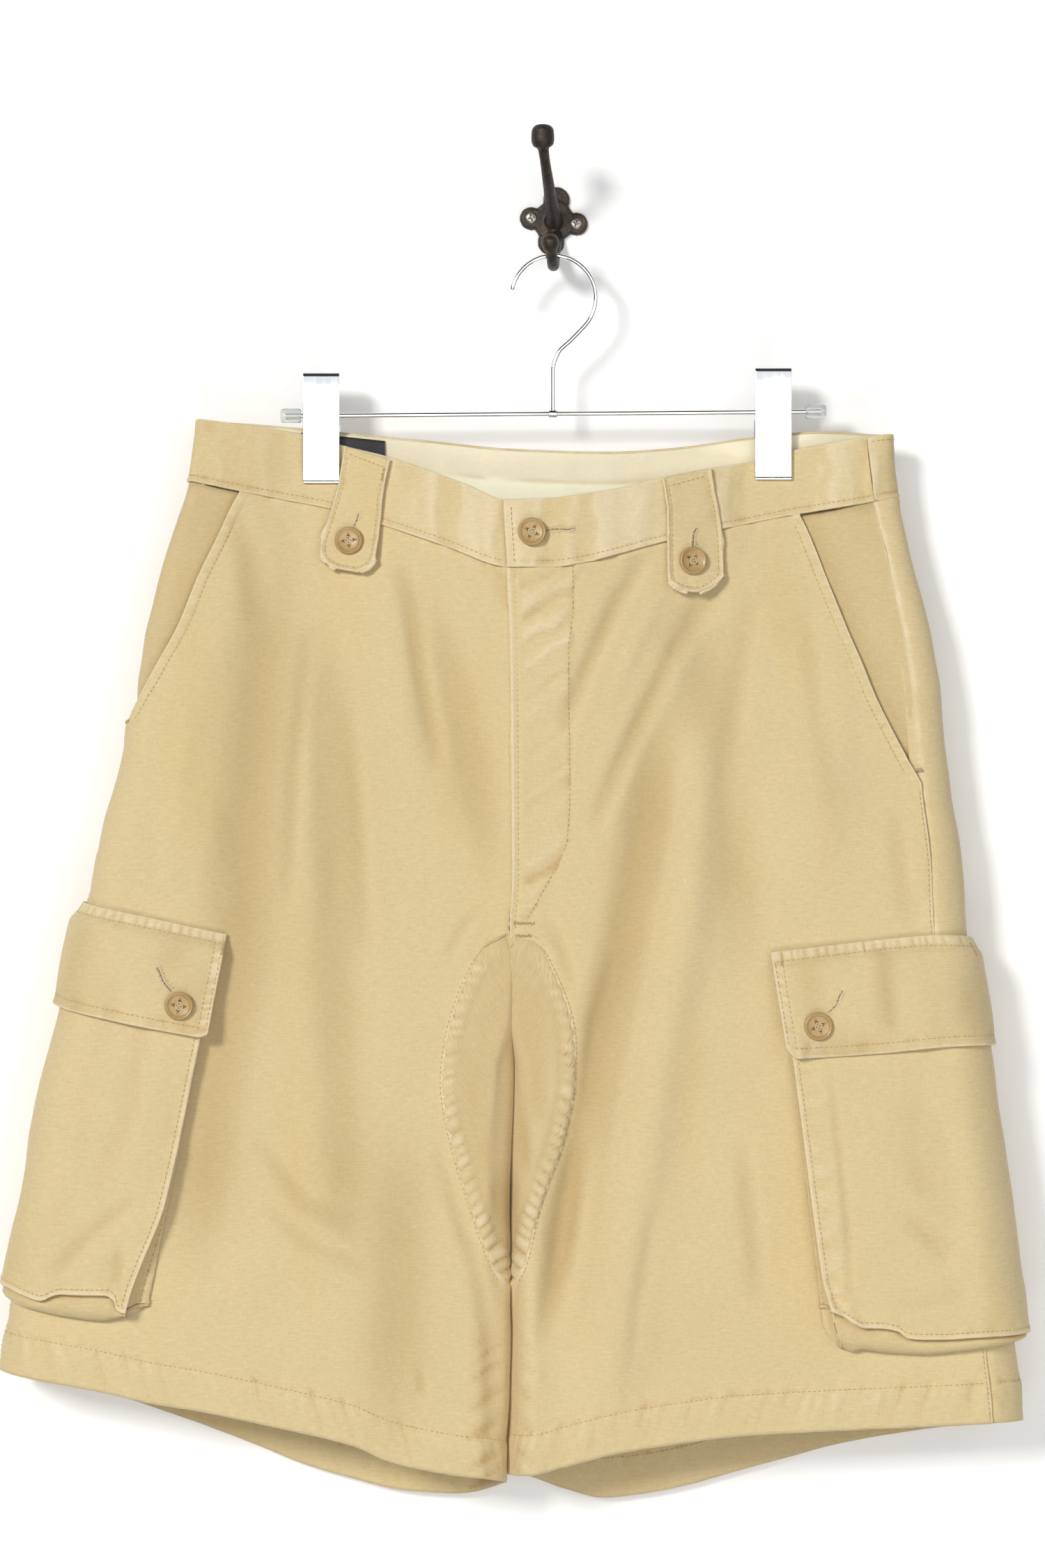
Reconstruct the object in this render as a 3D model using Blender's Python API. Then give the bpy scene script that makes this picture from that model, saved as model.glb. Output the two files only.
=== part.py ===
"""Cargo shorts clipped to a trouser hanger on a cast wall hook, at real size.

Metres, +Z up, +X to the wearer's left, +Y into the wall. The origin is the middle of the hook plate's
back face. Tables and sizes are in millimetres. "right" and "left" are the wearer's.

The cloth follows one form: each leg with its half of the body is a stack of flattened sections. A place
on it is q, the walk round the section in millimetres from the outer edge (positive over the front,
negative over the back), and z, the height. Every panel is a patch of (q, z), and what lies on a panel is
the same form moved outwards.
"""

import math

import bmesh
import bpy
import numpy as np
from mathutils import Matrix, Vector

MM = 0.001  # the tables' unit in metres

# Driving sizes, in millimetres.
GAP = 0.3  # left between two pieces
CLOTH = 1.2  # a panel's wall
DOUBLE_CLOTH = 2.0  # a waistband, flap or tab, which is two layers
FACING = 1.0  # the inner facing and the label
BAND_LIFT = 0.6  # how far the waistband stands out from the panels
BAND_DEPTH = 38.5
POCKET_WIDTH = 196.0  # a cargo pocket, round the leg
FLAP_WIDTH = 201.0
FLAP_OVER = 2.5  # how far a flap reaches past its pocket on each side
BUTTON_R = 8.5
ROD_Y = -30.0  # the hanger's plane in front of the wall
ROD_R = 1.4
PINCH = 3.0  # half the body's depth between a clip's jaws
CLIP_REACH = 115.0  # how far below a clip the cloth is still drawn together
WAIST_OPEN = 15.0  # how far the front of the waist falls open between the clips
TAB_CURL = 2.5  # how far a tab's foot stands away
CLIPS = {"right": (-141.5, -96.8, -164.4), "left": (132.9, -93.8, -162.3)}  # middle x, top z, bottom z
CLIP_WIDTH = 22.3


def table(columns, *rows):
    """A short table, as its named columns."""
    return {name: [row[i] for row in rows] for i, name in enumerate(columns.split())}


# The section at each height: where front and back stand, how far the ends round off, how much a leg
# crowns, and how far each leg's inner wall stands from the line between the legs.
SHAPE = table(
    "z front back r_out r_in crown apart",
    (-115, -36.5, -23.5, 6, 0.01, 0, 0),
    (-170, -38.5, -21.5, 9, 0.01, 0, 0),
    (-217, -43, -19.5, 12, 0.01, 0, 0),
    (-300, -48, -15.5, 16, 0.01, 0, 0),
    (-375, -52, -13, 19, 0.01, 0, 0),
    (-438, -54.5, -12, 21, 0.6, 0, 0.4),
    (-452, -55, -12, 21, 3, 0.5, 1.8),
    (-480, -56, -11.5, 21.5, 7, 1, 2.1),
    (-520, -57, -11, 22, 10, 2, 1.9),
    (-600, -58.5, -11, 24, 14, 3, 1.7),
    (-700, -60, -11, 25, 16, 3.5, 1.7),
    (-800, -60, -11, 25, 16, 3.5, 1.7),
)
# The line down the middle: the fly, then the gap between the legs.
MIDDLE = table(
    "z x",
    (-120, -29.5), (-177, -29), (-217, -26.9), (-266, -25.2), (-399, -24.3), (-440, -26.5), (-477, -25.5),
    (-600, -27.5), (-700, -28), (-790, -31),
)
OUTLINE = {
    "right": table(
        "z x",
        (-115, -216), (-144, -219.3), (-162, -222.3), (-189, -230.3), (-217, -239.2), (-247, -247),
        (-300, -257.5), (-340, -264.3), (-369, -273.9), (-415, -282.7), (-497, -298), (-565, -310.7),
        (-653, -327.6), (-702, -337.3), (-800, -350),
    ),
    "left": table(
        "z x",
        (-115, 205), (-135, 205.7), (-173, 209.5), (-211, 217.9), (-255, 228.5), (-290, 234.8),
        (-316, 237.4), (-360, 242.5), (-395, 247.9), (-436, 250.5), (-534, 262.3), (-605, 270.8),
        (-682, 279.2), (-732, 284.3), (-800, 288),
    ),
}
INWARD = {"right": 1, "left": -1}  # which way x grows from a leg's outer edge to the middle

# Edges, as the height at each x.
TOP_FRONT = table(
    "x z",
    (-217, -125), (-188, -128.9), (-152, -134.4), (-127, -141.5), (-103, -147.8), (-75, -157.5), (-53, -166),
    (-29, -175.4), (-2, -174.4), (20, -171.4), (41, -167.7), (63, -161.7), (94, -155.4), (120, -150.8),
    (145, -144), (182, -137.3), (206, -134),
)
TOP_BACK = table(
    "x z",
    (-218, -125), (-188, -127), (-130, -132.5), (-72, -137.7), (-29, -142), (34, -144), (69, -142),
    (121, -135.6), (163, -132), (206, -134),
)
SEAM_FRONT = table(
    "x z",
    (-222, -163), (-191, -169.5), (-164, -174.6), (-136, -180), (-103, -190.6), (-66, -203.6), (-27, -216.6),
    (-2, -216.7), (19, -213.7), (40, -208.2), (65, -201.1), (101, -192.7), (147, -183.4), (175, -179.2),
    (209, -173),
)
SEAM_BACK = {"x": TOP_BACK["x"], "z": [z - BAND_DEPTH for z in TOP_BACK["z"]]}
HEM_FRONT = {
    "right": table(
        "x z",
        (-338, -698), (-319, -702.8), (-273, -711.2), (-241, -718.3), (-208, -723.8), (-161, -733.8),
        (-120, -744), (-100, -753), (-80, -758), (-49, -763), (-30, -764),
    ),
    "left": table(
        "x z",
        (-26, -762.3), (-13, -761.5), (7, -756.4), (35, -748.9), (67, -743.5), (109, -738), (148, -735.5),
        (195, -733.4), (238, -731.7), (285, -729),
    ),
}
HEM_BACK = {
    "right": table(
        "x z",
        (-338, -704), (-325, -710), (-267, -722.8), (-226, -736.5), (-185, -751.8), (-154, -764.2),
        (-122, -773.6), (-91, -780.5), (-60, -782), (-30, -777),
    ),
    "left": table(
        "x z",
        (-26, -768), (-13, -772), (6, -779), (31, -785), (53, -783), (82, -777.5), (112, -769), (145, -760),
        (177, -751.4), (221, -743.7), (285, -736),
    ),
}
# Slant pocket mouths on the front, from the band down to the side seam.
SLANT = {
    "right": table(
        "z x",
        (-169.8, -190.9), (-176, -194.7), (-198, -204.8), (-222, -216.2), (-252, -228), (-273, -239.3),
        (-298, -252.5), (-316, -260.3),
    ),
    "left": table(
        "z x",
        (-183.7, 149.3), (-192, 153.5), (-225, 166.2), (-255, 178), (-274, 186), (-293, 193.6), (-330, 212.1),
        (-347, 221.4),
    ),
}
# The side seam, as the walk from the outer edge: the left one comes round to the front.
SIDE_SEAM = {
    "right": table(
        "z q",
        (-120, -22), (-217, -18), (-300, -12), (-347, -8), (-437, -2), (-700, -2), (-800, -2),
    ),
    "left": table(
        "z q",
        (-120, 20), (-175, 20.5), (-255, 25), (-347, 30), (-437, 34), (-700, 35), (-800, 35),
    ),
}
# The gusset's seam on each leg, as its distance from the middle line, from the front tip down to the inseam.
GUSSET_SEAM = {
    "right": table(
        "z away",
        (-440.5, 1.5), (-444, 9), (-449, 17.5), (-458.5, 23.5), (-469, 29), (-485, 35), (-502, 39),
        (-524, 41), (-545, 38.5), (-565, 33.4), (-587, 27), (-611, 18.8), (-636, 9.5), (-654, 3.2),
    ),
    "left": table(
        "z away",
        (-440.5, 1.5), (-444, 14), (-449, 19.5), (-458.5, 24), (-469, 28.5), (-485, 34), (-502, 37),
        (-524, 37.5), (-545, 35), (-565, 30.5), (-587, 22.5), (-611, 15), (-636, 9.5), (-654, 3.2),
    ),
}
CROTCH_DROP = 36.0  # how far the cloth sinks between the legs, below the gusset's front tip

# The largest folds: face (1 front, -1 back), depth (negative sinks in), half width, and the line they follow.
FOLDS = (
    (1, -4.0, 19, ((-168, -200), (-187, -378), (-190, -447), (-204, -532), (-214, -640))),
    (1, -2.6, 13, ((-141, -232), (-132, -380), (-128, -504), (-120, -640))),
    (1, -2.6, 12, ((-92, -215), (-67, -266), (-36, -400))),
    (1, 3.0, 24, ((-225, -240), (-232, -400))),
    (1, -5.0, 14, ((66, -300), (49, -411), (34, -484), (21, -544), (13, -580), (-2, -690))),
    (1, 4.0, 16, ((96, -300), (80, -420), (62, -520), (42, -640), (30, -740))),
    (1, -3.0, 17, ((86, -240), (106, -378), (118, -470))),
    (1, 3.0, 20, ((150, -260), (160, -420))),
    (1, 3.0, 13, ((-16, -600), (-13, -745))),
    (1, -3.0, 18, ((-90, -560), (-95, -740))),
    (-1, -4.5, 20, ((-150, -250), (-120, -420), (-90, -620))),
    (-1, 3.5, 22, ((-200, -240), (-175, -420))),
    (-1, -4.0, 17, ((90, -240), (60, -420), (45, -600))),
    (-1, 3.5, 20, ((140, -260), (120, -470), (110, -700))),
    (-1, 3.0, 18, ((-70, -470), (-60, -740))),
)

# Cargo pockets and flaps, in one frame for each leg: the walk to their front edge, and the height of
# each line at the pocket's middle with how steeply it falls away on both sides.
CARGO = {
    "right": {
        "front": 99.0, "flap_top": (-418.5, 0.215), "flap_bottom": (-481, 0.215), "mouth": (-433, 0.215),
        "face_foot": (-650, 0.04), "foot": (-659.5, 0.12),
    },
    "left": {
        "front": 131.5, "flap_top": (-437.5, 0.12), "flap_bottom": (-504.5, 0.085), "mouth": (-451, 0.12),
        "face_foot": (-676, -0.05), "foot": (-687.5, 0.03),
    },
}
# How far a pocket's face stands from the leg, by the share of the way down it.
POCKET_LIFT = table("share front back", (0, 3.0, 2.6), (0.3, 7.0, 4.2), (1, 10.5, 5.6))

# Waist tabs: the middle line, and half the width, from the band's top edge down.
TABS = {
    "right": table(
        "z x half",
        (-146, -112.5, 14.0), (-166, -114.9, 14.1), (-180, -119, 15.6), (-208, -123.5, 17.4),
        (-219, -122, 10.5),
    ),
    "left": table(
        "z x half",
        (-159.5, 79.2, 14.4), (-190, 82.5, 16.2), (-218, 84.2, 17.2), (-231, 84.6, 9.5),
    ),
}
BUTTONS = {
    "button_waist": ("left", -13.4, -195.5),
    "button_tab_right": ("right", -123.7, -200.2),
    "button_tab_left": ("left", 82.1, -212.6),
    "button_flap_right": ("right", -225.2, -479.9),
    "button_flap_left": ("left", 157.6, -492.3),
}
LABEL_X = (-154, -103.5)
LABEL_DEPTH = 22.0

COLOURS = {  # base colour, roughness, metallic, alpha
    "cloth": ((0.68, 0.53, 0.28), 0.85, 0, 1),
    "facing": ((0.87, 0.8, 0.55), 0.85, 0, 1),
    "button": ((0.47, 0.31, 0.12), 0.45, 0, 1),
    "label": ((0.012, 0.012, 0.014), 0.7, 0, 1),
    "chrome": ((0.78, 0.79, 0.8), 0.12, 1, 1),
    "clear_plastic": ((0.8, 0.82, 0.82), 0.15, 0, 0.45),
    "iron": ((0.045, 0.035, 0.028), 0.55, 0.6, 1),
}


def smooth(keys, values):
    """A soft curve through a table's rows that never overshoots them, and holds its end values outside."""
    keys, values = np.array(keys, float), np.array(values, float)
    order = np.argsort(keys)
    keys, values = keys[order], values[order]
    step = np.diff(keys)
    rise = np.diff(values) / step
    slope = np.zeros_like(values)
    slope[0], slope[-1] = rise[0], rise[-1]
    product = rise[:-1] * rise[1:]
    together = np.where(product > 0, rise[:-1] + rise[1:], 1)
    slope[1:-1] = np.where(product > 0, 2 * product / together, 0)

    def at(x):
        x = np.clip(x, keys[0], keys[-1])
        i = np.clip(np.searchsorted(keys, x) - 1, 0, len(step) - 1)
        t = (x - keys[i]) / step[i]
        ease = t * t * (3 - 2 * t)
        bend = step[i] * t * (1 - t) * (slope[i] * (1 - t) - slope[i + 1] * t)
        return values[i] + (values[i + 1] - values[i]) * ease + bend

    return at


def ramp(x, low, high):
    """0 before low, 1 after high, and an easy turn between."""
    t = np.clip((np.asarray(x, float) - low) / (high - low), 0, 1)
    return t * t * (3 - 2 * t)


shape = {name: smooth(SHAPE["z"], SHAPE[name]) for name in SHAPE if name != "z"}
middle = smooth(MIDDLE["z"], MIDDLE["x"])
top_front, top_back = smooth(TOP_FRONT["x"], TOP_FRONT["z"]), smooth(TOP_BACK["x"], TOP_BACK["z"])
seam_front, seam_back = smooth(SEAM_FRONT["x"], SEAM_FRONT["z"]), smooth(SEAM_BACK["x"], SEAM_BACK["z"])
fold_lines = [smooth([z for x, z in line], [x for x, z in line]) for _, _, _, line in FOLDS]


def front_to_back(front, back):
    """An edge's height where front and back differ: facing is 1 on the front and -1 on the back."""
    return lambda x, facing: front(x) + (back(x) - front(x)) * (1 - facing) / 2


TOP = front_to_back(top_front, top_back)
BAND_SEAM = front_to_back(seam_front, seam_back)


def folds(face, x, z):
    """How far the large folds move the cloth outwards."""
    out = np.zeros(np.broadcast(x, z).shape)
    for (side, deep, half_width, line), at in zip(FOLDS, fold_lines):
        high, low = line[0][1], line[-1][1]
        fade = ramp(z, low - 30, low + 70) * (1 - ramp(z, high - 70, high + 30))
        out = out + (face == side) * deep * fade * np.exp(-(((x - at(z)) / half_width) ** 2))
    return out


def clip_hold(x, z):
    """1 between a clip's jaws, falling to 0 away from them."""
    held = np.zeros(np.broadcast(x, z).shape)
    for clip_x, _, bottom in CLIPS.values():
        below = ramp(z, bottom - CLIP_REACH, bottom - 6)
        spread = 26 + 0.25 * np.clip(bottom - z, 0, None)
        beside = np.clip(np.abs(x - clip_x) - CLIP_WIDTH / 2, 0, None)
        held = np.maximum(held, below * np.exp(-((beside / spread) ** 2)))
    return held


def waist_bulge(x, z):
    """How far the front of the waist falls open between the clips."""
    low, high = CLIPS["right"][0], CLIPS["left"][0]
    share = np.clip((x - low) / (high - low), 0, 1)
    return WAIST_OPEN * np.sin(math.pi * share) ** 2 * ramp(z, -360, -175)


class Leg:
    """One leg with its half of the body."""

    def __init__(self, side):
        self.side = side
        self.inward = INWARD[side]
        self.outline = smooth(OUTLINE[side]["z"], OUTLINE[side]["x"])
        self.seam = smooth(SIDE_SEAM[side]["z"], SIDE_SEAM[side]["q"])
        self.slant_x = smooth(SLANT[side]["z"], SLANT[side]["x"])
        self.slant_foot = min(SLANT[side]["z"])
        hem_front = smooth(HEM_FRONT[side]["x"], HEM_FRONT[side]["z"])
        self.hem = front_to_back(hem_front, smooth(HEM_BACK[side]["x"], HEM_BACK[side]["z"]))

    def section(self, z):
        """The section's sizes at a height."""
        s = {name: at(z) for name, at in shape.items()}
        s["x_out"] = self.outline(z)
        s["half_depth"] = (s["back"] - s["front"]) / 2
        s["mid"] = (s["back"] + s["front"]) / 2
        s["width"] = self.inward * (middle(z) - s["x_out"]) - s["apart"]
        s["flat"] = s["width"] - s["r_out"] - s["r_in"]
        s["end_out"] = math.pi / 2 * np.sqrt((s["r_out"] ** 2 + s["half_depth"] ** 2) / 2)
        s["end_in"] = math.pi / 2 * np.sqrt((s["r_in"] ** 2 + s["half_depth"] ** 2) / 2)
        s["half"] = s["end_out"] + s["flat"] + s["end_in"]
        return s

    def place(self, q, z):
        """x and the facing (1 on the front, 0 at the edges, -1 on the back), with the section."""
        s = self.section(z)
        walk = np.abs(q)
        face = np.where(q >= 0, 1, -1)
        over = walk > s["half"]
        walk = np.where(over, 2 * s["half"] - walk, walk)
        face = np.where(over, -face, face)
        turn_out = np.clip(walk / s["end_out"], 0, 1) * math.pi / 2
        turn_in = np.clip((walk - s["end_out"] - s["flat"]) / s["end_in"], 0, 1) * math.pi / 2
        across = s["r_out"] * (1 - np.cos(turn_out)) + s["r_in"] * np.sin(turn_in)
        across = across + np.clip(walk - s["end_out"], 0, s["flat"])
        return s["x_out"] + self.inward * across, face * np.sin(turn_out) * np.cos(turn_in), s

    def point(self, q, z):
        """The form's own point, in millimetres."""
        q, z = np.broadcast_arrays(np.asarray(q, float), np.asarray(z, float))
        x, facing, s = self.place(q, z)
        face = np.where(facing >= 0, 1, -1)
        across = 2 * np.clip(self.inward * (x - s["x_out"]) / s["width"], 0, 1) - 1
        deep = s["half_depth"] + s["crown"] * (1 - across**2)
        deep = deep + (PINCH - deep) * clip_hold(x, z)
        deep = deep + np.where(face > 0, waist_bulge(x, z), 0) + folds(face, x, z)
        return np.stack([x, s["mid"] - facing * deep, z], -1)

    def normal(self, q, z, step=0.6):
        """The outward direction."""
        along = self.point(q + step, z) - self.point(q - step, z)
        up = self.point(q, z + step) - self.point(q, z - step)
        n = self.inward * np.cross(along, up)
        return n / np.linalg.norm(n, axis=-1, keepdims=True)

    def out(self, q, z, lift):
        """The form moved outwards by lift, which may differ from place to place."""
        return self.point(q, z) + self.normal(q, z) * np.asarray(lift, float)[..., None]

    def walk_to(self, x, z, face=1):
        """q at an x on the front (face 1) or back (-1)."""
        s = self.section(z)
        across = self.inward * (x - s["x_out"])
        outer = np.arccos(np.clip(1 - across / s["r_out"], -1, 1)) / (math.pi / 2) * s["end_out"]
        flat = s["end_out"] + across - s["r_out"]
        inner_across = np.clip((across - s["r_out"] - s["flat"]) / s["r_in"], 0, 1)
        inner = s["end_out"] + s["flat"] + np.arcsin(inner_across) / (math.pi / 2) * s["end_in"]
        q = np.where(across < s["r_out"], outer, np.where(across > s["r_out"] + s["flat"], inner, flat))
        return face * q

    def slant(self, z):
        """q of the slant pocket's mouth: it runs into the side seam at its foot."""
        q = self.walk_to(self.slant_x(z), z)
        q = q + (self.seam(z) - q) * ramp(-z, -self.slant_foot - 12, -self.slant_foot + 22)
        return np.where(z < self.slant_foot - 22, self.seam(z), q)


LEGS = {side: Leg(side) for side in INWARD}


def gusset_edge(side, face, gap):
    """The gusset's seam on one face as rows of (q, z), moved away from the middle by gap."""
    leg = LEGS[side]
    z = np.array(GUSSET_SEAM[side]["z"], float)
    away = np.array(GUSSET_SEAM[side]["away"], float)
    run_z, run_away = np.gradient(z), np.gradient(away)
    length = np.hypot(run_z, run_away)
    z_moved = z + gap * run_away / length
    away_moved = away - gap * run_z / length
    x = middle(z_moved) - leg.inward * away_moved
    return np.stack([leg.walk_to(x, z_moved, face), z_moved], 1)


def patch(leg, outer, inner, columns, top=None, bottom=None):
    """Rows of (q, z) from an outer edge to an inner one, between the edges top and bottom."""
    share = np.array(columns, float)[None, :]
    outer, inner = np.array(outer, float), np.array(inner, float)
    q = outer[:, :1] * (1 - share) + inner[:, :1] * share
    level = outer[:, 1:] * (1 - share) + inner[:, 1:] * share
    down = ((level[:1] - level) / (level[:1] - level[-1:])).clip(0, 1)
    z = level.copy()
    for _ in range(4):
        x, facing, _ = leg.place(q, z)
        z = level.copy()
        if top is not None:
            z += (top(x[0], facing[0]) - level[0]) * (1 - down) ** 2
        if bottom is not None:
            z += (bottom(x[-1], facing[-1]) - level[-1]) * down**2
    return q, z


def edge_height(leg, q, edge, start):
    """The height at which a line of constant walk meets an edge."""
    z = start
    for _ in range(6):
        x, facing, _ = leg.place(np.array(q(z) if callable(q) else q, float), np.array(z, float))
        z = float(edge(x, facing))
    return z


def material(name):
    """A finish by its name."""
    found = bpy.data.materials.get(name)
    if found:
        return found
    colour, roughness, metallic, alpha = COLOURS[name]
    made = bpy.data.materials.new(name)
    made.use_nodes = True
    shader = made.node_tree.nodes["Principled BSDF"]
    shader.inputs["Base Color"].default_value = (*colour, 1)
    shader.inputs["Roughness"].default_value = roughness
    shader.inputs["Metallic"].default_value = metallic
    shader.inputs["Alpha"].default_value = alpha
    made.diffuse_color = (*colour, alpha)
    return made


def finish(name, bm, finish_name):
    """The object that a bmesh in millimetres makes, in metres, smooth but for its sharp edges."""
    bmesh.ops.transform(bm, matrix=Matrix.Scale(MM, 4), verts=bm.verts)
    bmesh.ops.recalc_face_normals(bm, faces=bm.faces)
    mesh = bpy.data.meshes.new(name)
    bm.to_mesh(mesh)
    bm.free()
    mesh.shade_smooth()
    mesh.set_sharp_from_angle(angle=math.radians(40))
    mesh.materials.append(material(finish_name))
    made = bpy.data.objects.new(name, mesh)
    bpy.context.scene.collection.objects.link(made)
    return made


def cloth_wall(name, outer, inner, finish_name="cloth"):
    """A closed wall of cloth between two grids of points, (rows, columns, 3) each."""
    rows, columns = outer.shape[:2]
    bm = bmesh.new()
    bmesh.ops.create_grid(bm, x_segments=columns - 1, y_segments=rows - 1, size=1)
    number = bm.verts.layers.int.new("number")
    bm.verts.ensure_lookup_table()
    for i, vert in enumerate(bm.verts):
        vert[number] = i
        vert.co = outer[i // columns, i % columns]
    made = bmesh.ops.extrude_face_region(bm, geom=bm.faces[:], use_keep_orig=True)
    for vert in (g for g in made["geom"] if isinstance(g, bmesh.types.BMVert)):
        i = vert[number]
        vert.co = inner[i // columns, i % columns]
    return finish(name, bm, finish_name)


def leg_wall(name, leg, q, z, lift, thick, finish_name="cloth"):
    """A wall of cloth on one leg: its outer face at lift, and thick through."""
    lift = np.broadcast_to(np.asarray(lift, float), q.shape)
    return cloth_wall(name, leg.out(q, z, lift), leg.out(q, z, lift - thick), finish_name)


# Where a panel's columns stand, as shares of the way from its outer edge to its inner one.
FRONT_COLUMNS = (0, 0.027, 0.055, 0.085, 0.12, 0.17, 0.25, 0.34, 0.43, 0.52, 0.61, 0.7, 0.79, 0.88, 0.955, 1)
BACK_COLUMNS = (0, 0.026, 0.052, 0.078, 0.104, 0.13, 0.175, 0.24, 0.33, 0.44, 0.55, 0.66, 0.77, 0.87, 0.95, 1)
FLY_ROWS = (-252, -284, -302, -318, -334, -356, -394)  # the rows' heights, close at the slants' feet
INSEAM_ROWS = 4


def inner_edge(leg, face, top_z, gap):
    """The inner edge of a front or back panel: down the middle, round the gusset, then down the inseam."""
    tip, foot = GUSSET_SEAM[leg.side]["z"][0], GUSSET_SEAM[leg.side]["z"][-1]
    z = np.array((top_z, *FLY_ROWS, tip + 7))
    down_middle = np.stack([leg.walk_to(middle(z) - leg.inward * gap, z, face), z], 1)
    round_gusset = gusset_edge(leg.side, face, gap)
    hem_z = float(leg.hem(middle(-765.0), 0.0))
    z = np.linspace(foot, hem_z, INSEAM_ROWS + 1)[1:]
    down_inseam = np.stack([face * (leg.section(z)["half"] - gap), z], 1)
    return np.concatenate([down_middle, round_gusset, down_inseam])


UNDER_BAND = front_to_back(lambda x: seam_front(x) - GAP, lambda x: seam_back(x) - GAP)


def front_grid(leg):
    """(q, z) of a front panel, with the heights of its rows along the side seam."""
    inner = inner_edge(leg, 1, float(seam_front(middle(-217.0))) - GAP, GAP / 2)
    seam_top = edge_height(leg, leg.seam, UNDER_BAND, -165.0)
    slant_top = edge_height(leg, leg.slant, UNDER_BAND, -175.0)
    foot = edge_height(leg, leg.seam, leg.hem, -710.0)
    share = (inner[:, 1] - inner[0, 1]) / (inner[-1, 1] - inner[0, 1])
    along_seam = seam_top + (foot - seam_top) * share
    above_foot = (along_seam - leg.slant_foot) / (seam_top - leg.slant_foot)
    along_slant = leg.slant_foot + (slant_top - leg.slant_foot) * above_foot
    z = np.where(above_foot > 0, along_slant, along_seam)
    outer = np.stack([leg.slant(z) + GAP / 2, z], 1)
    return patch(leg, outer, inner, FRONT_COLUMNS, UNDER_BAND, leg.hem), along_seam


def back_grid(leg, along_seam):
    """(q, z) of a back panel, whose rows meet the front's along the side seam."""
    inner = inner_edge(leg, -1, float(seam_back(middle(-182.0))) - GAP, GAP / 2)
    outer = np.stack([leg.seam(along_seam) - GAP / 2, along_seam], 1)
    return patch(leg, outer, inner, BACK_COLUMNS, UNDER_BAND, leg.hem)


def body_panels():
    """The two fronts and the two backs."""
    for side, leg in LEGS.items():
        (q, z), along_seam = front_grid(leg)
        leg_wall(f"front_{side}", leg, q, z, 0, CLOTH)
        q, z = back_grid(leg, along_seam)
        leg_wall(f"back_{side}", leg, q, z, 0, CLOTH)


def crotch_gusset():
    """One piece of cloth: down the inside of each leg, joined in a narrow turn under the crotch."""
    across = np.array((-1, -0.82, -0.6, -0.32, 0, 0.32, 0.6, 0.82, 1.0))
    sink = 1 - np.abs(across) ** 3
    grids = {}
    for side, leg in LEGS.items():
        edge = gusset_edge(side, 1, -GAP / 2)
        away = leg.section(edge[:, 1])["half"] - edge[:, 0]
        drop = CROTCH_DROP * (1 - ramp(-edge[:, 1], 441, 640))
        z = edge[:, 1:] - drop[:, None] * sink
        q = leg.section(z)["half"] + across * away[:, None]
        grids[side] = (leg.out(q, z, np.zeros(q.shape)), leg.out(q, z, np.full(q.shape, -CLOTH)))
    up = 1 - across**6
    turn = []
    for angle in (-math.pi / 4, 0, math.pi / 4):
        rows = []
        for face, rise in ((0, 1.6), (1, 1.6 + CLOTH)):
            a, b = grids["right"][face][0], grids["left"][face][0]
            row = (a + b) / 2 + (b - a) / 2 * math.sin(angle)
            row[:, 2] += rise * up * math.cos(angle)
            rows.append(row)
        turn.append(rows)
    outer = [*grids["right"][0][::-1], *(rows[0] for rows in turn), *grids["left"][0]]
    inner = [*grids["right"][1][::-1], *(rows[1] for rows in turn), *grids["left"][1]]
    cloth_wall("crotch_gusset", np.array(outer), np.array(inner))


def band_grid(leg, below_q, face, top_gap, deep):
    """(q, z) of a stretch of band above the panel whose top row walks below_q, from top_gap under the
    band's edge down to deep, as a share of the band's height."""
    down = np.linspace(0, deep, 4)[:, None]
    z = np.full((len(down), len(below_q)), -165.0)
    for _ in range(6):
        to_middle = leg.walk_to(middle(z) - leg.inward * GAP / 2, z, face)
        share = (below_q - below_q[0]) / (below_q[-1] - below_q[0])
        q = below_q[0] + (to_middle - below_q[0]) * share
        x, facing, _ = leg.place(q, z)
        top = TOP(x, facing) - top_gap
        z = top + (BAND_SEAM(x, facing) - top) * down
    return q, z


def waistband():
    """Two front bands, the back band, and the facing inside the back."""
    strips = {"waistband_back": [], "waistband_facing": []}
    for side, leg in LEGS.items():
        (front_q, _), along_seam = front_grid(leg)
        seam_q = float(leg.seam(-165.0))
        over_pocket = np.linspace(seam_q + GAP / 2, front_q[0, 0], 6)[:-1]
        q, z = band_grid(leg, np.concatenate([over_pocket, front_q[0]]), 1, 0, 1)
        leg_wall(f"waistband_{side}", leg, q, z, BAND_LIFT, DOUBLE_CLOTH)
        back_q, _ = back_grid(leg, along_seam)
        inside = BAND_LIFT - DOUBLE_CLOTH - GAP - 0.1
        for name, lift, thick, top_gap, deep in (
            ("waistband_back", BAND_LIFT, DOUBLE_CLOTH, 0, 1),
            ("waistband_facing", inside, FACING, 0.6, 1.25),
        ):
            q, z = band_grid(leg, back_q[0], -1, top_gap, deep)
            strips[name].append([leg.out(q, z, np.full(q.shape, lift - wall)) for wall in (0, thick)])
    for name, finish_name in (("waistband_back", "cloth"), ("waistband_facing", "facing")):
        (right_outer, right_inner), (left_outer, left_inner) = strips[name]
        joined = [
            np.concatenate([right[:, :-1], (right[:, -1:] + left[:, -1:]) / 2, left[:, -2::-1]], 1)
            for right, left in ((right_outer, left_outer), (right_inner, left_inner))
        ]
        cloth_wall(name, *joined, finish_name)


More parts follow.
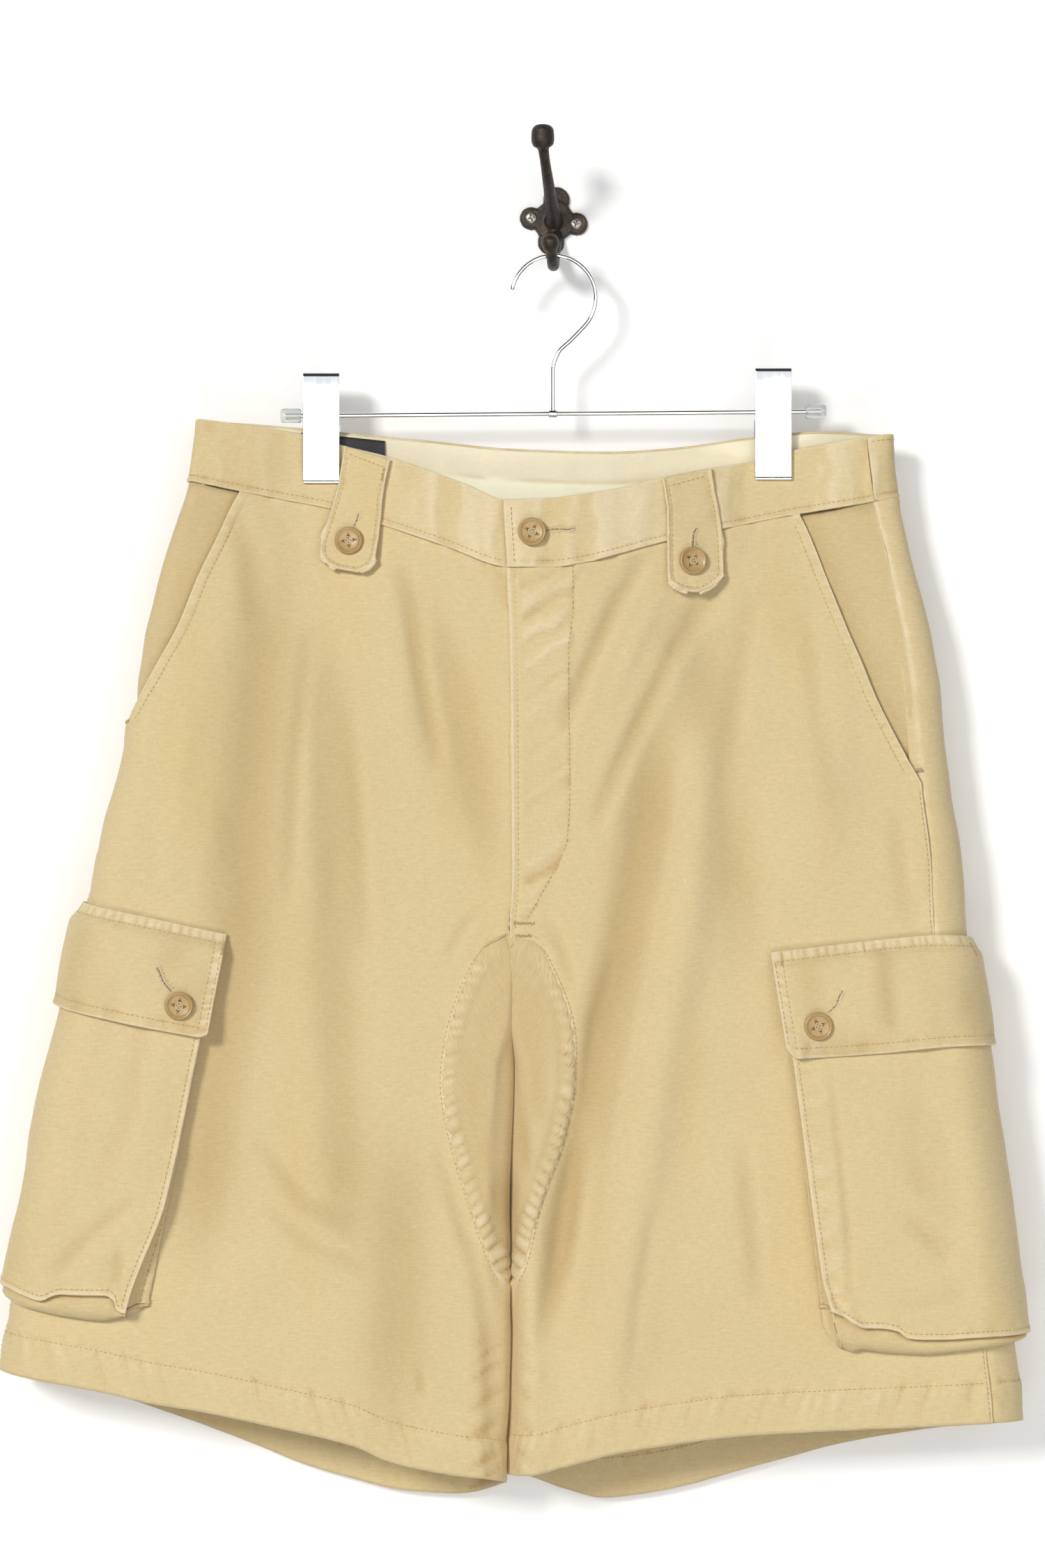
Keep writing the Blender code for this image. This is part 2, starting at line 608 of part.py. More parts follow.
def fly_underlap():
    """The strip behind the fly, under both fronts."""
    leg = LEGS["left"]
    z = np.linspace(-221, -392, 8)[:, None]
    from_middle = np.array((0.4, 11, 22, 33))[None, :]
    q = leg.walk_to(middle(z) + from_middle, z)
    z = np.broadcast_to(z, q.shape)
    leg_wall("fly_underlap", leg, q, z, -CLOTH - GAP - 1.0 * ramp(-z, 240, 290), CLOTH)


def pocket_facings():
    """The cloth that shows in each slant pocket: under the front, level with the back at the seam."""
    for side, leg in LEGS.items():
        rows = np.linspace(0, 1, 12)
        top_z = edge_height(leg, leg.slant, UNDER_BAND, -175.0)
        z = top_z + (leg.slant_foot - 4 - top_z) * rows
        outer = np.stack([leg.seam(z) + GAP + 0.2, z], 1)
        inner = np.stack([leg.slant(z) + 12, z], 1)
        outer[0, 1] = edge_height(leg, leg.seam, UNDER_BAND, -165.0)
        q, z = patch(leg, outer, inner, (0, 0.1, 0.2, 0.32, 0.45, 0.6, 0.78, 1), UNDER_BAND)
        clear = leg.slant(z) - q
        deeper = 3.0 * ramp(leg.slant_foot + 36 - z, 0, 26)
        lift = -0.1 - (CLOTH + GAP + 0.9) * (1 - ramp(clear, 8, 34)) - deeper
        leg_wall(f"pocket_facing_{side}", leg, q, z, lift, CLOTH)


def fall_away(q, cargo):
    """How far a place is from the pocket's middle line, rounded off at that line."""
    centre = cargo["front"] - POCKET_WIDTH / 2
    return np.sqrt((q - centre) ** 2 + 15**2) - 15


def cargo_line(cargo, name, q):
    """The height of one of the pocket's lines at a walk q."""
    height, slope = cargo[name]
    return height - slope * fall_away(q, cargo)


def pocket_lift(leg, q, share):
    """How far the pocket's inner face stands from the leg, share of the way down its face."""
    lift_front = smooth(POCKET_LIFT["share"], POCKET_LIFT["front"])(share)
    lift_back = smooth(POCKET_LIFT["share"], POCKET_LIFT["back"])(share)
    return lift_back + (lift_front - lift_back) * ramp(q, -30, 40)


def round_columns(first, last):
    """Walks from first down to last, close together round the leg's outer edge and wider on the flat."""
    bend = 42.0
    spans = ((first, bend, 22.0), (bend, -bend, 7.0), (-bend, last, 22.0))
    q = [first]
    for start, stop, step in spans:
        q.extend(np.linspace(start, stop, max(2, math.ceil((start - stop) / step) + 1))[1:])
    return np.array(q)


def cargo_pockets():
    """Bellows pockets: a face that stands out, with sides and a foot that fold back to the leg."""
    side_steps, side_rise = (0, 1.5, 4.5, 9), (0, 0.35, 0.85, 1)
    for side, leg in LEGS.items():
        cargo = CARGO[side]
        first, last = cargo["front"], cargo["front"] - POCKET_WIDTH
        face = round_columns(first - side_steps[-1], last + side_steps[-1])
        front_side = [first - step for step in side_steps[:-1]]
        back_side = [last + step for step in side_steps[-2::-1]]
        q = np.concatenate([front_side, face, back_side])
        rise_across = np.concatenate([side_rise[:-1], np.ones(len(face)), side_rise[-2::-1]])
        q = q[None, :]
        down = np.array((0, 0.1, 0.26, 0.43, 0.6, 0.77, 0.93, 1))[:, None]
        mouth, face_foot, foot = (cargo_line(cargo, name, q) for name in ("mouth", "face_foot", "foot"))
        z = [mouth + (face_foot - mouth) * down]
        rise = [np.ones((len(down), 1)) * rise_across]
        for share, keep in ((0.35, 0.9), (0.75, 0.5), (1.0, 0.0)):
            z.append(face_foot + (foot - face_foot) * share)
            rise.append(keep * rise_across[None, :])
        z, rise = np.concatenate(z), np.concatenate(rise)
        q = np.broadcast_to(q, z.shape)
        share = np.clip((mouth - z) / (mouth - face_foot), 0, 1)
        lift = GAP + 0.2 + (pocket_lift(leg, q, share) - GAP) * rise
        leg_wall(f"cargo_pocket_{side}", leg, q, z, lift + CLOTH, CLOTH)


def flap_lift(leg, q, z):
    """The outer face of a cargo flap: sewn to the leg along its top, and over the pocket below."""
    cargo = CARGO[leg.side]
    top = cargo_line(cargo, "flap_top", q)
    mouth, face_foot = cargo_line(cargo, "mouth", q), cargo_line(cargo, "face_foot", q)
    share = np.clip((mouth - z) / (mouth - face_foot), 0, 1)
    over_pocket = pocket_lift(leg, q, share) + CLOTH + 2 * GAP + 0.3
    sewn = ramp(top - z, 0, 11)
    return GAP + 0.6 + (over_pocket - GAP - 0.4) * sewn + DOUBLE_CLOTH


def cargo_flaps():
    """Flaps over the cargo pockets."""
    for side, leg in LEGS.items():
        cargo = CARGO[side]
        q = round_columns(cargo["front"] + FLAP_OVER, cargo["front"] + FLAP_OVER - FLAP_WIDTH)[None, :]
        down = np.array((0, 0.09, 0.19, 0.4, 0.7, 1))[:, None]
        top, bottom = cargo_line(cargo, "flap_top", q), cargo_line(cargo, "flap_bottom", q)
        z = top + (bottom - top) * down
        q = np.broadcast_to(q, z.shape)
        leg_wall(f"cargo_flap_{side}", leg, q, z, flap_lift(leg, q, z), DOUBLE_CLOTH)


def tab_lift(side, z):
    """The outer face of a waist tab, which curls away from the cloth at its foot."""
    foot = TABS[side]["z"][-1]
    return BAND_LIFT + GAP + 0.3 + DOUBLE_CLOTH + TAB_CURL * ramp(-z, -foot - 24, -foot)


def waist_tabs():
    """Buttoned tabs over the waistband, with a rounded foot."""
    for side, leg in LEGS.items():
        tab = TABS[side]
        along = np.array((0, 0.2, 0.4, 0.56, 0.7, 0.8, 0.88, 0.95, 1))
        z = tab["z"][0] + (tab["z"][-1] - tab["z"][0]) * along[:, None]
        x = smooth(tab["z"], tab["x"])(z)
        half = smooth(tab["z"], tab["half"])(z)
        across = np.array((-1, -0.6, -0.2, 0.2, 0.6, 1))[None, :]
        x = x + half * across
        z = np.broadcast_to(z, x.shape)
        q = leg.walk_to(x, z)
        leg_wall(f"waist_tab_{side}", leg, q, z, tab_lift(side, z), DOUBLE_CLOTH)


def label():
    """A plain label on the facing, behind the right-hand clip."""
    leg = LEGS["right"]
    x = np.linspace(*LABEL_X, 5)[None, :]
    top = top_back(x) - 3
    z = top - LABEL_DEPTH * np.linspace(0, 1, 3)[:, None]
    x = np.broadcast_to(x, z.shape)
    q = leg.walk_to(x, z, -1)
    inside = BAND_LIFT - DOUBLE_CLOTH - GAP - FACING - GAP - 0.4
    leg_wall("label", leg, q, z, inside, FACING * 0.8, "label")


def turned(profile, segments):
    """A bmesh turned round z from (radius, height) pairs that start and end on the axis."""
    bm = bmesh.new()
    verts = [bm.verts.new((r, 0, h)) for r, h in profile]
    edges = [bm.edges.new(pair) for pair in zip(verts, verts[1:])]
    bmesh.ops.spin(
        bm, geom=verts + edges, cent=(0, 0, 0), axis=(0, 0, 1), angle=2 * math.pi, steps=segments,
        use_merge=True,
    )
    bmesh.ops.remove_doubles(bm, verts=bm.verts, dist=0.001)
    return bm


def cut_through(made, cutter):
    """Takes the cutter's space out of an object."""
    cutter.hide_render = True
    cutter.display_type = "WIRE"
    cut = made.modifiers.new("cut", "BOOLEAN")
    cut.operation = "DIFFERENCE"
    cut.object = cutter


def join_on(made, other):
    """Makes other one body with the object."""
    other.hide_render = True
    other.display_type = "WIRE"
    join = made.modifiers.new("join", "BOOLEAN")
    join.operation = "UNION"
    join.object = other


def button_frame(leg, x, z, lift):
    """Where a button sits: its back on the cloth's outer face, its axis square to it."""
    q = leg.walk_to(np.array(float(x)), np.array(float(z)))
    place = leg.out(q, np.array(float(z)), np.array(float(lift)))
    axis = Vector(leg.normal(q, np.array(float(z))))
    turn = axis.to_track_quat("Z", "Y").to_matrix().to_4x4()
    return Matrix.Translation(Vector(place) * MM) @ turn


def buttons():
    """Four-hole buttons with a raised rim, all cut alike."""
    profile = ((0, 0), (7.2, 0), (BUTTON_R, 1.3), (8.2, 2.7), (7.2, 3.1), (6.0, 2.1), (0, 2.0))
    holes = bmesh.new()
    for x, y in ((-1.6, -1.6), (1.6, -1.6), (-1.6, 1.6), (1.6, 1.6)):
        place = Matrix.Translation((x, y, 1))
        bmesh.ops.create_cone(
            holes, cap_ends=True, segments=5, radius1=0.85, radius2=0.85, depth=4, matrix=place
        )
    cutter = finish("button_holes", holes, "button")
    for name, (side, x, z) in BUTTONS.items():
        leg = LEGS[side]
        made = finish(name, turned(profile, 12), "button")
        q = leg.walk_to(np.array(x), np.array(z))
        if "tab" in name:
            lift = float(tab_lift(side, z)) + 0.9
        elif "flap" in name:
            lift = float(flap_lift(leg, q, np.array(z))) + 0.3
        else:
            lift = BAND_LIFT
        made.matrix_world = button_frame(leg, x, z, lift + GAP)
        mine = cutter.copy()
        mine.name = f"holes_{name}"
        bpy.context.scene.collection.objects.link(mine)
        mine.matrix_world = made.matrix_world
        cut_through(made, mine)
    bpy.data.objects.remove(cutter)


def soft_path(points, spacing):
    """Points at an even spacing along a smooth curve through a few."""
    points = np.array(points, float)
    run = np.concatenate([[0], np.cumsum(np.linalg.norm(np.diff(points, axis=0), axis=1))])
    curves = [smooth(run, points[:, i]) for i in range(points.shape[1])]
    even = np.linspace(0, run[-1], max(2, round(run[-1] / spacing) + 1))
    return np.stack([curve(even) for curve in curves], 1)


def tube(path, radii, sides):
    """A bmesh of round section along a path, with a radius for each of its points."""
    path = [Vector(p) for p in path]
    ahead = [(b - a).normalized() for a, b in zip(path, path[1:])]
    facing = [ahead[0], *((a + b).normalized() for a, b in zip(ahead, ahead[1:])), ahead[-1]]
    bm = bmesh.new()
    start = Matrix.Translation(path[0]) @ facing[0].to_track_quat("Z", "Y").to_matrix().to_4x4()
    made = bmesh.ops.create_circle(bm, cap_ends=False, segments=sides, radius=radii[0], matrix=start)
    edges = list({edge for vert in made["verts"] for edge in vert.link_edges})
    for i in range(1, len(path)):
        new = bmesh.ops.extrude_edge_only(bm, edges=edges)["geom"]
        verts = [g for g in new if isinstance(g, bmesh.types.BMVert)]
        edges = [g for g in new if isinstance(g, bmesh.types.BMEdge)]
        turn = facing[i - 1].rotation_difference(facing[i]).to_matrix()
        for vert in verts:
            vert.co = path[i] + turn @ (vert.co - path[i - 1]) * (radii[i] / radii[i - 1])
    bmesh.ops.holes_fill(bm, edges=bm.edges[:], sides=sides)
    return bm


def bar(name, a, b, radius, sides, finish_name="chrome"):
    """A straight round bar."""
    return finish(name, tube([a, b], [radius, radius], sides), finish_name)


ROD_ENDS = ((-163.0, ROD_Y, -122.9), (162.0, ROD_Y, -120.3))
HOOK_CENTRE = (-0.4, -51.0)  # x and z of the hook's round part
HOOK_R = 25.6


def hanger():
    """The hook's wire, bent round and down to the rod, one body with it."""
    angles = [math.radians(a) for a in range(168, -46, -11)]
    arc = [
        (HOOK_CENTRE[0] + HOOK_R * math.cos(a), ROD_Y, HOOK_CENTRE[1] + HOOK_R * math.sin(a)) for a in angles
    ]
    below = ((10.5, -76.5), (2.5, -84.5), (-0.8, -95), (-0.8, -121.6))
    stem = soft_path([arc[-1], *((x, ROD_Y, z) for x, z in below)], 5)
    path = np.concatenate([arc, stem[1:]])
    frame = finish("hanger_frame", tube(path, [ROD_R] * len(path), 8), "chrome")
    rod = bar("rod_cutter", *ROD_ENDS, ROD_R + 0.05, 12)
    join_on(frame, rod)


def rod_at(x):
    """The rod's height at an x."""
    (x0, _, z0), (x1, _, z1) = ROD_ENDS
    return z0 + (z1 - z0) * (x - x0) / (x1 - x0)


def clips():
    """Folded plates that ride on the rod and hold the waistband between two jaws."""
    jaw = PINCH + BAND_LIFT + GAP + 0.3
    plate_in, plate_out = jaw + 1.6, jaw + 2.8
    for side, (x, top, bottom) in CLIPS.items():
        under_rod = rod_at(x) - 5
        half = [
            (plate_out, bottom), (plate_out, top - 2), (plate_out - 2, top),
        ]
        inner = [(plate_in, under_rod), (plate_in, bottom + 10.5), (jaw, bottom + 9), (jaw, bottom)]
        outline = half + [(-y, z) for y, z in half[::-1]] + [(-y, z) for y, z in inner[::-1]] + inner
        bm = bmesh.new()
        face = bm.faces.new([bm.verts.new((x - CLIP_WIDTH / 2, ROD_Y + y, z)) for y, z in outline])
        made = bmesh.ops.extrude_face_region(bm, geom=[face], use_keep_orig=True)
        moved = [g for g in made["geom"] if isinstance(g, bmesh.types.BMVert)]
        bmesh.ops.translate(bm, verts=moved, vec=(CLIP_WIDTH, 0, 0))
        clip = finish(f"clip_{side}", bm, "chrome")
        ends = [(x - 20, ROD_Y, rod_at(x - 20)), (x + 20, ROD_Y, rod_at(x + 20))]
        cut_through(clip, bar(f"rod_hole_{side}", *ends, ROD_R + GAP, 12))


def end_caps():
    """Soft clear caps on the rod's ends."""
    bore = ROD_R + GAP + 0.05
    profile = ((0, 9.5), (bore, 9.5), (bore, 0), (4.0, 0), (4.4, 0.6), (4.4, 11.6), (3.6, 12.6), (0, 12.6))
    for side, end, away in (("right", ROD_ENDS[0], -1), ("left", ROD_ENDS[1], 1)):
        cap = finish(f"end_cap_{side}", turned(profile, 12), "clear_plastic")
        turn = Vector((away, 0, 0)).to_track_quat("Z", "Y").to_matrix().to_4x4()
        place = Vector((end[0] - away * 9.1, end[1], end[2])) * MM
        cap.matrix_world = Matrix.Translation(place) @ turn


PLATE_TURN = math.radians(-7)
PLATE_THICK = 3.2
# The plate's lobes: x, z, radius.
LOBES = ((14.0, 0.0, 7.4), (-14.0, 0.0, 7.4), (0.0, 13.0, 8.6), (0.0, -13.0, 8.6), (0.0, 0.0, 13.0))


def wall_hook():
    """A cast plate of four lobes with two screws, and a tall and a short prong that end in knobs."""
    lean = Matrix.Rotation(PLATE_TURN, 4, "Y").inverted()
    flat = Matrix.Rotation(math.pi / 2, 4, "X")
    parts = []
    for i, (x, z, radius) in enumerate(LOBES):
        bm = bmesh.new()
        thick = PLATE_THICK - 0.02 * i
        place = lean @ Matrix.Translation((x, -thick / 2, z)) @ flat
        bmesh.ops.create_cone(
            bm, cap_ends=True, segments=20, radius1=radius, radius2=radius - 0.8, depth=thick, matrix=place
        )
        parts.append(finish(f"plate_{i}", bm, "iron"))
    for i, x in enumerate((-13.9, 13.9)):
        bm = turned(((0, 0), (4.0, 0), (3.5, 0.8), (2.0, 1.4), (0, 1.5)), 12)
        place = lean @ Matrix.Translation((x, 0.3 - PLATE_THICK, 0)) @ flat
        bmesh.ops.transform(bm, matrix=place, verts=bm.verts)
        parts.append(finish(f"screw_{i}", bm, "iron"))
    for name, prong in PRONGS.items():
        path = soft_path(prong, 4.6)
        parts.append(finish(f"prong_{name}", tube(path[:, :3], path[:, 3], 10), "iron"))
    hook = parts.pop(0)
    hook.name = "wall_hook"
    for part in parts:
        join_on(hook, part)


# The prongs' middle lines with their radius: x, y, z, radius.
PRONGS = {
    "upper": (
        (0.0, -1.5, -2.0, 5.5), (-0.4, -9.0, 1.5, 4.6), (-2.0, -24.0, 9.0, 3.9),
        (-4.0, -42.0, 19.0, 3.4), (-5.8, -54.0, 28.5, 3.1), (-6.8, -59.0, 35.0, 3.4),
        (-6.9, -59.5, 36.2, 6.0), (-7.1, -60.2, 39.5, 7.0), (-7.2, -60.8, 45.0, 6.8),
        (-7.3, -61.0, 48.2, 4.5), (-7.3, -61.0, 48.8, 1.5),
    ),
    "lower": (
        (0.0, -1.5, -9.0, 5.0), (-0.1, -7.0, -17.5, 4.4), (-0.3, -15.0, -25.6, 3.9),
        (-0.5, -25.0, -30.6, 3.7), (-0.8, -31.0, -30.8, 3.6), (-1.4, -38.5, -28.2, 3.4),
        (-2.0, -42.5, -24.2, 3.6), (-2.3, -44.0, -22.2, 4.9), (-2.5, -45.5, -19.4, 5.4),
        (-2.7, -47.0, -16.6, 4.4), (-2.8, -47.8, -15.2, 1.8),
    ),
}


def main():
    for old in list(bpy.data.objects):
        bpy.data.objects.remove(old)
    body_panels()
    crotch_gusset()
    waistband()
    fly_underlap()
    pocket_facings()
    cargo_pockets()
    cargo_flaps()
    waist_tabs()
    label()
    buttons()
    hanger()
    clips()
    end_caps()
    wall_hook()


main()
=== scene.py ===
"""Cargo shorts clipped to a trouser hanger on a cast wall hook: the finished cloth, thread and metal.

Metres, +Z up, +X to the wearer's left, +Y into the wall. Tables and sizes are in millimetres. "right" and "left" are
the wearer's. The cloth follows one form: each leg with its half of the body is a stack of flattened sections. A place
on it is q, the walk round the section from the outer edge (positive over the front, negative over the back), and z.
"""

import math

import bmesh
import bpy
import numpy as np
from bpy.props import FloatProperty, FloatVectorProperty, PointerProperty
from mathutils import Matrix, Vector


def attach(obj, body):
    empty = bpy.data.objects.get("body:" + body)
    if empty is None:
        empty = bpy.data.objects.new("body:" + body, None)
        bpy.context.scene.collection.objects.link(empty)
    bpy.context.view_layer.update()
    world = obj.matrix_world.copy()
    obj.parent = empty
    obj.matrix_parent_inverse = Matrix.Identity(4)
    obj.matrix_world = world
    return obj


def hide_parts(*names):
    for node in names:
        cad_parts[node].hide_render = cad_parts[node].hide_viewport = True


bl_info = {
    "name": "Cargo shorts on a hanger",
    "version": (1, 0, 0),
    "blender": (4, 5, 0),
    "location": "3D View > Sidebar > Shorts",
    "description": "Builds the finished cloth, thread, buttons, hanger and wall hook around the packed solids",
    "category": "Object",
}

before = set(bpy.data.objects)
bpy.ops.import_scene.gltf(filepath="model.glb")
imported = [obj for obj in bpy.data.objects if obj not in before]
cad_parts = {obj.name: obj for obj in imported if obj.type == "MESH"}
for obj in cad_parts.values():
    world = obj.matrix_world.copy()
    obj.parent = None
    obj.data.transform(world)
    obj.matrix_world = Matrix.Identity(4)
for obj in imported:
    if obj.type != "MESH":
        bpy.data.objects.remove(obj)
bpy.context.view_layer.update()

MM = 0.001  # the tables' unit in metres
GAP = 0.3  # left between two pieces
CLOTH = 1.2  # a panel's wall
DOUBLE_CLOTH = 2.0  # a waistband, flap or tab, which is two layers
FACING = 1.0  # the inner facing and the label
BAND_LIFT = 0.9  # how far the waistband stands out from the panels
BAND_DEPTH = 38.5
HEM_DEPTH = 25.5
POCKET_WIDTH = 196.0  # a cargo pocket, round the leg
FLAP_WIDTH = 201.0
FLAP_OVER = 2.5  # how far a flap reaches past its pocket's front edge
ROD_Y = -30.0  # the hanger's plane in front of the wall
ROD_R = 1.4
PINCH = 3.0  # half the waist's depth between a clip's jaws
CLIP_REACH = 115.0  # how far below a clip the waist is drawn in
WAIST_OPEN = 15.0  # how far the waist's front falls open between the clips
TAB_CURL = 2.5  # how far a waist tab's foot curls out
CLIPS = {"right": (-141.5, -96.8, -164.4), "left": (132.9, -93.8, -162.3)}  # middle x, top z, bottom z
CLIP_WIDTH = 22.3
POCKET_CLOTH = 0.9
LABEL_CLOTH = 0.7
BACK_STRIP = 7.2  # the strip that shows beside a cargo pocket's back edge
THREAD_RISE = 0.06  # how far a row of stitches stands out from its cloth
STEP = 2.6  # the cloth's mesh, from row to row
FINE = 1.4  # the same where cloth is gathered
# Heights where the search for an edge starts: in the waistband, at the slant pockets' tops and at the hems.
BAND_Z, SLANT_Z, HEM_Z = -165.0, -175.0, -710.0
# The first seed of each kind of piece's own wrinkles.
SEEDS = {
    "panel": {"right": 10, "left": 40}, "band": {"right": 101, "left": 131}, "pocket": {"right": 201, "left": 231},
    "flap": {"right": 261, "left": 281}, "tab": {"right": 301, "left": 311},
}
BACK_BAND = 15  # what a back waistband adds to its seed


def table(columns, *rows):
    """A short table, as its named columns."""
    return {name: [row[i] for row in rows] for i, name in enumerate(columns.split())}


# The section at each height: where front and back stand, how far the ends round off, how much a leg crowns, and how
# far each leg's inner wall stands from the line between the legs.
SHAPE = table(
    "z front back r_out r_in crown apart",
    (-115, -36.5, -23.5, 6, 0.01, 0, 0),
    (-170, -38.5, -21.5, 9, 0.01, 0, 0),
    (-217, -43, -19.5, 12, 0.01, 0, 0),
    (-300, -48, -15.5, 16, 0.01, 0, 0),
    (-375, -52, -13, 19, 0.01, 0, 0),
    (-438, -54.5, -12, 21, 0.6, 0, 0.4),
    (-452, -55, -12, 21, 3, 0.5, 1.8),
    (-480, -56, -11.5, 21.5, 7, 1, 2.1),
    (-520, -57, -11, 22, 10, 2, 1.9),
    (-600, -58.5, -11, 24, 14, 3, 1.7),
    (-700, -60, -11, 25, 16, 3.5, 1.7),
    (-800, -60, -11, 25, 16, 3.5, 1.7),
)
# The line down the middle: the fly, then the gap between the legs.
MIDDLE = table(
    "z x",
    (-120, -29.5), (-177, -29), (-217, -26.9), (-266, -25.2), (-399, -24.3), (-440, -26.5), (-477, -25.5),
    (-600, -27.5), (-700, -28), (-790, -31),
)
OUTLINE = {
    "right": table(
        "z x",
        (-115, -216), (-144, -219.3), (-162, -222.3), (-189, -230.3), (-217, -239.2), (-247, -247), (-300, -257.5),
        (-340, -264.3), (-369, -273.9), (-415, -282.7), (-497, -298), (-565, -310.7), (-653, -327.6), (-702, -337.3),
        (-800, -350),
    ),
    "left": table(
        "z x",
        (-115, 205), (-135, 205.7), (-173, 209.5), (-211, 217.9), (-255, 228.5), (-290, 234.8), (-316, 237.4),
        (-360, 242.5), (-395, 247.9), (-436, 250.5), (-534, 262.3), (-605, 270.8), (-682, 279.2), (-732, 284.3),
        (-800, 288),
    ),
}
INWARD = {"right": 1, "left": -1}  # which way x grows from a leg's outer edge to the middle

# Edges, as the height at each x.
TOP_FRONT = table(
    "x z",
    (-217, -125), (-188, -128.9), (-152, -134.4), (-127, -141.5), (-103, -147.8), (-75, -157.5), (-53, -166),
    (-29, -175.4), (-2, -174.4), (20, -171.4), (41, -167.7), (63, -161.7), (94, -155.4), (120, -150.8),
    (145, -144), (182, -137.3), (206, -134),
)
TOP_BACK = table(
    "x z",
    (-218, -125), (-188, -127), (-130, -132.5), (-72, -137.7), (-29, -142), (34, -144), (69, -142), (121, -135.6),
    (163, -132), (206, -134),
)
SEAM_FRONT = table(
    "x z",
    (-222, -163), (-191, -169.5), (-164, -174.6), (-136, -180), (-103, -190.6), (-66, -203.6), (-27, -216.6),
    (-2, -216.7), (19, -213.7), (40, -208.2), (65, -201.1), (101, -192.7), (147, -183.4), (175, -179.2),
    (209, -173),
)
SEAM_BACK = {"x": TOP_BACK["x"], "z": [z - BAND_DEPTH for z in TOP_BACK["z"]]}
HEM_FRONT = {
    "right": table(
        "x z",
        (-338, -698), (-319, -702.8), (-273, -711.2), (-241, -718.3), (-208, -723.8), (-161, -733.8), (-120, -744),
        (-100, -753), (-80, -758), (-49, -763), (-30, -764),
    ),
    "left": table(
        "x z",
        (-26, -762.3), (-13, -761.5), (7, -756.4), (35, -748.9), (67, -743.5), (109, -738), (148, -735.5),
        (195, -733.4), (238, -731.7), (285, -729),
    ),
}
HEM_BACK = {
    "right": table(
        "x z",
        (-338, -704), (-325, -710), (-267, -722.8), (-226, -736.5), (-185, -751.8), (-154, -764.2), (-122, -773.6),
        (-91, -780.5), (-60, -782), (-30, -777),
    ),
    "left": table(
        "x z",
        (-26, -768), (-13, -772), (6, -779), (31, -785), (53, -783), (82, -777.5), (112, -769), (145, -760),
        (177, -751.4), (221, -743.7), (285, -736),
    ),
}
# Slant pocket mouths on the front, from the band down to the side seam.
SLANT = {
    "right": table(
        "z x",
        (-169.8, -190.9), (-176, -194.7), (-198, -204.8), (-222, -216.2), (-252, -228), (-273, -239.3),
        (-298, -252.5), (-316, -260.3),
    ),
    "left": table(
        "z x",
        (-183.7, 149.3), (-192, 153.5), (-225, 166.2), (-255, 178), (-274, 186), (-293, 193.6), (-330, 212.1),
        (-347, 221.4),
    ),
}
# The side seam, as the walk from the outer edge: the left one comes round to the front.
SIDE_SEAM = {
    "right": table("z q", (-120, -22), (-217, -18), (-300, -12), (-347, -8), (-437, -2), (-700, -2), (-800, -2)),
    "left": table("z q", (-120, 20), (-175, 20.5), (-255, 25), (-347, 30), (-437, 34), (-700, 35), (-800, 35)),
}
# The gusset's seam on each leg, as its distance from the middle line, from the front tip down to the inseam.
GUSSET_SEAM = {
    "right": table(
        "z away",
        (-440.5, 1.5), (-444, 9), (-449, 17.5), (-458.5, 23.5), (-469, 29), (-485, 35), (-502, 39), (-524, 41),
        (-545, 38.5), (-565, 33.4), (-587, 27), (-611, 18.8), (-636, 9.5), (-654, 3.2), (-676, 2.1),
    ),
    "left": table(
        "z away",
        (-440.5, 1.5), (-444, 14), (-449, 19.5), (-458.5, 24), (-469, 28.5), (-485, 34), (-502, 37), (-524, 37.5),
        (-545, 35), (-565, 30.5), (-587, 22.5), (-611, 15), (-636, 9.5), (-654, 3.2), (-676, 2.1),
    ),
}
CROTCH_DROP = 36.0  # how far the cloth sinks between the legs, from the gusset's front tip to its lowest place

# The largest folds: face (1 front, -1 back), depth (negative sinks in), half width, and the line they follow.
FOLDS = (
    (1, -4.0, 19, ((-168, -200), (-187, -378), (-190, -447), (-204, -532), (-214, -640))),
    (1, -2.6, 13, ((-141, -232), (-132, -380), (-128, -504), (-120, -640))),
    (1, -2.6, 12, ((-92, -215), (-67, -266), (-36, -400))),
    (1, 3.0, 24, ((-225, -240), (-232, -400))),
    (1, -5.0, 14, ((66, -300), (49, -411), (34, -484), (21, -544), (13, -580), (-2, -690))),
    (1, 4.0, 16, ((96, -300), (80, -420), (62, -520), (42, -640), (30, -740))),
    (1, -3.0, 17, ((86, -240), (106, -378), (118, -470))),
    (1, 3.0, 20, ((150, -260), (160, -420))),
    (1, 3.0, 13, ((-16, -600), (-13, -745))),
    (1, -3.0, 18, ((-90, -560), (-95, -740))),
    (-1, -4.5, 20, ((-150, -250), (-120, -420), (-90, -620))),
    (-1, 3.5, 22, ((-200, -240), (-175, -420))),
    (-1, -4.0, 17, ((90, -240), (60, -420), (45, -600))),
    (-1, 3.5, 20, ((140, -260), (120, -470), (110, -700))),
    (-1, 3.0, 18, ((-70, -470), (-60, -740))),
)

# Cargo pockets and flaps, in one frame for each leg: the walk to their front edge, and the height of each line
# at the pocket's middle with how steeply it falls away on both sides.
CARGO = {
    "right": {
        "front": 99.0, "flap_top": (-418.5, 0.215), "flap_bottom": (-481, 0.215), "mouth": (-433, 0.215),
        "face_foot": (-650, 0.04), "foot": (-659.5, 0.12),
    },
    "left": {
        "front": 131.5, "flap_top": (-437.5, 0.12), "flap_bottom": (-504.5, 0.085), "mouth": (-451, 0.12),
        "face_foot": (-676, -0.05), "foot": (-687.5, 0.03),
    },
}
POCKET_LIFT = table("share front back", (0, 3.0, 2.6), (0.3, 7.0, 4.2), (1, 10.5, 5.6))  # down the pocket's face

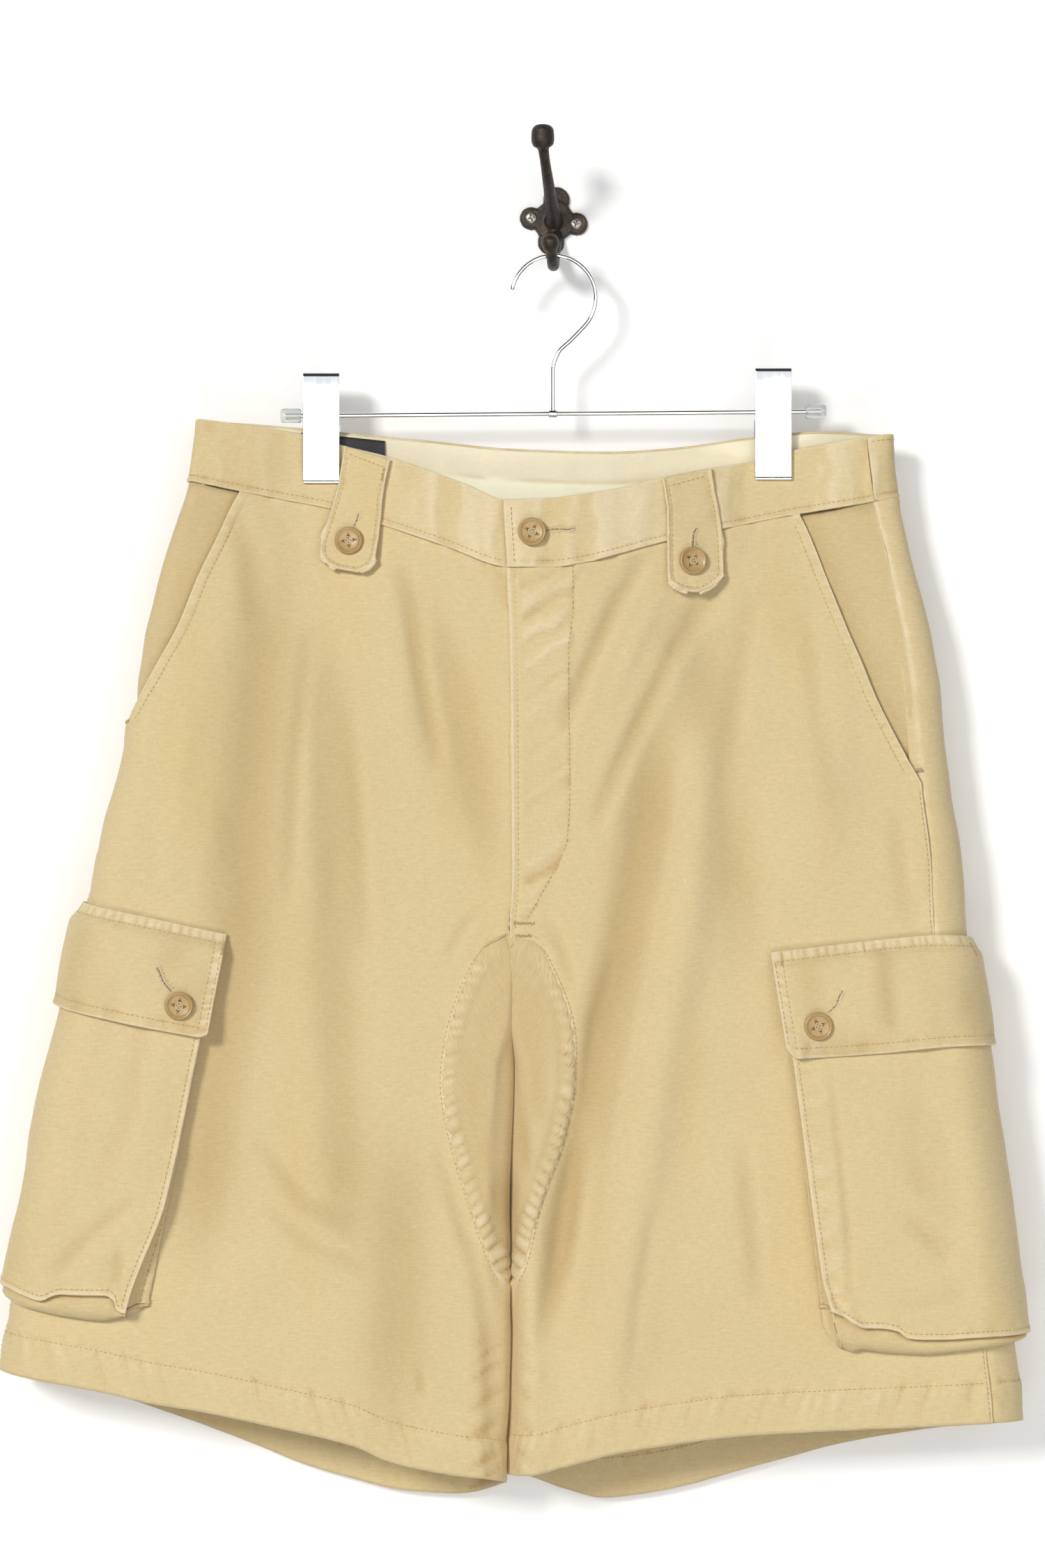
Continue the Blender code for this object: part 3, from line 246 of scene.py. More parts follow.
BUTTONS = {
    "button_waist": ("left", -13.4, -195.5),
    "button_tab_right": ("right", -123.7, -200.2),
    "button_tab_left": ("left", 82.1, -212.6),
    "button_flap_right": ("right", -225.2, -479.9),
    "button_flap_left": ("left", 157.6, -492.3),
}
LABEL_X = (-154, -103.5)  # its two ends
LABEL_DEPTH = 22.0


def smooth(keys, values):
    """A soft curve through a table's rows that never overshoots them, and holds its end values outside."""
    keys, values = np.array(keys, float), np.array(values, float)
    order = np.argsort(keys)
    keys, values = keys[order], values[order]
    step = np.diff(keys)
    rise = np.diff(values) / step
    slope = np.zeros_like(values)
    slope[0], slope[-1] = rise[0], rise[-1]
    product = rise[:-1] * rise[1:]
    together = np.where(product > 0, rise[:-1] + rise[1:], 1)
    slope[1:-1] = np.where(product > 0, 2 * product / together, 0)

    def at(x):
        x = np.clip(x, keys[0], keys[-1])
        i = np.clip(np.searchsorted(keys, x) - 1, 0, len(step) - 1)
        t = (x - keys[i]) / step[i]
        ease = t * t * (3 - 2 * t)
        bend = step[i] * t * (1 - t) * (slope[i] * (1 - t) - slope[i + 1] * t)
        return values[i] + (values[i + 1] - values[i]) * ease + bend

    return at


def ramp(x, low, high):
    """0 before low, 1 after high, and an easy turn between."""
    t = np.clip((np.asarray(x, float) - low) / (high - low), 0, 1)
    return t * t * (3 - 2 * t)


shape = {name: smooth(SHAPE["z"], SHAPE[name]) for name in SHAPE if name != "z"}
middle = smooth(MIDDLE["z"], MIDDLE["x"])
top_front, top_back = smooth(TOP_FRONT["x"], TOP_FRONT["z"]), smooth(TOP_BACK["x"], TOP_BACK["z"])
seam_front, seam_back = smooth(SEAM_FRONT["x"], SEAM_FRONT["z"]), smooth(SEAM_BACK["x"], SEAM_BACK["z"])
fold_lines = [smooth([z for x, z in line], [x for x, z in line]) for _, _, _, line in FOLDS]


def front_to_back(front, back):
    """An edge's height where its front and back heights differ: facing is 1 on the front and -1 on the back."""
    return lambda x, facing: front(x) + (back(x) - front(x)) * (1 - facing) / 2


TOP = front_to_back(top_front, top_back)
BAND_SEAM = front_to_back(seam_front, seam_back)


def folds(face, x, z):
    """How far the large folds move the cloth outwards."""
    out = np.zeros(np.broadcast(x, z).shape)
    for (side, deep, half_width, line), at in zip(FOLDS, fold_lines):
        high, low = line[0][1], line[-1][1]
        fade = ramp(z, low - 30, low + 70) * (1 - ramp(z, high - 70, high + 30))
        out = out + (face == side) * deep * fade * np.exp(-(((x - at(z)) / half_width) ** 2))
    return out


def clip_hold(x, z):
    """1 between a clip's jaws, falling to 0 away from them."""
    held = np.zeros(np.broadcast(x, z).shape)
    for clip_x, _, bottom in CLIPS.values():
        below = ramp(z, bottom - CLIP_REACH, bottom - 6)
        spread = 26 + 0.25 * np.clip(bottom - z, 0, None)
        beside = np.clip(np.abs(x - clip_x) - CLIP_WIDTH / 2, 0, None)
        held = np.maximum(held, below * np.exp(-((beside / spread) ** 2)))
    return held


def waist_bulge(x, z):
    """How far the front of the waist falls open between the clips."""
    low, high = CLIPS["right"][0], CLIPS["left"][0]
    share = np.clip((x - low) / (high - low), 0, 1)
    return WAIST_OPEN * np.sin(math.pi * share) ** 2 * ramp(z, -360, -175)


class Leg:
    """One leg with its half of the body."""

    def __init__(self, side):
        self.side = side
        self.inward = INWARD[side]
        self.outline = smooth(OUTLINE[side]["z"], OUTLINE[side]["x"])
        self.seam = smooth(SIDE_SEAM[side]["z"], SIDE_SEAM[side]["q"])
        self.slant_x = smooth(SLANT[side]["z"], SLANT[side]["x"])
        self.slant_foot = min(SLANT[side]["z"])
        hem_front = smooth(HEM_FRONT[side]["x"], HEM_FRONT[side]["z"])
        self.hem = front_to_back(hem_front, smooth(HEM_BACK[side]["x"], HEM_BACK[side]["z"]))

    def section(self, z):
        """The section's sizes at a height."""
        s = {name: at(z) for name, at in shape.items()}
        s["x_out"] = self.outline(z)
        s["half_depth"] = (s["back"] - s["front"]) / 2
        s["mid"] = (s["back"] + s["front"]) / 2
        s["width"] = self.inward * (middle(z) - s["x_out"]) - s["apart"]
        s["flat"] = s["width"] - s["r_out"] - s["r_in"]
        s["end_out"] = math.pi / 2 * np.sqrt((s["r_out"] ** 2 + s["half_depth"] ** 2) / 2)
        s["end_in"] = math.pi / 2 * np.sqrt((s["r_in"] ** 2 + s["half_depth"] ** 2) / 2)
        s["half"] = s["end_out"] + s["flat"] + s["end_in"]
        return s

    def place(self, q, z):
        """x and the facing (1 on the front, 0 at the edges, -1 on the back), with the section."""
        s = self.section(z)
        walk = np.abs(q)
        face = np.where(q >= 0, 1, -1)
        over = walk > s["half"]
        walk = np.where(over, 2 * s["half"] - walk, walk)
        face = np.where(over, -face, face)
        turn_out = np.clip(walk / s["end_out"], 0, 1) * math.pi / 2
        turn_in = np.clip((walk - s["end_out"] - s["flat"]) / s["end_in"], 0, 1) * math.pi / 2
        across = s["r_out"] * (1 - np.cos(turn_out)) + s["r_in"] * np.sin(turn_in)
        across = across + np.clip(walk - s["end_out"], 0, s["flat"])
        return s["x_out"] + self.inward * across, face * np.sin(turn_out) * np.cos(turn_in), s

    def point(self, q, z):
        """The form's own point, in millimetres."""
        q, z = np.broadcast_arrays(np.asarray(q, float), np.asarray(z, float))
        x, facing, s = self.place(q, z)
        face = np.where(facing >= 0, 1, -1)
        across = 2 * np.clip(self.inward * (x - s["x_out"]) / s["width"], 0, 1) - 1
        deep = s["half_depth"] + s["crown"] * (1 - across**2)
        deep = deep + (PINCH - deep) * clip_hold(x, z)
        deep = deep + np.where(face > 0, waist_bulge(x, z), 0) + folds(face, x, z)
        return np.stack([x, s["mid"] - facing * deep, z], -1)

    def normal(self, q, z, step=0.6):
        """The outward direction."""
        along = self.point(q + step, z) - self.point(q - step, z)
        up = self.point(q, z + step) - self.point(q, z - step)
        n = self.inward * np.cross(along, up)
        return n / np.linalg.norm(n, axis=-1, keepdims=True)

    def out(self, q, z, lift):
        """The form moved outwards by lift, which may differ from place to place."""
        return self.point(q, z) + self.normal(q, z) * np.asarray(lift, float)[..., None]

    def laid(self, q, z, lift):
        """A grid of cloth at a lift: its points, the ways out and its flat cut."""
        return self.out(q, z, lift), self.normal(q, z), (q, z)

    def walk_to(self, x, z, face=1):
        """q at an x on the front (face 1) or back (-1)."""
        s = self.section(z)
        across = self.inward * (x - s["x_out"])
        outer = np.arccos(np.clip(1 - across / s["r_out"], -1, 1)) / (math.pi / 2) * s["end_out"]
        flat = s["end_out"] + across - s["r_out"]
        inner_across = np.clip((across - s["r_out"] - s["flat"]) / s["r_in"], 0, 1)
        inner = s["end_out"] + s["flat"] + np.arcsin(inner_across) / (math.pi / 2) * s["end_in"]
        q = np.where(across < s["r_out"], outer, np.where(across > s["r_out"] + s["flat"], inner, flat))
        return face * q

    def slant(self, z):
        """q of the slant pocket's mouth: it runs into the side seam at its foot."""
        q = self.walk_to(self.slant_x(z), z)
        q = q + (self.seam(z) - q) * ramp(-z, -self.slant_foot - 12, -self.slant_foot + 22)
        return np.where(z < self.slant_foot - 22, self.seam(z), q)


LEGS = {side: Leg(side) for side in INWARD}


def fall_away(q, cargo):
    """How far a place is from the pocket's middle line, rounded off at that line."""
    centre = cargo["front"] - POCKET_WIDTH / 2
    return np.sqrt((q - centre) ** 2 + 15**2) - 15


def cargo_line(cargo, name, q):
    """The height of one of the pocket's lines at a walk q."""
    height, slope = cargo[name]
    return height - slope * fall_away(q, cargo)


def pocket_lift(q, share):
    """How far the pocket's inner face stands from the leg, share of the way down its face."""
    lift_front = smooth(POCKET_LIFT["share"], POCKET_LIFT["front"])(share)
    lift_back = smooth(POCKET_LIFT["share"], POCKET_LIFT["back"])(share)
    return lift_back + (lift_front - lift_back) * ramp(q, -30, 40)


def lengths(points):
    """How far along a line each of its points is."""
    return np.concatenate([[0], np.cumsum(np.linalg.norm(np.diff(points, axis=0), axis=1))])


def read_along(at, run, values):
    """The rows of values at lengths along a line."""
    return np.stack([np.interp(at, run, column) for column in values.T], 1)


def unit(vectors):
    """Vectors at a length of 1."""
    return vectors / np.linalg.norm(vectors, axis=1, keepdims=True)


def aside(line, moved):
    """A flat line moved sideways, to the left of the way that it runs."""
    run = unit(np.gradient(line, axis=0))
    return line + np.stack([-run[:, 1], run[:, 0]], 1) * moved


def turned_to(direction, axis="Z"):
    """The turn that points an axis along a direction."""
    return Vector(direction).to_track_quat(axis, "Y").to_matrix().to_4x4()


def soft_path(points, spacing):
    """Points at an even spacing along a smooth curve through a few."""
    points = np.array(points, float)
    run = lengths(points)
    curves = [smooth(run, points[:, i]) for i in range(points.shape[1])]
    even = np.linspace(0, run[-1], max(2, round(run[-1] / spacing) + 1))
    return np.stack([curve(even) for curve in curves], 1)


def tube(path, radii, sides):
    """A bmesh of round section along a path, with a radius for each of its points."""
    path = [Vector(p) for p in path]
    ahead = [(b - a).normalized() for a, b in zip(path, path[1:])]
    facing = [ahead[0], *((a + b).normalized() for a, b in zip(ahead, ahead[1:])), ahead[-1]]
    bm = bmesh.new()
    start = Matrix.Translation(path[0]) @ turned_to(facing[0])
    made = bmesh.ops.create_circle(bm, cap_ends=False, segments=sides, radius=radii[0], matrix=start)
    edges = list({edge for vert in made["verts"] for edge in vert.link_edges})
    for i in range(1, len(path)):
        new = bmesh.ops.extrude_edge_only(bm, edges=edges)["geom"]
        verts = [g for g in new if isinstance(g, bmesh.types.BMVert)]
        edges = [g for g in new if isinstance(g, bmesh.types.BMEdge)]
        turn = facing[i - 1].rotation_difference(facing[i]).to_matrix()
        for vert in verts:
            vert.co = path[i] + turn @ (vert.co - path[i - 1]) * (radii[i] / radii[i - 1])
    bmesh.ops.holes_fill(bm, edges=bm.edges[:], sides=sides)
    return bm


# Fine creases: leg, face (1 front, -1 back), depth (negative sinks in), half width, and the line they follow.
CREASES = (
    ("right", 1, -1.6, 5, ((-150, -250), (-158, -330), (-163, -420))),
    ("right", 1, -2.2, 5, ((-95, -213), (-88, -242), (-80, -290), (-70, -338))),
    ("right", 1, 1.2, 7, ((-104, -230), (-92, -300), (-80, -370))),
    ("right", 1, -1.5, 5, ((-37, -212), (-31, -228), (-28, -246))),
    ("right", 1, -1.4, 7, ((-196, -182), (-186, -205), (-182, -250))),
    ("right", 1, -1.2, 6, ((-232, -300), (-240, -360), (-246, -410))),
    ("right", 1, -1.3, 6, ((-180, -560), (-150, -600), (-118, -612))),
    ("right", 1, -1.0, 5, ((-175, -600), (-150, -622), (-112, -640))),
    ("right", 1, -2.0, 5, ((-72, -560), (-60, -600), (-46, -636), (-40, -690), (-40, -740))),
    ("right", 1, 1.5, 6, ((-62, -560), (-50, -596), (-38, -630), (-33, -660))),
    ("right", 1, -1.6, 2.4, ((-81.5, -697), (-80.5, -706), (-80, -715))),
    ("right", 1, -1.2, 6, ((-128, -300), (-120, -370), (-116, -450))),
    ("right", 1, -1.3, 4, ((-44, -420), (-58, -436), (-66, -456))),
    ("left", 1, -1.7, 6, ((12, -560), (4, -620), (-10, -690))),
    ("left", 1, 1.5, 6, ((24, -540), (16, -610), (4, -680))),
    ("left", 1, -2.3, 5, ((56, -208), (38, -236), (20, -276), (4, -316))),
    ("left", 1, -2.2, 5, ((76, -256), (60, -290), (38, -336), (22, -376))),
    ("left", 1, -1.4, 6, ((104, -222), (84, -246), (70, -270))),
    ("left", 1, 1.4, 6, ((66, -228), (48, -262), (28, -306))),
    ("left", 1, -1.2, 7, ((120, -230), (106, -300), (96, -370))),
    ("left", 1, -1.4, 6, ((36, -450), (22, -500), (14, -545))),
    ("left", 1, -1.1, 5, ((60, -600), (50, -660), (44, -710))),
    ("left", 1, -1.5, 6, ((112, -560), (116, -600), (122, -660))),
    ("left", 1, -1.3, 5, ((-8, -425), (4, -446), (10, -470))),
    ("left", 1, -1.2, 7, ((150, -240), (160, -290), (166, -350))),
    ("left", 1, 1.2, 9, ((215, -300), (222, -360), (226, -420))),
    ("left", 1, -1.0, 6, ((205, -360), (208, -400), (214, -432))),
    ("right", -1, -1.5, 6, ((-150, -240), (-132, -330), (-120, -420))),
    ("right", -1, 1.3, 7, ((-90, -230), (-84, -330), (-92, -430))),
    ("right", -1, -1.4, 6, ((-60, -470), (-96, -500), (-150, -505))),
    ("right", -1, -1.2, 6, ((-70, -520), (-110, -545), (-160, -550))),
    ("left", -1, -1.5, 6, ((60, -240), (76, -330), (70, -420))),
    ("left", -1, 1.3, 7, ((120, -230), (112, -330), (124, -430))),
    ("left", -1, -1.4, 6, ((10, -470), (50, -498), (110, -500))),
    ("left", -1, -1.2, 6, ((20, -520), (60, -545), (112, -552))),
)


def along_line(u, v, line):
    """How far places are from a line of points, how far along it their nearest point is, which side of it they are
    on, and its length."""
    line = np.array(line, float)
    start, run = line[:-1], np.diff(line, axis=0)
    length = np.hypot(run[:, 0], run[:, 1])
    before = np.concatenate([[0], np.cumsum(length)[:-1]])
    du, dv = np.asarray(u)[..., None] - start[:, 0], np.asarray(v)[..., None] - start[:, 1]
    share = np.clip((du * run[:, 0] + dv * run[:, 1]) / length**2, 0, 1)
    away = np.hypot(du - share * run[:, 0], dv - share * run[:, 1])
    best = away.argmin(-1)[..., None]
    side = np.sign(run[:, 0] * dv - run[:, 1] * du)
    near, at, side = (
        np.take_along_axis(m, best, -1)[..., 0] for m in (away, before + share * length, side)
    )
    return near, at, side, length.sum()


def wander(s, pitch, seed):
    """Soft uneven waves from -1 to 1 along a length, about two lattice steps of pitch to a wave."""
    heights = np.random.default_rng(seed).uniform(-1, 1, 512)
    t = np.asarray(s, float) / pitch + 512
    i = np.floor(t).astype(int)
    f = t - i
    f = f * f * (3 - 2 * f)
    return heights[i % 512] * (1 - f) + heights[(i + 1) % 512] * f


def rumple(u, v, pitch, seed):
    """Soft uneven waves from -1 to 1 over a face."""
    heights = np.random.default_rng(seed).uniform(-1, 1, (64, 64))
    a, b = np.asarray(u, float) / pitch + 640, np.asarray(v, float) / pitch + 640
    i, j = np.floor(a).astype(int), np.floor(b).astype(int)
    f, g = a - i, b - j
    f, g = f * f * (3 - 2 * f), g * g * (3 - 2 * g)
    low = heights[i % 64, j % 64] * (1 - f) + heights[(i + 1) % 64, j % 64] * f
    high = heights[i % 64, (j + 1) % 64] * (1 - f) + heights[(i + 1) % 64, (j + 1) % 64] * f
    return low * (1 - g) + high * g


def bell(distance, half_width):
    """1 at no distance, fading softly."""
    return np.exp(-((np.asarray(distance, float) / half_width) ** 2))


def one_crease(u, v, deep, half_width, line, rim, beside):
    """A crease that fades at both ends, with the rim that the cloth raises beside it: the rim's share of the depth,
    and how many half widths away it lies."""
    away, at, way, total = along_line(u, v, line)
    fade = np.sqrt(np.sin(math.pi * np.clip(at / total, 0, 1)))
    return deep * fade * (bell(away, half_width) - rim * bell(away * way - beside * half_width, half_width))


def creases(side, face, x, z):
    """The fine creases of one leg's face."""
    out = np.zeros(np.broadcast(x, z).shape)
    for leg, on, deep, half_width, line in CREASES:
        if leg == side and on == face:
            out += one_crease(x, z, deep, half_width, line, 0.35, 1.9)
    return out


def pucker(along, across, reach, pitch, seed, lean=0.3):
    """Gathers square to a line of thread: their height at most 1, and less away from it."""
    waves = 0.65 * wander(along + lean * across, pitch * 0.5, seed) + 0.35 * wander(along, pitch * 0.27, seed + 1)
    return waves * bell(across, reach)


def gathers(along, pitch, seed):
    """Rounded gathers with sharp valleys between them, uneven in width and height, from about -1 to 1."""
    t = np.asarray(along, float) / pitch + 0.5 * wander(along, pitch * 1.7, seed)
    height = np.random.default_rng(seed + 1).uniform(0.6, 1.0, 512)[np.floor(t).astype(int) % 512]
    return height * (1.7 * np.sqrt(np.abs(np.sin(math.pi * t))) - 0.9)


def edge_drop(distance, radius):
    """How far a turned edge rounds away from the face, by its distance from the edge."""
    d = np.clip(1 - np.asarray(distance, float) / radius, 0, 1)
    return radius * (1 - np.sqrt(1 - d * d))


def spaced(start, stop, step=STEP, edges=(0.0, 0.35, 0.9, 1.7)):
    """Even places from start to stop, closer together at both ends."""
    way = 1 if stop > start else -1
    reach = abs(stop - start)
    middle_run = np.linspace(edges[-1], reach - edges[-1], max(2, round((reach - 2 * edges[-1]) / step)))
    run = np.concatenate([edges[:-1], middle_run, [reach - e for e in edges[-2::-1]]])
    return start + way * run


def fresh(name, bm):
    """A new object from a bmesh in metres."""
    mesh = bpy.data.meshes.new(name)
    bm.to_mesh(mesh)
    bm.free()
    mesh.shade_smooth()
    made = bpy.data.objects.new(name, mesh)
    bpy.context.scene.collection.objects.link(made)
    return made


def hold(made, finish_name, nodes=()):
    """Gives a piece its finish and sets it on the part in place of the solids it finishes."""
    if finish_name:
        made.data.materials.append(FINISHES[finish_name]())
    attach(made, "root")
    if nodes:
        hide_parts(*nodes)
    return made


def cloth(node, points, normals, cut, thick=CLOTH, finish_name="cloth", **fields):
    """The piece of cloth that finishes a node, from a grid of points in millimetres: cut is its flat (u, v) grid, and
    fields are named numbers over it that the finish reads."""
    rows, columns = points.shape[:2]
    bm = bmesh.new()
    bmesh.ops.create_grid(bm, x_segments=columns - 1, y_segments=rows - 1, size=1)
    made = fresh(f"{node}_cloth", bm)
    mesh = made.data
    mesh.vertices.foreach_set("co", (points * MM).reshape(-1))
    corner = np.empty(len(mesh.loops), int)
    mesh.loops.foreach_get("vertex_index", corner)
    flat = np.stack([np.broadcast_to(c, (rows, columns)) for c in cut], -1).reshape(-1, 2) * MM
    mesh.uv_layers.new(name="cut").data.foreach_set("uv", flat[corner].reshape(-1))
    for field, values in fields.items():
        values = np.broadcast_to(values, (rows, columns)).astype(np.float32)
        mesh.attributes.new(field, "FLOAT", "POINT").data.foreach_set("value", values.reshape(-1))
    mesh.update()
    i, j = rows // 2, columns // 2
    face = np.array(mesh.polygons[i * (columns - 1) + j].normal)
    if face @ normals[i, j] < 0:
        mesh.flip_normals()
    wall = made.modifiers.new("wall", "SOLIDIFY")
    wall.thickness = thick * MM
    wall.offset = -1
    wall.use_rim = True
    hold(made, finish_name, (node,))


def shade(face, x, z, fine=0.0):
    """How much painted shade the cloth gets in the hollows of its large folds and fine creases, from 0 to 1."""
    return np.clip(-(folds(face, x, z) * 0.2 + fine * 0.3), 0, 1)


def stitches(name, runs, pitch, length, radius, across=False, finish_name="thread", uneven=0.1):
    """Rows of stitches along runs of (points, ways out), each a slim bead half sunk in the cloth."""
    chance = np.random.default_rng(len(runs))
    near, never_zero = 0.4, 1e-9
    base = bmesh.new()
    bmesh.ops.create_icosphere(base, subdivisions=1, radius=1)
    bead_mesh = bpy.data.meshes.new("bead")
    base.to_mesh(bead_mesh)
    base.free()
    shape_of_bead = np.array([v.co for v in bead_mesh.vertices])
    bm = bmesh.new()
    places = []
    for points, ways in runs:
        run = lengths(points)
        at = np.arange(pitch / 2, run[-1], pitch)
        centre, out = read_along(at, run, points), read_along(at, run, ways)
        along = read_along(at + near, run, points) - read_along(at - near, run, points)
        along /= np.linalg.norm(along, axis=1, keepdims=True) + never_zero
        side = np.cross(out, along)
        side /= np.linalg.norm(side, axis=1, keepdims=True) + never_zero
        if across:
            along, side = side, along
        off, longer = chance.normal(0, uneven, (2, len(centre), 1))
        centre = centre + along * off * length * 0.5
        along = along * (1 + longer)
        bead = (
            centre[:, None]
            + shape_of_bead[None, :, 0:1] * (length / 2) * along[:, None]
            + shape_of_bead[None, :, 1:2] * radius * side[:, None]
            + shape_of_bead[None, :, 2:3] * radius * out[:, None]
        )
        places.append(bead.reshape(-1, 3))
        for _ in range(len(centre)):
            bm.from_mesh(bead_mesh)
    bpy.data.meshes.remove(bead_mesh)
    made = fresh(name, bm)
    made.data.vertices.foreach_set("co", (np.concatenate(places) * MM).reshape(-1))
    made.data.update()
    return hold(made, finish_name)


def colour(name, default, about):
    """A colour that a user may change."""
    linear = [((c / 255 + 0.055) / 1.055) ** 2.4 for c in default]
    return FloatVectorProperty(name=name, description=about, subtype="COLOR", size=3, min=0, max=1, default=linear)


class ShortsColours(bpy.types.PropertyGroup):
    """The colours of the cloth, thread, buttons and metal."""

    cloth: colour("Cloth", (219, 198, 150), "Plain woven cotton where it lies flat")
    # Painted shade: the colour that folds, creases, hollows and cloth lying under other pieces are tinted towards;
    # random patches of darker tone use it too.
    trough: colour("Trough", (194, 169, 119), "The cloth where it sinks between folds")
    # Pale rubbed seams, and also a painted highlight on the ridges of gathers and folds; the pale thread uses it as
    # well.
    rubbed_and_highlight: colour("Worn edge", (233, 215, 178), "The cloth rubbed pale along its seams")
    # Painted shade in the valleys of gathers and in the grooves at stitch lines; the thread's twist and the buttons'
    # clouds use it too.
    tan: colour("Tan", (194, 161, 106), "The cloth in the gathers of a seam")
    facing: colour("Facing", (245, 236, 205), "The smooth facing inside the waist")
    lining: colour("Lining", (255, 252, 224), "The thin lining under the facing")
    thread: colour("Thread", (193, 163, 112), "Sewing thread")
    button: colour("Button", (177, 146, 92), "Horn-coloured buttons")
    label: colour("Label", (16, 16, 18), "The plain woven label")
    iron: colour("Iron", (44, 37, 31), "The cast hook")
    bronze: colour("Bronze", (118, 96, 72), "The hook where it is rubbed bright")


def length(name, default, low, high, about):
    """A length that a user may change."""
    return FloatProperty(name=name, description=about, default=default, min=low, max=high, unit="LENGTH")


def strength(name, about):
    """How strong some of the finer work is: 1 as built, 0 without it."""
    return FloatProperty(name=name, description=about, default=1.0, min=0, max=2, subtype="FACTOR")


class ShortsSizes(bpy.types.PropertyGroup):
    """The sizes of the finer work."""

    stitch: length("Stitch", 0.0031, 0.001, 0.01, "From one stitch to the next")
    thread: length("Thread", 0.00033, 0.0001, 0.001, "Half the thickness of a stitch")
    gather: strength("Gather", "How far the cloth puckers beside a seam")
    crease: strength("Crease", "How deep the fine creases are")


def operators(kind):
    """An overloaded operator and its mirrored form, each of which adds a maths node."""

    def forward(self, other):
        return self.sum(kind, self, other)

    def mirrored(self, other):
        return self.sum(kind, other, self)

    return forward, mirrored


class Wire:
    """A shader socket that works in sums, as a number would."""

    def __init__(self, finish, socket):
        self.finish, self.socket = finish, socket

    def sum(self, kind, *others):
        """A maths node of wires and numbers."""
        return self.finish.wire("Math", {"operation": kind}, dict(enumerate(others)))

    __add__, __radd__ = operators("ADD")
    __sub__, __rsub__ = operators("SUBTRACT")
    __mul__, __rmul__ = operators("MULTIPLY")

    def held(self, low=0.0, high=1.0):
        """Kept between two numbers."""
        return self.sum("MINIMUM", self.sum("MAXIMUM", self, low), high)

    def over(self, low, high):
        """0 below low and 1 above high."""
        settings = {"interpolation_type": "SMOOTHSTEP", "clamp": True}
        return self.finish.wire("MapRange", settings, {"Value": self, "From Min": low, "From Max": high})


class Finish:
    """One material and its nodes."""

    def __init__(self, name):
        self.material = bpy.data.materials.new(name)
        self.material.use_nodes = True
        self.tree = self.material.node_tree
        self.shader = self.tree.nodes["Principled BSDF"]

    def wire(self, kind, settings=None, sockets=None, out=0):
        """A node of a kind, its settings set first, then the values or links of its sockets: gives its output."""
        node = self.tree.nodes.new("ShaderNode" + kind)
        for name, value in (settings or {}).items():
            setattr(node, name, value)
        for name, value in (sockets or {}).items():
            self.put(node.inputs[name], value)
        return Wire(self, node.outputs[out])

    def put(self, socket, value):
        """Links a wire to a socket, or sets its number or colour."""
        if isinstance(value, Wire):
            self.tree.links.new(value.socket, socket)
        elif hasattr(value, "__len__") and socket.type == "RGBA":
            socket.default_value = (*value[:3], 1)
        else:
            socket.default_value = value

    def shader_gets(self, **values):
        """Sets the shader's sockets, underscores standing for spaces."""
        for name, value in values.items():
            self.put(self.shader.inputs[name.replace("_", " ")], value)
        return self.material

    def field(self, name):
        """A named number that the piece carries over its surface."""
        return self.wire("Attribute", {"attribute_name": name}, out="Fac")

    def spread(self, source, scale):
        """Coordinates, stretched."""
        return self.wire("VectorMath", {"operation": "MULTIPLY"}, {0: source, 1: scale})

    def noise(self, source, scale, detail=2.0, rough=0.5):
        """Soft noise from 0 to 1."""
        return self.wire("TexNoise", {}, {"Vector": source, "Scale": scale, "Detail": detail, "Roughness": rough})

    def blend(self, how, amount, first, second):
        """One colour over another: a mix node's colours are its sockets 6 and 7, and its output 2."""
        return self.wire("Mix", {"data_type": "RGBA", "blend_type": how}, {0: amount, 6: first, 7: second}, out=2)

    def toned(self, base, tone):
        """A colour made lighter or darker by a number."""
        grey = self.wire("CombineColor", {}, {0: tone, 1: tone, 2: tone})
        return self.blend("MULTIPLY", 1.0, base, grey)

    def place(self):
        """Where on the object a point is."""
        return self.wire("TexCoord", out="Object")

    def cut(self):
        """Where on the flat cut a point is."""
        return self.wire("UVMap", {"uv_map": "cut"})

    def one_sided(self):
        """1 from a face's own side and 0 from behind it."""
        return 1.0 - self.wire("NewGeometry", out="Backfacing")

    def bumped(self, height, deep):
        """The way out, roughened by a height."""
        return self.wire("Bump", {}, {"Height": height, "Distance": deep, "Strength": 1.0}, out="Normal")


def colours():
    """The colours as the user has set them."""
    return bpy.context.scene.shorts_colours


def once(make):
    """Makes a finish the first time and hands out the same one after that."""
    made = []

    def again():
        if not made:
            made.append(make())
        return made[0]

    return again


def woven(finish, cut):
    """Plain weave with thick places in the threads that run across: its height, and how light the thread lies."""
    slub = finish.noise(finish.spread(cut, (150.0, 1250.0, 1.0)), 1.0, 3.0, 0.6)
    long_slub = finish.noise(finish.spread(cut, (70.0, 900.0, 1.0)), 1.0, 1.0, 0.5)
    warp = finish.noise(finish.spread(cut, (1300.0, 260.0, 1.0)), 1.0, 2.0, 0.6)
    thick = long_slub.over(0.62, 0.72)
    cloud = finish.noise(finish.spread(cut, (240.0, 520.0, 1.0)), 1.0, 2.0, 0.6)
    height = slub * 0.5 + warp * 0.35 + thick * 0.18
    light = (slub - 0.5) * 0.26 + (warp - 0.5) * 0.2 + (cloud - 0.5) * 0.18 + thick * 0.06
    return height, light


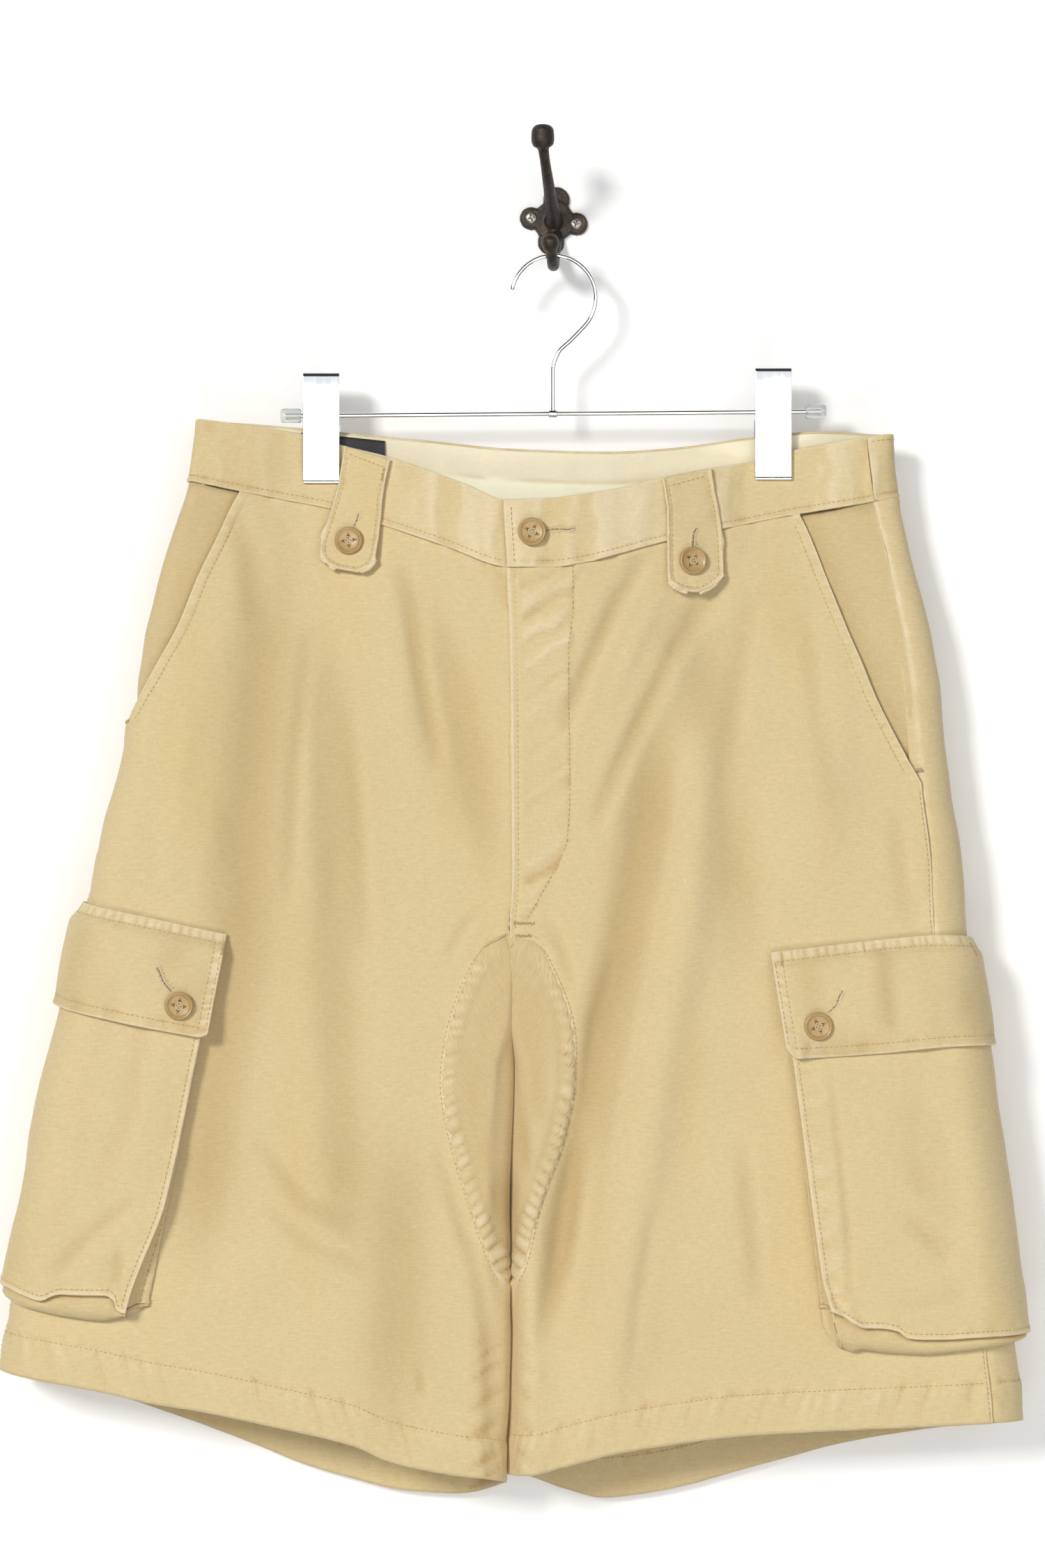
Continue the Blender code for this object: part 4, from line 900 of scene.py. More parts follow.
@once
def cloth_finish():
    """Sun-faded straw cotton, rubbed pale along its seams, with painted shade in its folds, creases, hollows and gather
    valleys, and painted highlights on the ridges of its gathers and folds.
    """
    finish, hue = Finish("straw_cotton"), colours()
    cut, place = finish.cut(), finish.place()
    height, light = woven(finish, cut)
    patches = finish.noise(place, 9.0, 3.0, 0.55)
    fine_patches = finish.noise(finish.spread(cut, (55.0, 90.0, 1.0)), 1.0, 4.0, 0.65)
    # Painted shade from each piece's shade field, made uneven by random patches of darker tone.
    trough = (finish.field("trough") * 0.95 + (patches - 0.5) * 0.55).held()
    # Above zero: rubbed pale seams and painted highlights on ridges. Below zero: painted shade in valleys and grooves.
    wear = finish.field("wear") + (fine_patches - 0.5) * 0.35
    streaks = finish.noise(finish.spread(place, (17.0, 17.0, 3.6)), 1.0, 3.0, 0.55)
    base = finish.blend("MIX", streaks.over(0.5, 0.72) * 0.42, hue.cloth, (0.69, 0.51, 0.21))
    base = finish.blend("MIX", trough, base, hue.trough)
    # Painted shade: tan in gather valleys and stitch grooves.
    base = finish.blend("MIX", (wear * -1.0).over(0.0, 0.9) * 0.8, base, hue.tan)
    # Rubbed pale seams and painted highlights on ridges.
    base = finish.blend("MIX", wear.over(0.0, 0.9) * 0.75, base, hue.rubbed_and_highlight)
    base = finish.toned(base, 1.0 + light)
    return finish.shader_gets(
        Base_Color=base, Roughness=0.88, Sheen_Weight=0.25, Sheen_Roughness=0.45, Normal=finish.bumped(height, 0.00035)
    )


@once
def facing_finish():
    """Smooth cream facing, with a thinner greenish lining below it."""
    finish, hue = Finish("cream_facing"), colours()
    height, light = woven(finish, finish.cut())
    base = finish.blend("MIX", finish.field("lining"), hue.facing, hue.lining)
    base = finish.blend("MIX", (finish.field("wear") * -1.0).held() * 0.6, base, hue.cloth)
    base = finish.toned(base, 1.0 + light * 0.35)
    return finish.shader_gets(Base_Color=base, Roughness=0.85, Sheen_Weight=0.2, Normal=finish.bumped(height, 0.00015))


@once
def label_finish():
    """A plain black woven label."""
    finish, hue = Finish("black_label"), colours()
    height, light = woven(finish, finish.cut())
    base = finish.blend("MIX", (light + 0.3).held(), hue.label, (0.03, 0.03, 0.034))
    return finish.shader_gets(Base_Color=base, Roughness=0.6, Sheen_Weight=0.3, Normal=finish.bumped(height, 0.0002))


def thread_finish(name, flat, twisted, amount):
    """Matt thread with its twist, between two of the part's colours."""
    finish, hue = Finish(name), colours()
    twist = finish.noise(finish.place(), 2400.0, 1.0)
    base = finish.blend("MIX", twist * amount, getattr(hue, flat), getattr(hue, twisted))
    return finish.shader_gets(Base_Color=base, Roughness=0.75, Sheen_Weight=0.2)


@once
def slit_shade_finish():
    """Painted shade inside a buttonhole's slit."""
    finish = Finish("slit")
    place = finish.place()
    base = finish.blend("MIX", finish.noise(place, 900.0, 1.0), (0.10, 0.065, 0.03), (0.2, 0.14, 0.07))
    return finish.shader_gets(Base_Color=base, Roughness=0.9)


@once
def button_finish():
    """Tan horn with faint clouds and a dull polish."""
    finish, hue = Finish("horn"), colours()
    place = finish.place()
    cloud = finish.noise(finish.spread(place, (1.0, 1.0, 2.5)), 220.0, 3.0)
    grain = finish.noise(place, 1900.0, 2.0)
    base = finish.blend("MIX", cloud.over(0.3, 0.75) * 0.5, hue.button, hue.tan)
    return finish.shader_gets(Base_Color=base, Roughness=grain * 0.18 + 0.32, Coat_Weight=0.25, Coat_Roughness=0.3)


@once
def chrome_finish():
    """Bright plating with a few faint rubs."""
    finish = Finish("plating")
    place = finish.place()
    rubs = finish.noise(finish.spread(place, (240.0, 240.0, 30.0)), 1.0, 3.0)
    ripple = finish.noise(place, 28.0, 1.0)
    return finish.shader_gets(
        Base_Color=(0.86, 0.87, 0.88), Metallic=1.0, Roughness=rubs.over(0.45, 0.8) * 0.12 + 0.05,
        Normal=finish.bumped(ripple, 0.0004),
    )


@once
def clear_finish():
    """Soft clear plastic, slightly cloudy."""
    finish = Finish("clear_cap")
    place = finish.place()
    cloud = finish.noise(place, 160.0, 2.0)
    return finish.shader_gets(
        Base_Color=finish.blend("MIX", cloud, (0.9, 0.93, 0.9), (0.8, 0.83, 0.78)), Roughness=cloud * 0.15 + 0.12,
        Transmission_Weight=0.75, IOR=1.45,
    )


@once
def iron_finish():
    """Cast iron, browned, with its high places rubbed to bronze."""
    finish, hue = Finish("browned_iron"), colours()
    place = finish.place()
    grain = finish.noise(place, 420.0, 4.0, 0.6)
    cloud = finish.noise(place, 70.0, 3.0)
    high = finish.wire("NewGeometry", out="Pointiness").over(0.5, 0.58)
    rubbed = (high * 0.55 + cloud.over(0.48, 0.75) * 0.5).held()
    base = finish.blend("MIX", rubbed, hue.iron, hue.bronze)
    return finish.shader_gets(
        Base_Color=base, Metallic=rubbed * 0.5 + 0.35, Roughness=grain * 0.3 + 0.3, Normal=finish.bumped(grain, 0.0006)
    )


@once
def screw_finish():
    """Dulled plated screws."""
    finish = Finish("screw")
    place = finish.place()
    grain = finish.noise(place, 500.0, 3.0)
    base = finish.blend("MIX", grain, (0.22, 0.2, 0.18), (0.42, 0.39, 0.34))
    return finish.shader_gets(Base_Color=base, Metallic=0.9, Roughness=grain * 0.2 + 0.25)


FINISHES = {
    "cloth": cloth_finish, "facing": facing_finish, "label": label_finish, "slit": slit_shade_finish,
    "thread": once(lambda: thread_finish("thread", "thread", "tan", 0.5)),
    "pale_thread": once(lambda: thread_finish("pale_thread", "rubbed_and_highlight", "thread", 0.4)),
    "button": button_finish, "chrome": chrome_finish, "clear_plastic": clear_finish, "iron": iron_finish,
    "screw": screw_finish,
}


def away_line(side, moved=0.0, spacing=STEP):
    """The gusset's seam on a leg as (distance from the middle, z) points, close together."""
    line = soft_path(np.stack([GUSSET_SEAM[side]["away"], GUSSET_SEAM[side]["z"]], 1), spacing)
    return aside(line, moved) if moved else line


AWAY_LINES = {side: away_line(side) for side in LEGS}
# The curved stitching beside the fly, in (x, z).
FLY_STITCH = ((11, -212), (11, -240), (8.4, -268), (9.2, -350), (7.6, -380), (1.5, -396), (-4.6, -407), (-16.8, -428.8))


def seam_walk(leg, line):
    """The walk to the gusset's seam from its (distance from the middle, z) points, running out at its foot."""
    away, z = line.T
    half = leg.section(z)["half"]
    return half - (half - leg.walk_to(middle(z) - leg.inward * away, z)) * ramp(z, line[-1, 1] - 2, -632)


def deeper(face, q, x, z):
    """How much deeper the large folds are than the form's, clear of the pockets, the band and the hem."""
    clear_of_pocket = np.maximum(ramp(np.abs(q), 138, 165), ramp(z, -425, -395))
    return 0.5 * folds(face, x, z) * clear_of_pocket * (1 - ramp(z, -250, -222)) * ramp(z, -745, -700)


def closing(leg, facing, z):
    """How much further the cloth between the legs stands out than the form, so that the legs rest on each other in
    a soft bend."""
    apart = leg.section(z)["apart"]
    beside = (1 - ramp(np.abs(facing), 0.6, 0.95)) * ramp(-z, 452, 478)
    return (apart - 0.25 + leg.inward * 1.7 * np.sin(math.pi * np.clip(facing, -1, 1))) * beside


def middle_gap(leg, x, z):
    """How far a place is from the line down the middle."""
    return leg.inward * (middle(z) - x)


def panel_lift(leg, face, q, z):
    """How far a front or back stands out from the form: its creases, hem and puckered seams. Also how pale or dark it
    is painted: rubbed pale seams, painted highlights on gather ridges and painted shade in gather valleys, grooves and
    near the gap between the legs.
    """
    sizes = bpy.context.scene.shorts_sizes
    x, facing, _ = leg.place(q, z)
    seed = SEEDS["panel"][leg.side] + (0 if face > 0 else 20)
    to_middle = middle_gap(leg, x, z)
    away, at, _, _ = along_line(to_middle, z, AWAY_LINES[leg.side])
    beside = ramp(z, -676, -640)
    loose = 1 - (1 - ramp(away, 1, 13)) * beside
    crease = creases(leg.side, face, x, z) * sizes.crease * loose
    lift = crease + (0.7 * rumple(x, z, 31, seed) + 0.34 * rumple(x, z * 0.7, 12, seed + 1)) * loose
    walk_in = leg.section(z)["half"] - np.abs(q)
    lift = lift + deeper(face, q, x, z) + closing(leg, facing, z) * (walk_in < 45)

    up = z - leg.hem(x, facing)
    in_hem = ramp(up, -3, 3) * (1 - ramp(up, HEM_DEPTH - 1, HEM_DEPTH + 9))
    hem = 0.5 * pucker(q, up - HEM_DEPTH * 0.8, HEM_DEPTH * 0.8, 12, seed + 3, 0.45) * in_hem
    drawn = 0.75 * bell(up - HEM_DEPTH + 5, 8) + 0.35 * bell(up - 3, 6)
    hem = hem + drawn * gathers(q + 0.45 * up, 9.5, seed + 4) * in_hem
    gather = hem
    lift = lift + 0.45 * (1 - ramp(up, HEM_DEPTH - 0.8, HEM_DEPTH + 0.8)) - 0.5 * bell(up - HEM_DEPTH + 1, 1.3)
    # Pale hem foot and painted highlights on the hem's gather ridges; painted shade in their valleys, slightly over the
    # whole hem, and in the groove below its top.
    wear = 0.65 * hem - 0.12 * in_hem + 0.5 * bell(up, 1.2) - 0.3 * bell(up - HEM_DEPTH + 0.6, 1.4)

    seam = pucker(at, away, 7, 9.4, seed + 5) * beside
    gather = gather + 0.35 * seam
    lift = lift + (0.3 * bell(away - 0.6, 1.1) - 0.3 * bell(away - 2.2, 0.9)) * beside
    # Pale rubbed edge along the gusset seam, with painted light and shade on its puckers.
    wear = wear + (0.35 * seam + 0.8 * bell(away - 0.3, 1.3)) * beside

    inseam = 1 - ramp(z, -690, -660)
    centre = ramp(z, -452, -440)
    edge = gathers(z + 0.5 * walk_in, 15, seed + 7) * bell(walk_in - 26, 10) * inseam
    gather = gather + 0.9 * edge
    # Painted light and shade on the gathers by the inner edge, and painted shade near the gap between the legs, deeper
    # on the right leg.
    wear = wear + (0.8 * edge - (0.6 if leg.side == "right" else 0.15) * bell(walk_in - 26, 12)) * inseam

    side_walk = np.abs(q - leg.seam(z))
    below = 1 - ramp(z, leg.slant_foot - 6, leg.slant_foot + 10) if face > 0 else np.ones(lift.shape)
    side_seam = pucker(z, side_walk, 8, 13, seed + 9) * below
    gather = gather + 0.5 * side_seam
    # Pale rubbed side seam, with painted light and shade on its puckers.
    wear = wear + (0.4 * side_seam + 1.0 * bell(side_walk, 1.0)) * below
    if face > 0:
        lift = lift + 0.3 * (1 - ramp(side_walk, 5, 7)) * below
        slant = np.abs(q - leg.slant(z))
        above = ramp(z, leg.slant_foot - 12, leg.slant_foot + 4)
        mouth = gathers(z + 0.3 * slant, 7.5, seed + 11) * bell(slant - 3.5, 3.6) * above
        gather = gather + 0.4 * mouth
        lift = lift + (0.55 * (1 - ramp(slant, 5.5, 7.2)) - 0.35 * bell(slant - 6.4, 1.1)) * above
        # Pale rubbed mouth edge, painted light and shade on its gathers, and painted shade in the groove at its stitch
        # line.
        wear = wear + (0.6 * mouth + 0.9 * bell(slant, 1.1) - 0.3 * bell(slant - 6.6, 1.2)) * above
        if leg.side == "left":
            near, at, way, _ = along_line(x, z, FLY_STITCH)
            in_fly = centre * ((way < 0) | (near < 1)) * ramp(z, -436, -425)
            in_fly = in_fly * ramp(to_middle, 2, 6)
            bend = z - 0.6 * x + 3.5 * rumple(x, z, 11, seed + 12)
            fly = (0.6 * wander(bend, 4.2, seed + 13) + 0.4 * wander(bend, 8.5, seed + 14)) * in_fly
            fly = fly * ramp(to_middle, 3, 9) * (0.7 + 0.5 * rumple(x, z, 16, seed + 16))
            strong = 0.6 + 0.8 * bell(z + 252, 26) + 0.2 * bell(z + 385, 30)
            gather = gather + 2.3 * strong * fly + 0.45 * pucker(at, near, 6, 9, seed + 15) * centre
            lift = lift + 0.5 * in_fly - 0.4 * bell(near, 1.2) * centre
            lift = lift + 0.6 * centre * (1 - ramp(to_middle, 0.5, 14))
            lift = lift + centre * (0.7 * bell(to_middle - 0.8, 0.75) - 0.35 * bell(to_middle - 2.6, 0.8))
            # Painted light and shade on the fly's ripples, a pale rubbed edge, and painted shade in the groove at the
            # stitch line.
            wear = wear + centre * (1.2 * strong * fly + 1.1 * bell(to_middle - 0.6, 0.9) - 0.25 * bell(near, 1.3))
        else:
            lift = lift - 1.3 * centre * (1 - ramp(to_middle, 0.2, 3))
            gather = gather + 0.5 * pucker(z, to_middle, 10, 12, seed + 13) * centre
    else:
        seat = pucker(z, to_middle - 4, 8, 9, seed + 15) * centre
        gather = gather + 0.6 * seat
        lift = lift + 0.35 * (1 - ramp(to_middle, 6, 7.5)) * centre
        # Painted light and shade on the seat seam's puckers, with a pale rubbed seam.
        wear = wear + centre * (1.1 * seat + 0.6 * bell(to_middle, 1.2))

    top = BAND_SEAM(x, facing)
    under_band = pucker(x, top - z, 8, 12, seed + 17)
    gather = gather + 0.6 * under_band
    # Painted light and shade on the puckers under the waistband.
    wear = wear + 0.5 * under_band
    lift = lift + (BAND_LIFT - 0.3) * (1 - ramp(top - z, 0.5, 9)) - 1.2 * (1 - ramp(top - z, -0.9, 0.5))
    return lift + gather * sizes.gather, wear, crease


def panel_rows(leg, face, top_z, tuck):
    """The inner edge of a front or back, close together: down the middle, round the gusset, down the inseam."""
    tip = GUSSET_SEAM[leg.side]["z"][0]
    z = np.linspace(top_z, tip + 1.5, round((top_z - tip) / STEP))
    s = leg.section(z)
    down_middle = np.stack([face * (s["half"] - s["end_in"] + tuck * ramp(z, tip, tip + 40)), z], 1)
    line = away_line(leg.side)
    round_gusset = np.stack([face * seam_walk(leg, line), line[:, 1]], 1)
    foot = line[-1, 1]
    hem_z = float(leg.hem(middle(-765.0), 0.0))
    z = np.linspace(foot, hem_z, round((foot - hem_z) / STEP) + 1)[1:]
    down_inseam = np.stack([face * (leg.section(z)["half"] - GAP / 2), z], 1)
    return np.concatenate([down_middle, round_gusset, down_inseam])


def band_seam_moved(up):
    """The waistband's seam, moved up."""
    return front_to_back(lambda x: seam_front(x) + up, lambda x: seam_back(x) + up)


def panel_grid(leg, face):
    """(q, z) all over a front or back."""
    under_band = band_seam_moved(1.4)
    top = seam_front(middle(-217.0)) if face > 0 else seam_back(middle(-182.0))
    tuck = 5.0 if face > 0 and leg.side == "right" else -GAP / 2
    inner = panel_rows(leg, face, float(top) - GAP, tuck)
    seam_top = edge_height(leg, leg.seam, under_band, BAND_Z)
    foot = edge_height(leg, leg.seam, leg.hem, HEM_Z)
    share = (inner[:, 1] - inner[0, 1]) / (inner[-1, 1] - inner[0, 1])
    z = seam_top + (foot - seam_top) * share
    column = 0.0072 if face > 0 else 0.0108
    columns = spaced(0, 1, column, (0.0, 0.0012, 0.0026, 0.0045, 0.007, 0.011))
    if face < 0:
        under_front = 6.0
        outer = np.stack([leg.seam(z) + under_front, z], 1)
        return patch(leg, outer, inner, columns, under_band, leg.hem)
    slant_top = edge_height(leg, leg.slant, under_band, SLANT_Z)
    above_foot = (z - leg.slant_foot) / (seam_top - leg.slant_foot)
    z = np.where(above_foot > 0, leg.slant_foot + (slant_top - leg.slant_foot) * above_foot, z)
    outer = np.stack([leg.slant(z) + GAP / 2, z], 1)
    return patch(leg, outer, inner, columns, under_band, leg.hem)


def edge_height(leg, q, edge, start):
    """The height at which a line of walks meets an edge."""
    z = start
    for _ in range(6):
        x, facing, _ = leg.place(np.array(q(z), float), np.array(z, float))
        z = float(edge(x, facing))
    return z


def patch(leg, outer, inner, columns, top, bottom):
    """Rows of (q, z) from an outer edge to an inner one, whose first and last rows follow the edges top and bottom."""
    share = np.array(columns, float)[None, :]
    q = outer[:, :1] * (1 - share) + inner[:, :1] * share
    level = outer[:, 1:] * (1 - share) + inner[:, 1:] * share
    down = ((level[:1] - level) / (level[:1] - level[-1:])).clip(0, 1)
    z = level.copy()
    for _ in range(4):
        x, facing, _ = leg.place(q, z)
        z = level.copy()
        z += (top(x[0], facing[0]) - level[0]) * (1 - down) ** 2
        z += (bottom(x[-1], facing[-1]) - level[-1]) * down**2
    return q, z


def panels():
    """The fronts and the backs."""
    for side, leg in LEGS.items():
        for face, which in ((1, "front"), (-1, "back")):
            q, z = panel_grid(leg, face)
            lift, wear, crease = panel_lift(leg, face, q, z)
            if face < 0:
                lift = lift - 1.7 * ramp(q - leg.seam(z), -0.6, 1.2)
            x = leg.place(q, z)[0]
            points, ways, cut = leg.laid(q, z, lift)
            if side == "left":
                over = 1.6 * (1 - ramp(middle_gap(leg, x, z), 0, 3)) * ramp(z, -444, -438)
                points[..., 0] += leg.inward * over
            # Painted shade in the large folds and fine creases.
            cloth(f"{which}_{side}", points, ways, cut, wear=wear, trough=shade(face, x, z, crease))


def gusset():
    """One piece: down the inside of each leg, joined in a narrow turn under the crotch, with painted light and shade on
    its gathers and painted shade beside its seams and in the turn.
    """
    across = spaced(-1.14, 1.14, 0.032, (0.0, 0.02, 0.05, 0.09))
    sink = np.clip(1 - np.abs(across) ** 3, 0, 1)
    tucked = np.clip(np.abs(across) - 1, 0, None) / 0.14
    grids = []
    for side, leg in LEGS.items():
        line = away_line(side, spacing=FINE)
        out = np.gradient(line, axis=0)
        out = np.stack([-out[:, 1], out[:, 0]], 1) / np.linalg.norm(out, axis=1)[:, None]
        away = leg.section(line[:, 1])["half"] - seam_walk(leg, line)
        drop = CROTCH_DROP * (1 - ramp(-line[:, 1], 441, 640))
        z = line[:, 1:] - drop[:, None] * sink + 6 * tucked * out[:, 1:]
        beyond = np.sign(across) * 6 * tucked * out[:, :1]
        q = leg.section(z)["half"] + np.clip(across, -1, 1) * away[:, None] + beyond
        at = np.concatenate([[0], np.cumsum(np.hypot(*np.diff(line, axis=0).T))])[:, None]
        x, facing, _ = leg.place(q, z)
        gap = middle_gap(leg, x, z)
        from_seam, along, _, _ = along_line(gap, z, line)
        band = (1 - ramp(from_seam, 3.5, 10.5)) * ramp(along, 12, 30) * (1 - ramp(tucked, 0, 0.12))
        seam = gathers(along + 0.35 * from_seam, 7.4, 71 + leg.inward) * band
        wide = rumple(q, z * 0.45, 15, 75 + leg.inward) * ramp(from_seam, 8, 16)
        lift = 1.5 * seam + 1.0 * wide - (1.2 + 3 * ramp(along, 14, 40)) * ramp(tucked, 0, 0.4)
        lift = lift - 0.4 * ramp(along, 6, 24) - 0.3 * bell(from_seam - 8.4, 1.4)
        lift = lift + closing(leg, facing, z) + np.where(facing > 0, deeper(1, q, x, z), deeper(-1, q, x, z))
        # Painted light and shade on the seam's gathers and on the wide rumples, slightly darker all over.
        wear = 1.2 * seam - 0.2 + 0.25 * wide
        # Painted shade: a little all over, more beside the seam, in the gather valleys and in the hollows of the
        # rumples.
        trough = 0.25 + 0.2 * bell(from_seam - 8.4, 2) - 0.25 * wide - 1.2 * np.minimum(seam, 0)
        front = ramp(facing, 0.0, 0.3) * ramp(z, -500, -470)
        if leg.side == "left":
            ridge = gathers(z, 5.5, 81) * bell(gap - 4.5, 4) * front
            lift = lift + 0.4 * ridge + 0.6 * bell(gap - 1, 1) * front
            # Pale rubbed edge at the middle seam, with painted light and shade on its gathers.
            wear = wear + 0.5 * ridge + 0.8 * bell(gap - 0.8, 1.1) * front
        else:
            # Painted shade next to the gap between the legs.
            trough = trough + 0.7 * bell(gap, 5) * front + 0.45 * bell(gap - 3, 6) * ramp(-z, 500, 540)
        points = leg.out(q, z, lift)
        still_open = np.clip(middle_gap(leg, points[..., 0], z), 0, None)
        at_tip = ramp(facing, -0.2, 0.2) * ramp(z, -520, -490) * ramp(-z, 441, 447)
        shut = 0.95 * (1 - ramp(still_open, 4, 16)) * at_tip
        points[..., 0] += leg.inward * still_open * shut
        grids.append((points, leg.normal(q, z), wear, at + 0 * q, q + 0 * at, trough))
    right, right_way, right_wear, right_at, right_q, right_trough = grids[0]
    left, left_way, left_wear, left_at, left_q, left_trough = grids[1]
    up = 1 - np.clip(np.abs(across), 0, 1) ** 6
    turn, ways = [], []
    for angle in np.linspace(-math.pi / 2, math.pi / 2, 7)[1:-1]:
        row = (right[0] + left[0]) / 2 + (left[0] - right[0]) / 2 * math.sin(angle)
        row[:, 2] += 0.6 * up * math.cos(angle)
        turn.append(row)
        ways.append(np.array([[0, 0, 1.0]] * len(across)))
    count = len(turn)
    # The turn under the crotch takes an even painted shade.
    cloth(
        "crotch_gusset", np.array([*right[::-1], *turn, *left]), np.array([*right_way[::-1], *ways, *left_way]),
        (
            np.concatenate([right_q[::-1], np.repeat(right_q[:1], count, 0), left_q]),
            np.concatenate([right_at[::-1], np.zeros((count, len(across))), -left_at]),
        ),
        wear=np.concatenate([right_wear[::-1], np.zeros((count, len(across))), left_wear]),
        trough=np.concatenate([right_trough[::-1], np.full((count, len(across)), 0.4), left_trough]),
    )


def band_grid(leg, face, start, across, down, top_gap=0.0):
    """(q, z) of a stretch of band: across is 0 at the walk start and 1 at the middle, down is 0 at its top edge
    and 1 at its seam."""
    across, down = np.array(across)[None, :], np.array(down)[:, None]
    z = np.full((down.shape[0], across.shape[1]), BAND_Z)
    for _ in range(6):
        to_middle = leg.walk_to(middle(z) - leg.inward * GAP / 2, z, face)
        q = start + (to_middle - start) * across
        x, facing, _ = leg.place(q, z)
        top = TOP(x, facing) - top_gap
        z = top + (BAND_SEAM(x, facing) - top) * down
    return q, z


def near_clip(x):
    """1 beside the clips and 0 away from them."""
    low, high = CLIP_WIDTH / 2 + 1, CLIP_WIDTH / 2 + 9
    return np.max([1 - ramp(np.abs(x - at), low, high) for at, _, _ in CLIPS.values()], 0)


def band_lift(leg, q, z, seed):
    """How far a band stands out, its top and foot turned, and how pale or dark it is painted: rubbed pale edges,
    painted light and shade on its folds and puckers, and painted shade in the groove above its seam.
    """
    x, facing, _ = leg.place(q, z)
    top, foot = TOP(x, facing), BAND_SEAM(x, facing)
    loose = 1 - near_clip(x)
    bent = x + 3 * rumple(x, z, 12, seed + 6)
    folds_across = wander(bent, 5.5, seed) * 0.8 + wander(x - 0.1 * (z - top), 13, seed + 1)
    folds_across = np.where(folds_across < 0, 0.35 * folds_across, folds_across)
    uneven = 0.65 + 0.5 * rumple(x, z, 20, seed + 7)
    lift = BAND_LIFT + 1.9 * loose * folds_across * ramp(top - z, 0, 9) * np.clip(uneven, 0, 1.3)
    along_top = pucker(x, top - z - 3, 5, 9, seed + 2)
    along_foot = pucker(x, z - foot - 3, 6, 8, seed + 4)
    lift = lift + loose * (0.35 * along_top + 0.6 * along_foot)
    lift = lift + 0.5 * bell(z - foot - 0.9, 0.9) - 0.4 * bell(z - foot - 3.9, 1.1)
    lift = lift - edge_drop(top - z, 1.1) - edge_drop(z - foot, 0.8)
    # Pale rubbed top and foot, painted light and shade on the puckers and the folds across the band, and painted shade
    # in the groove above the seam.
    wear = 0.6 * bell(top - z, 1.2) + 0.85 * bell(z - foot - 0.4, 0.9) + 0.3 * along_foot + 0.3 * along_top
    wear = wear - 0.3 * bell(z - foot - 3.9, 1.1) + 0.7 * loose * folds_across
    return lift, wear


def waistband():
    """The front bands, and the back band in one length round both legs."""
    down = spaced(0, 1, 0.042, (0.0, 0.008, 0.016, 0.026, 0.04, 0.06))
    halves = []
    for side, leg in LEGS.items():
        start = float(leg.seam(BAND_Z)) + GAP / 2
        seed = SEEDS["band"][side]
        q, z = band_grid(leg, 1, start, spaced(0, 1, 0.008, (0.0, 0.0015, 0.003, 0.005, 0.008)), down)
        lift, wear = band_lift(leg, q, z, seed)
        x = leg.place(q, z)[0]
        to_middle = middle_gap(leg, x, z)
        if side == "left":
            lift = lift + 1.3 * (1 - ramp(to_middle, 6, 20)) + 0.5 * bell(to_middle - 0.9, 0.8)
            lift = lift - 0.35 * bell(to_middle - 3.0, 0.9) - edge_drop(to_middle - GAP / 2, 0.6)
            wear = wear + 1.0 * bell(to_middle - 0.6, 0.9)
        else:
            lift = lift - 1.2 * (1 - ramp(to_middle, 0, 5))
        points, ways, cut = leg.laid(q, z, lift)
        if side == "left":
            points[..., 0] += leg.inward * 1.8 * (1 - ramp(to_middle, 0, 3))
        # Painted shade from the large folds, at half strength.
        cloth(f"waistband_{side}", points, ways, cut, DOUBLE_CLOTH, wear=wear, trough=shade(1, x, z) * 0.5)
        start = float(leg.seam(BAND_Z)) - GAP / 2
        q, z = band_grid(leg, -1, start, spaced(0, 1, 0.011, (0.0, 0.002, 0.005, 0.009)), down)
        lift, wear = band_lift(leg, q, z, seed + BACK_BAND)
        halves.append((leg.out(q, z, lift), leg.normal(q, z), wear, q, z))
    points, ways, wear, q, z = joined_halves(halves)
    # A little even painted shade on the back band.
    cloth("waistband_back", points, ways, (q, z), DOUBLE_CLOTH, wear=wear, trough=0.1)


def joined_halves(halves):
    """One grid across the back from the right half's and the left half's grids."""
    out = []
    for i, (right, left) in enumerate(zip(*halves)):
        left = -left if i == 3 else left
        meet = (right[:, -1:] + left[:, -1:]) / 2
        if i == 3:
            left = left - left[:, -1:] + right[:, -1:]
            meet = right[:, -1:]
        out.append(np.concatenate([right[:, :-1], meet, left[:, -2::-1]], 1))
    return out


def facing():
    """The smooth facing inside the back of the waist, and the lining below it."""
    across, down = spaced(0, 1, 0.011, (0.0, 0.004)), spaced(0, 1.25, 0.06, (0.0, 0.01, 0.03))
    halves = []
    for leg in LEGS.values():
        start = float(leg.seam(BAND_Z)) - GAP / 2
        q, z = band_grid(leg, -1, start, across, down, 1.6)
        x, facing_way, _ = leg.place(q, z)
        deep = TOP(x, facing_way) - z
        seam_at = 19 + 1.2 * wander(x, 12, 151)
        waves = 0.5 * wander(x + 0.1 * z, 9, 153) * (1 - near_clip(x)) * ramp(deep, 2, 9)
        lift = BAND_LIFT - DOUBLE_CLOTH - GAP - 0.2 + waves + 0.4 * bell(deep - seam_at, 1.0)
        lining = ramp(deep - seam_at, -0.4, 0.4)
        wear = -0.9 * bell(deep - seam_at, 0.8)
        halves.append((leg.out(q, z, lift), leg.normal(q, z), wear, q, z, lining))
    points, ways, wear, q, z, lining = joined_halves(halves)
    cloth("waistband_facing", points, ways, (q, z), FACING, "facing", wear=wear, lining=lining)


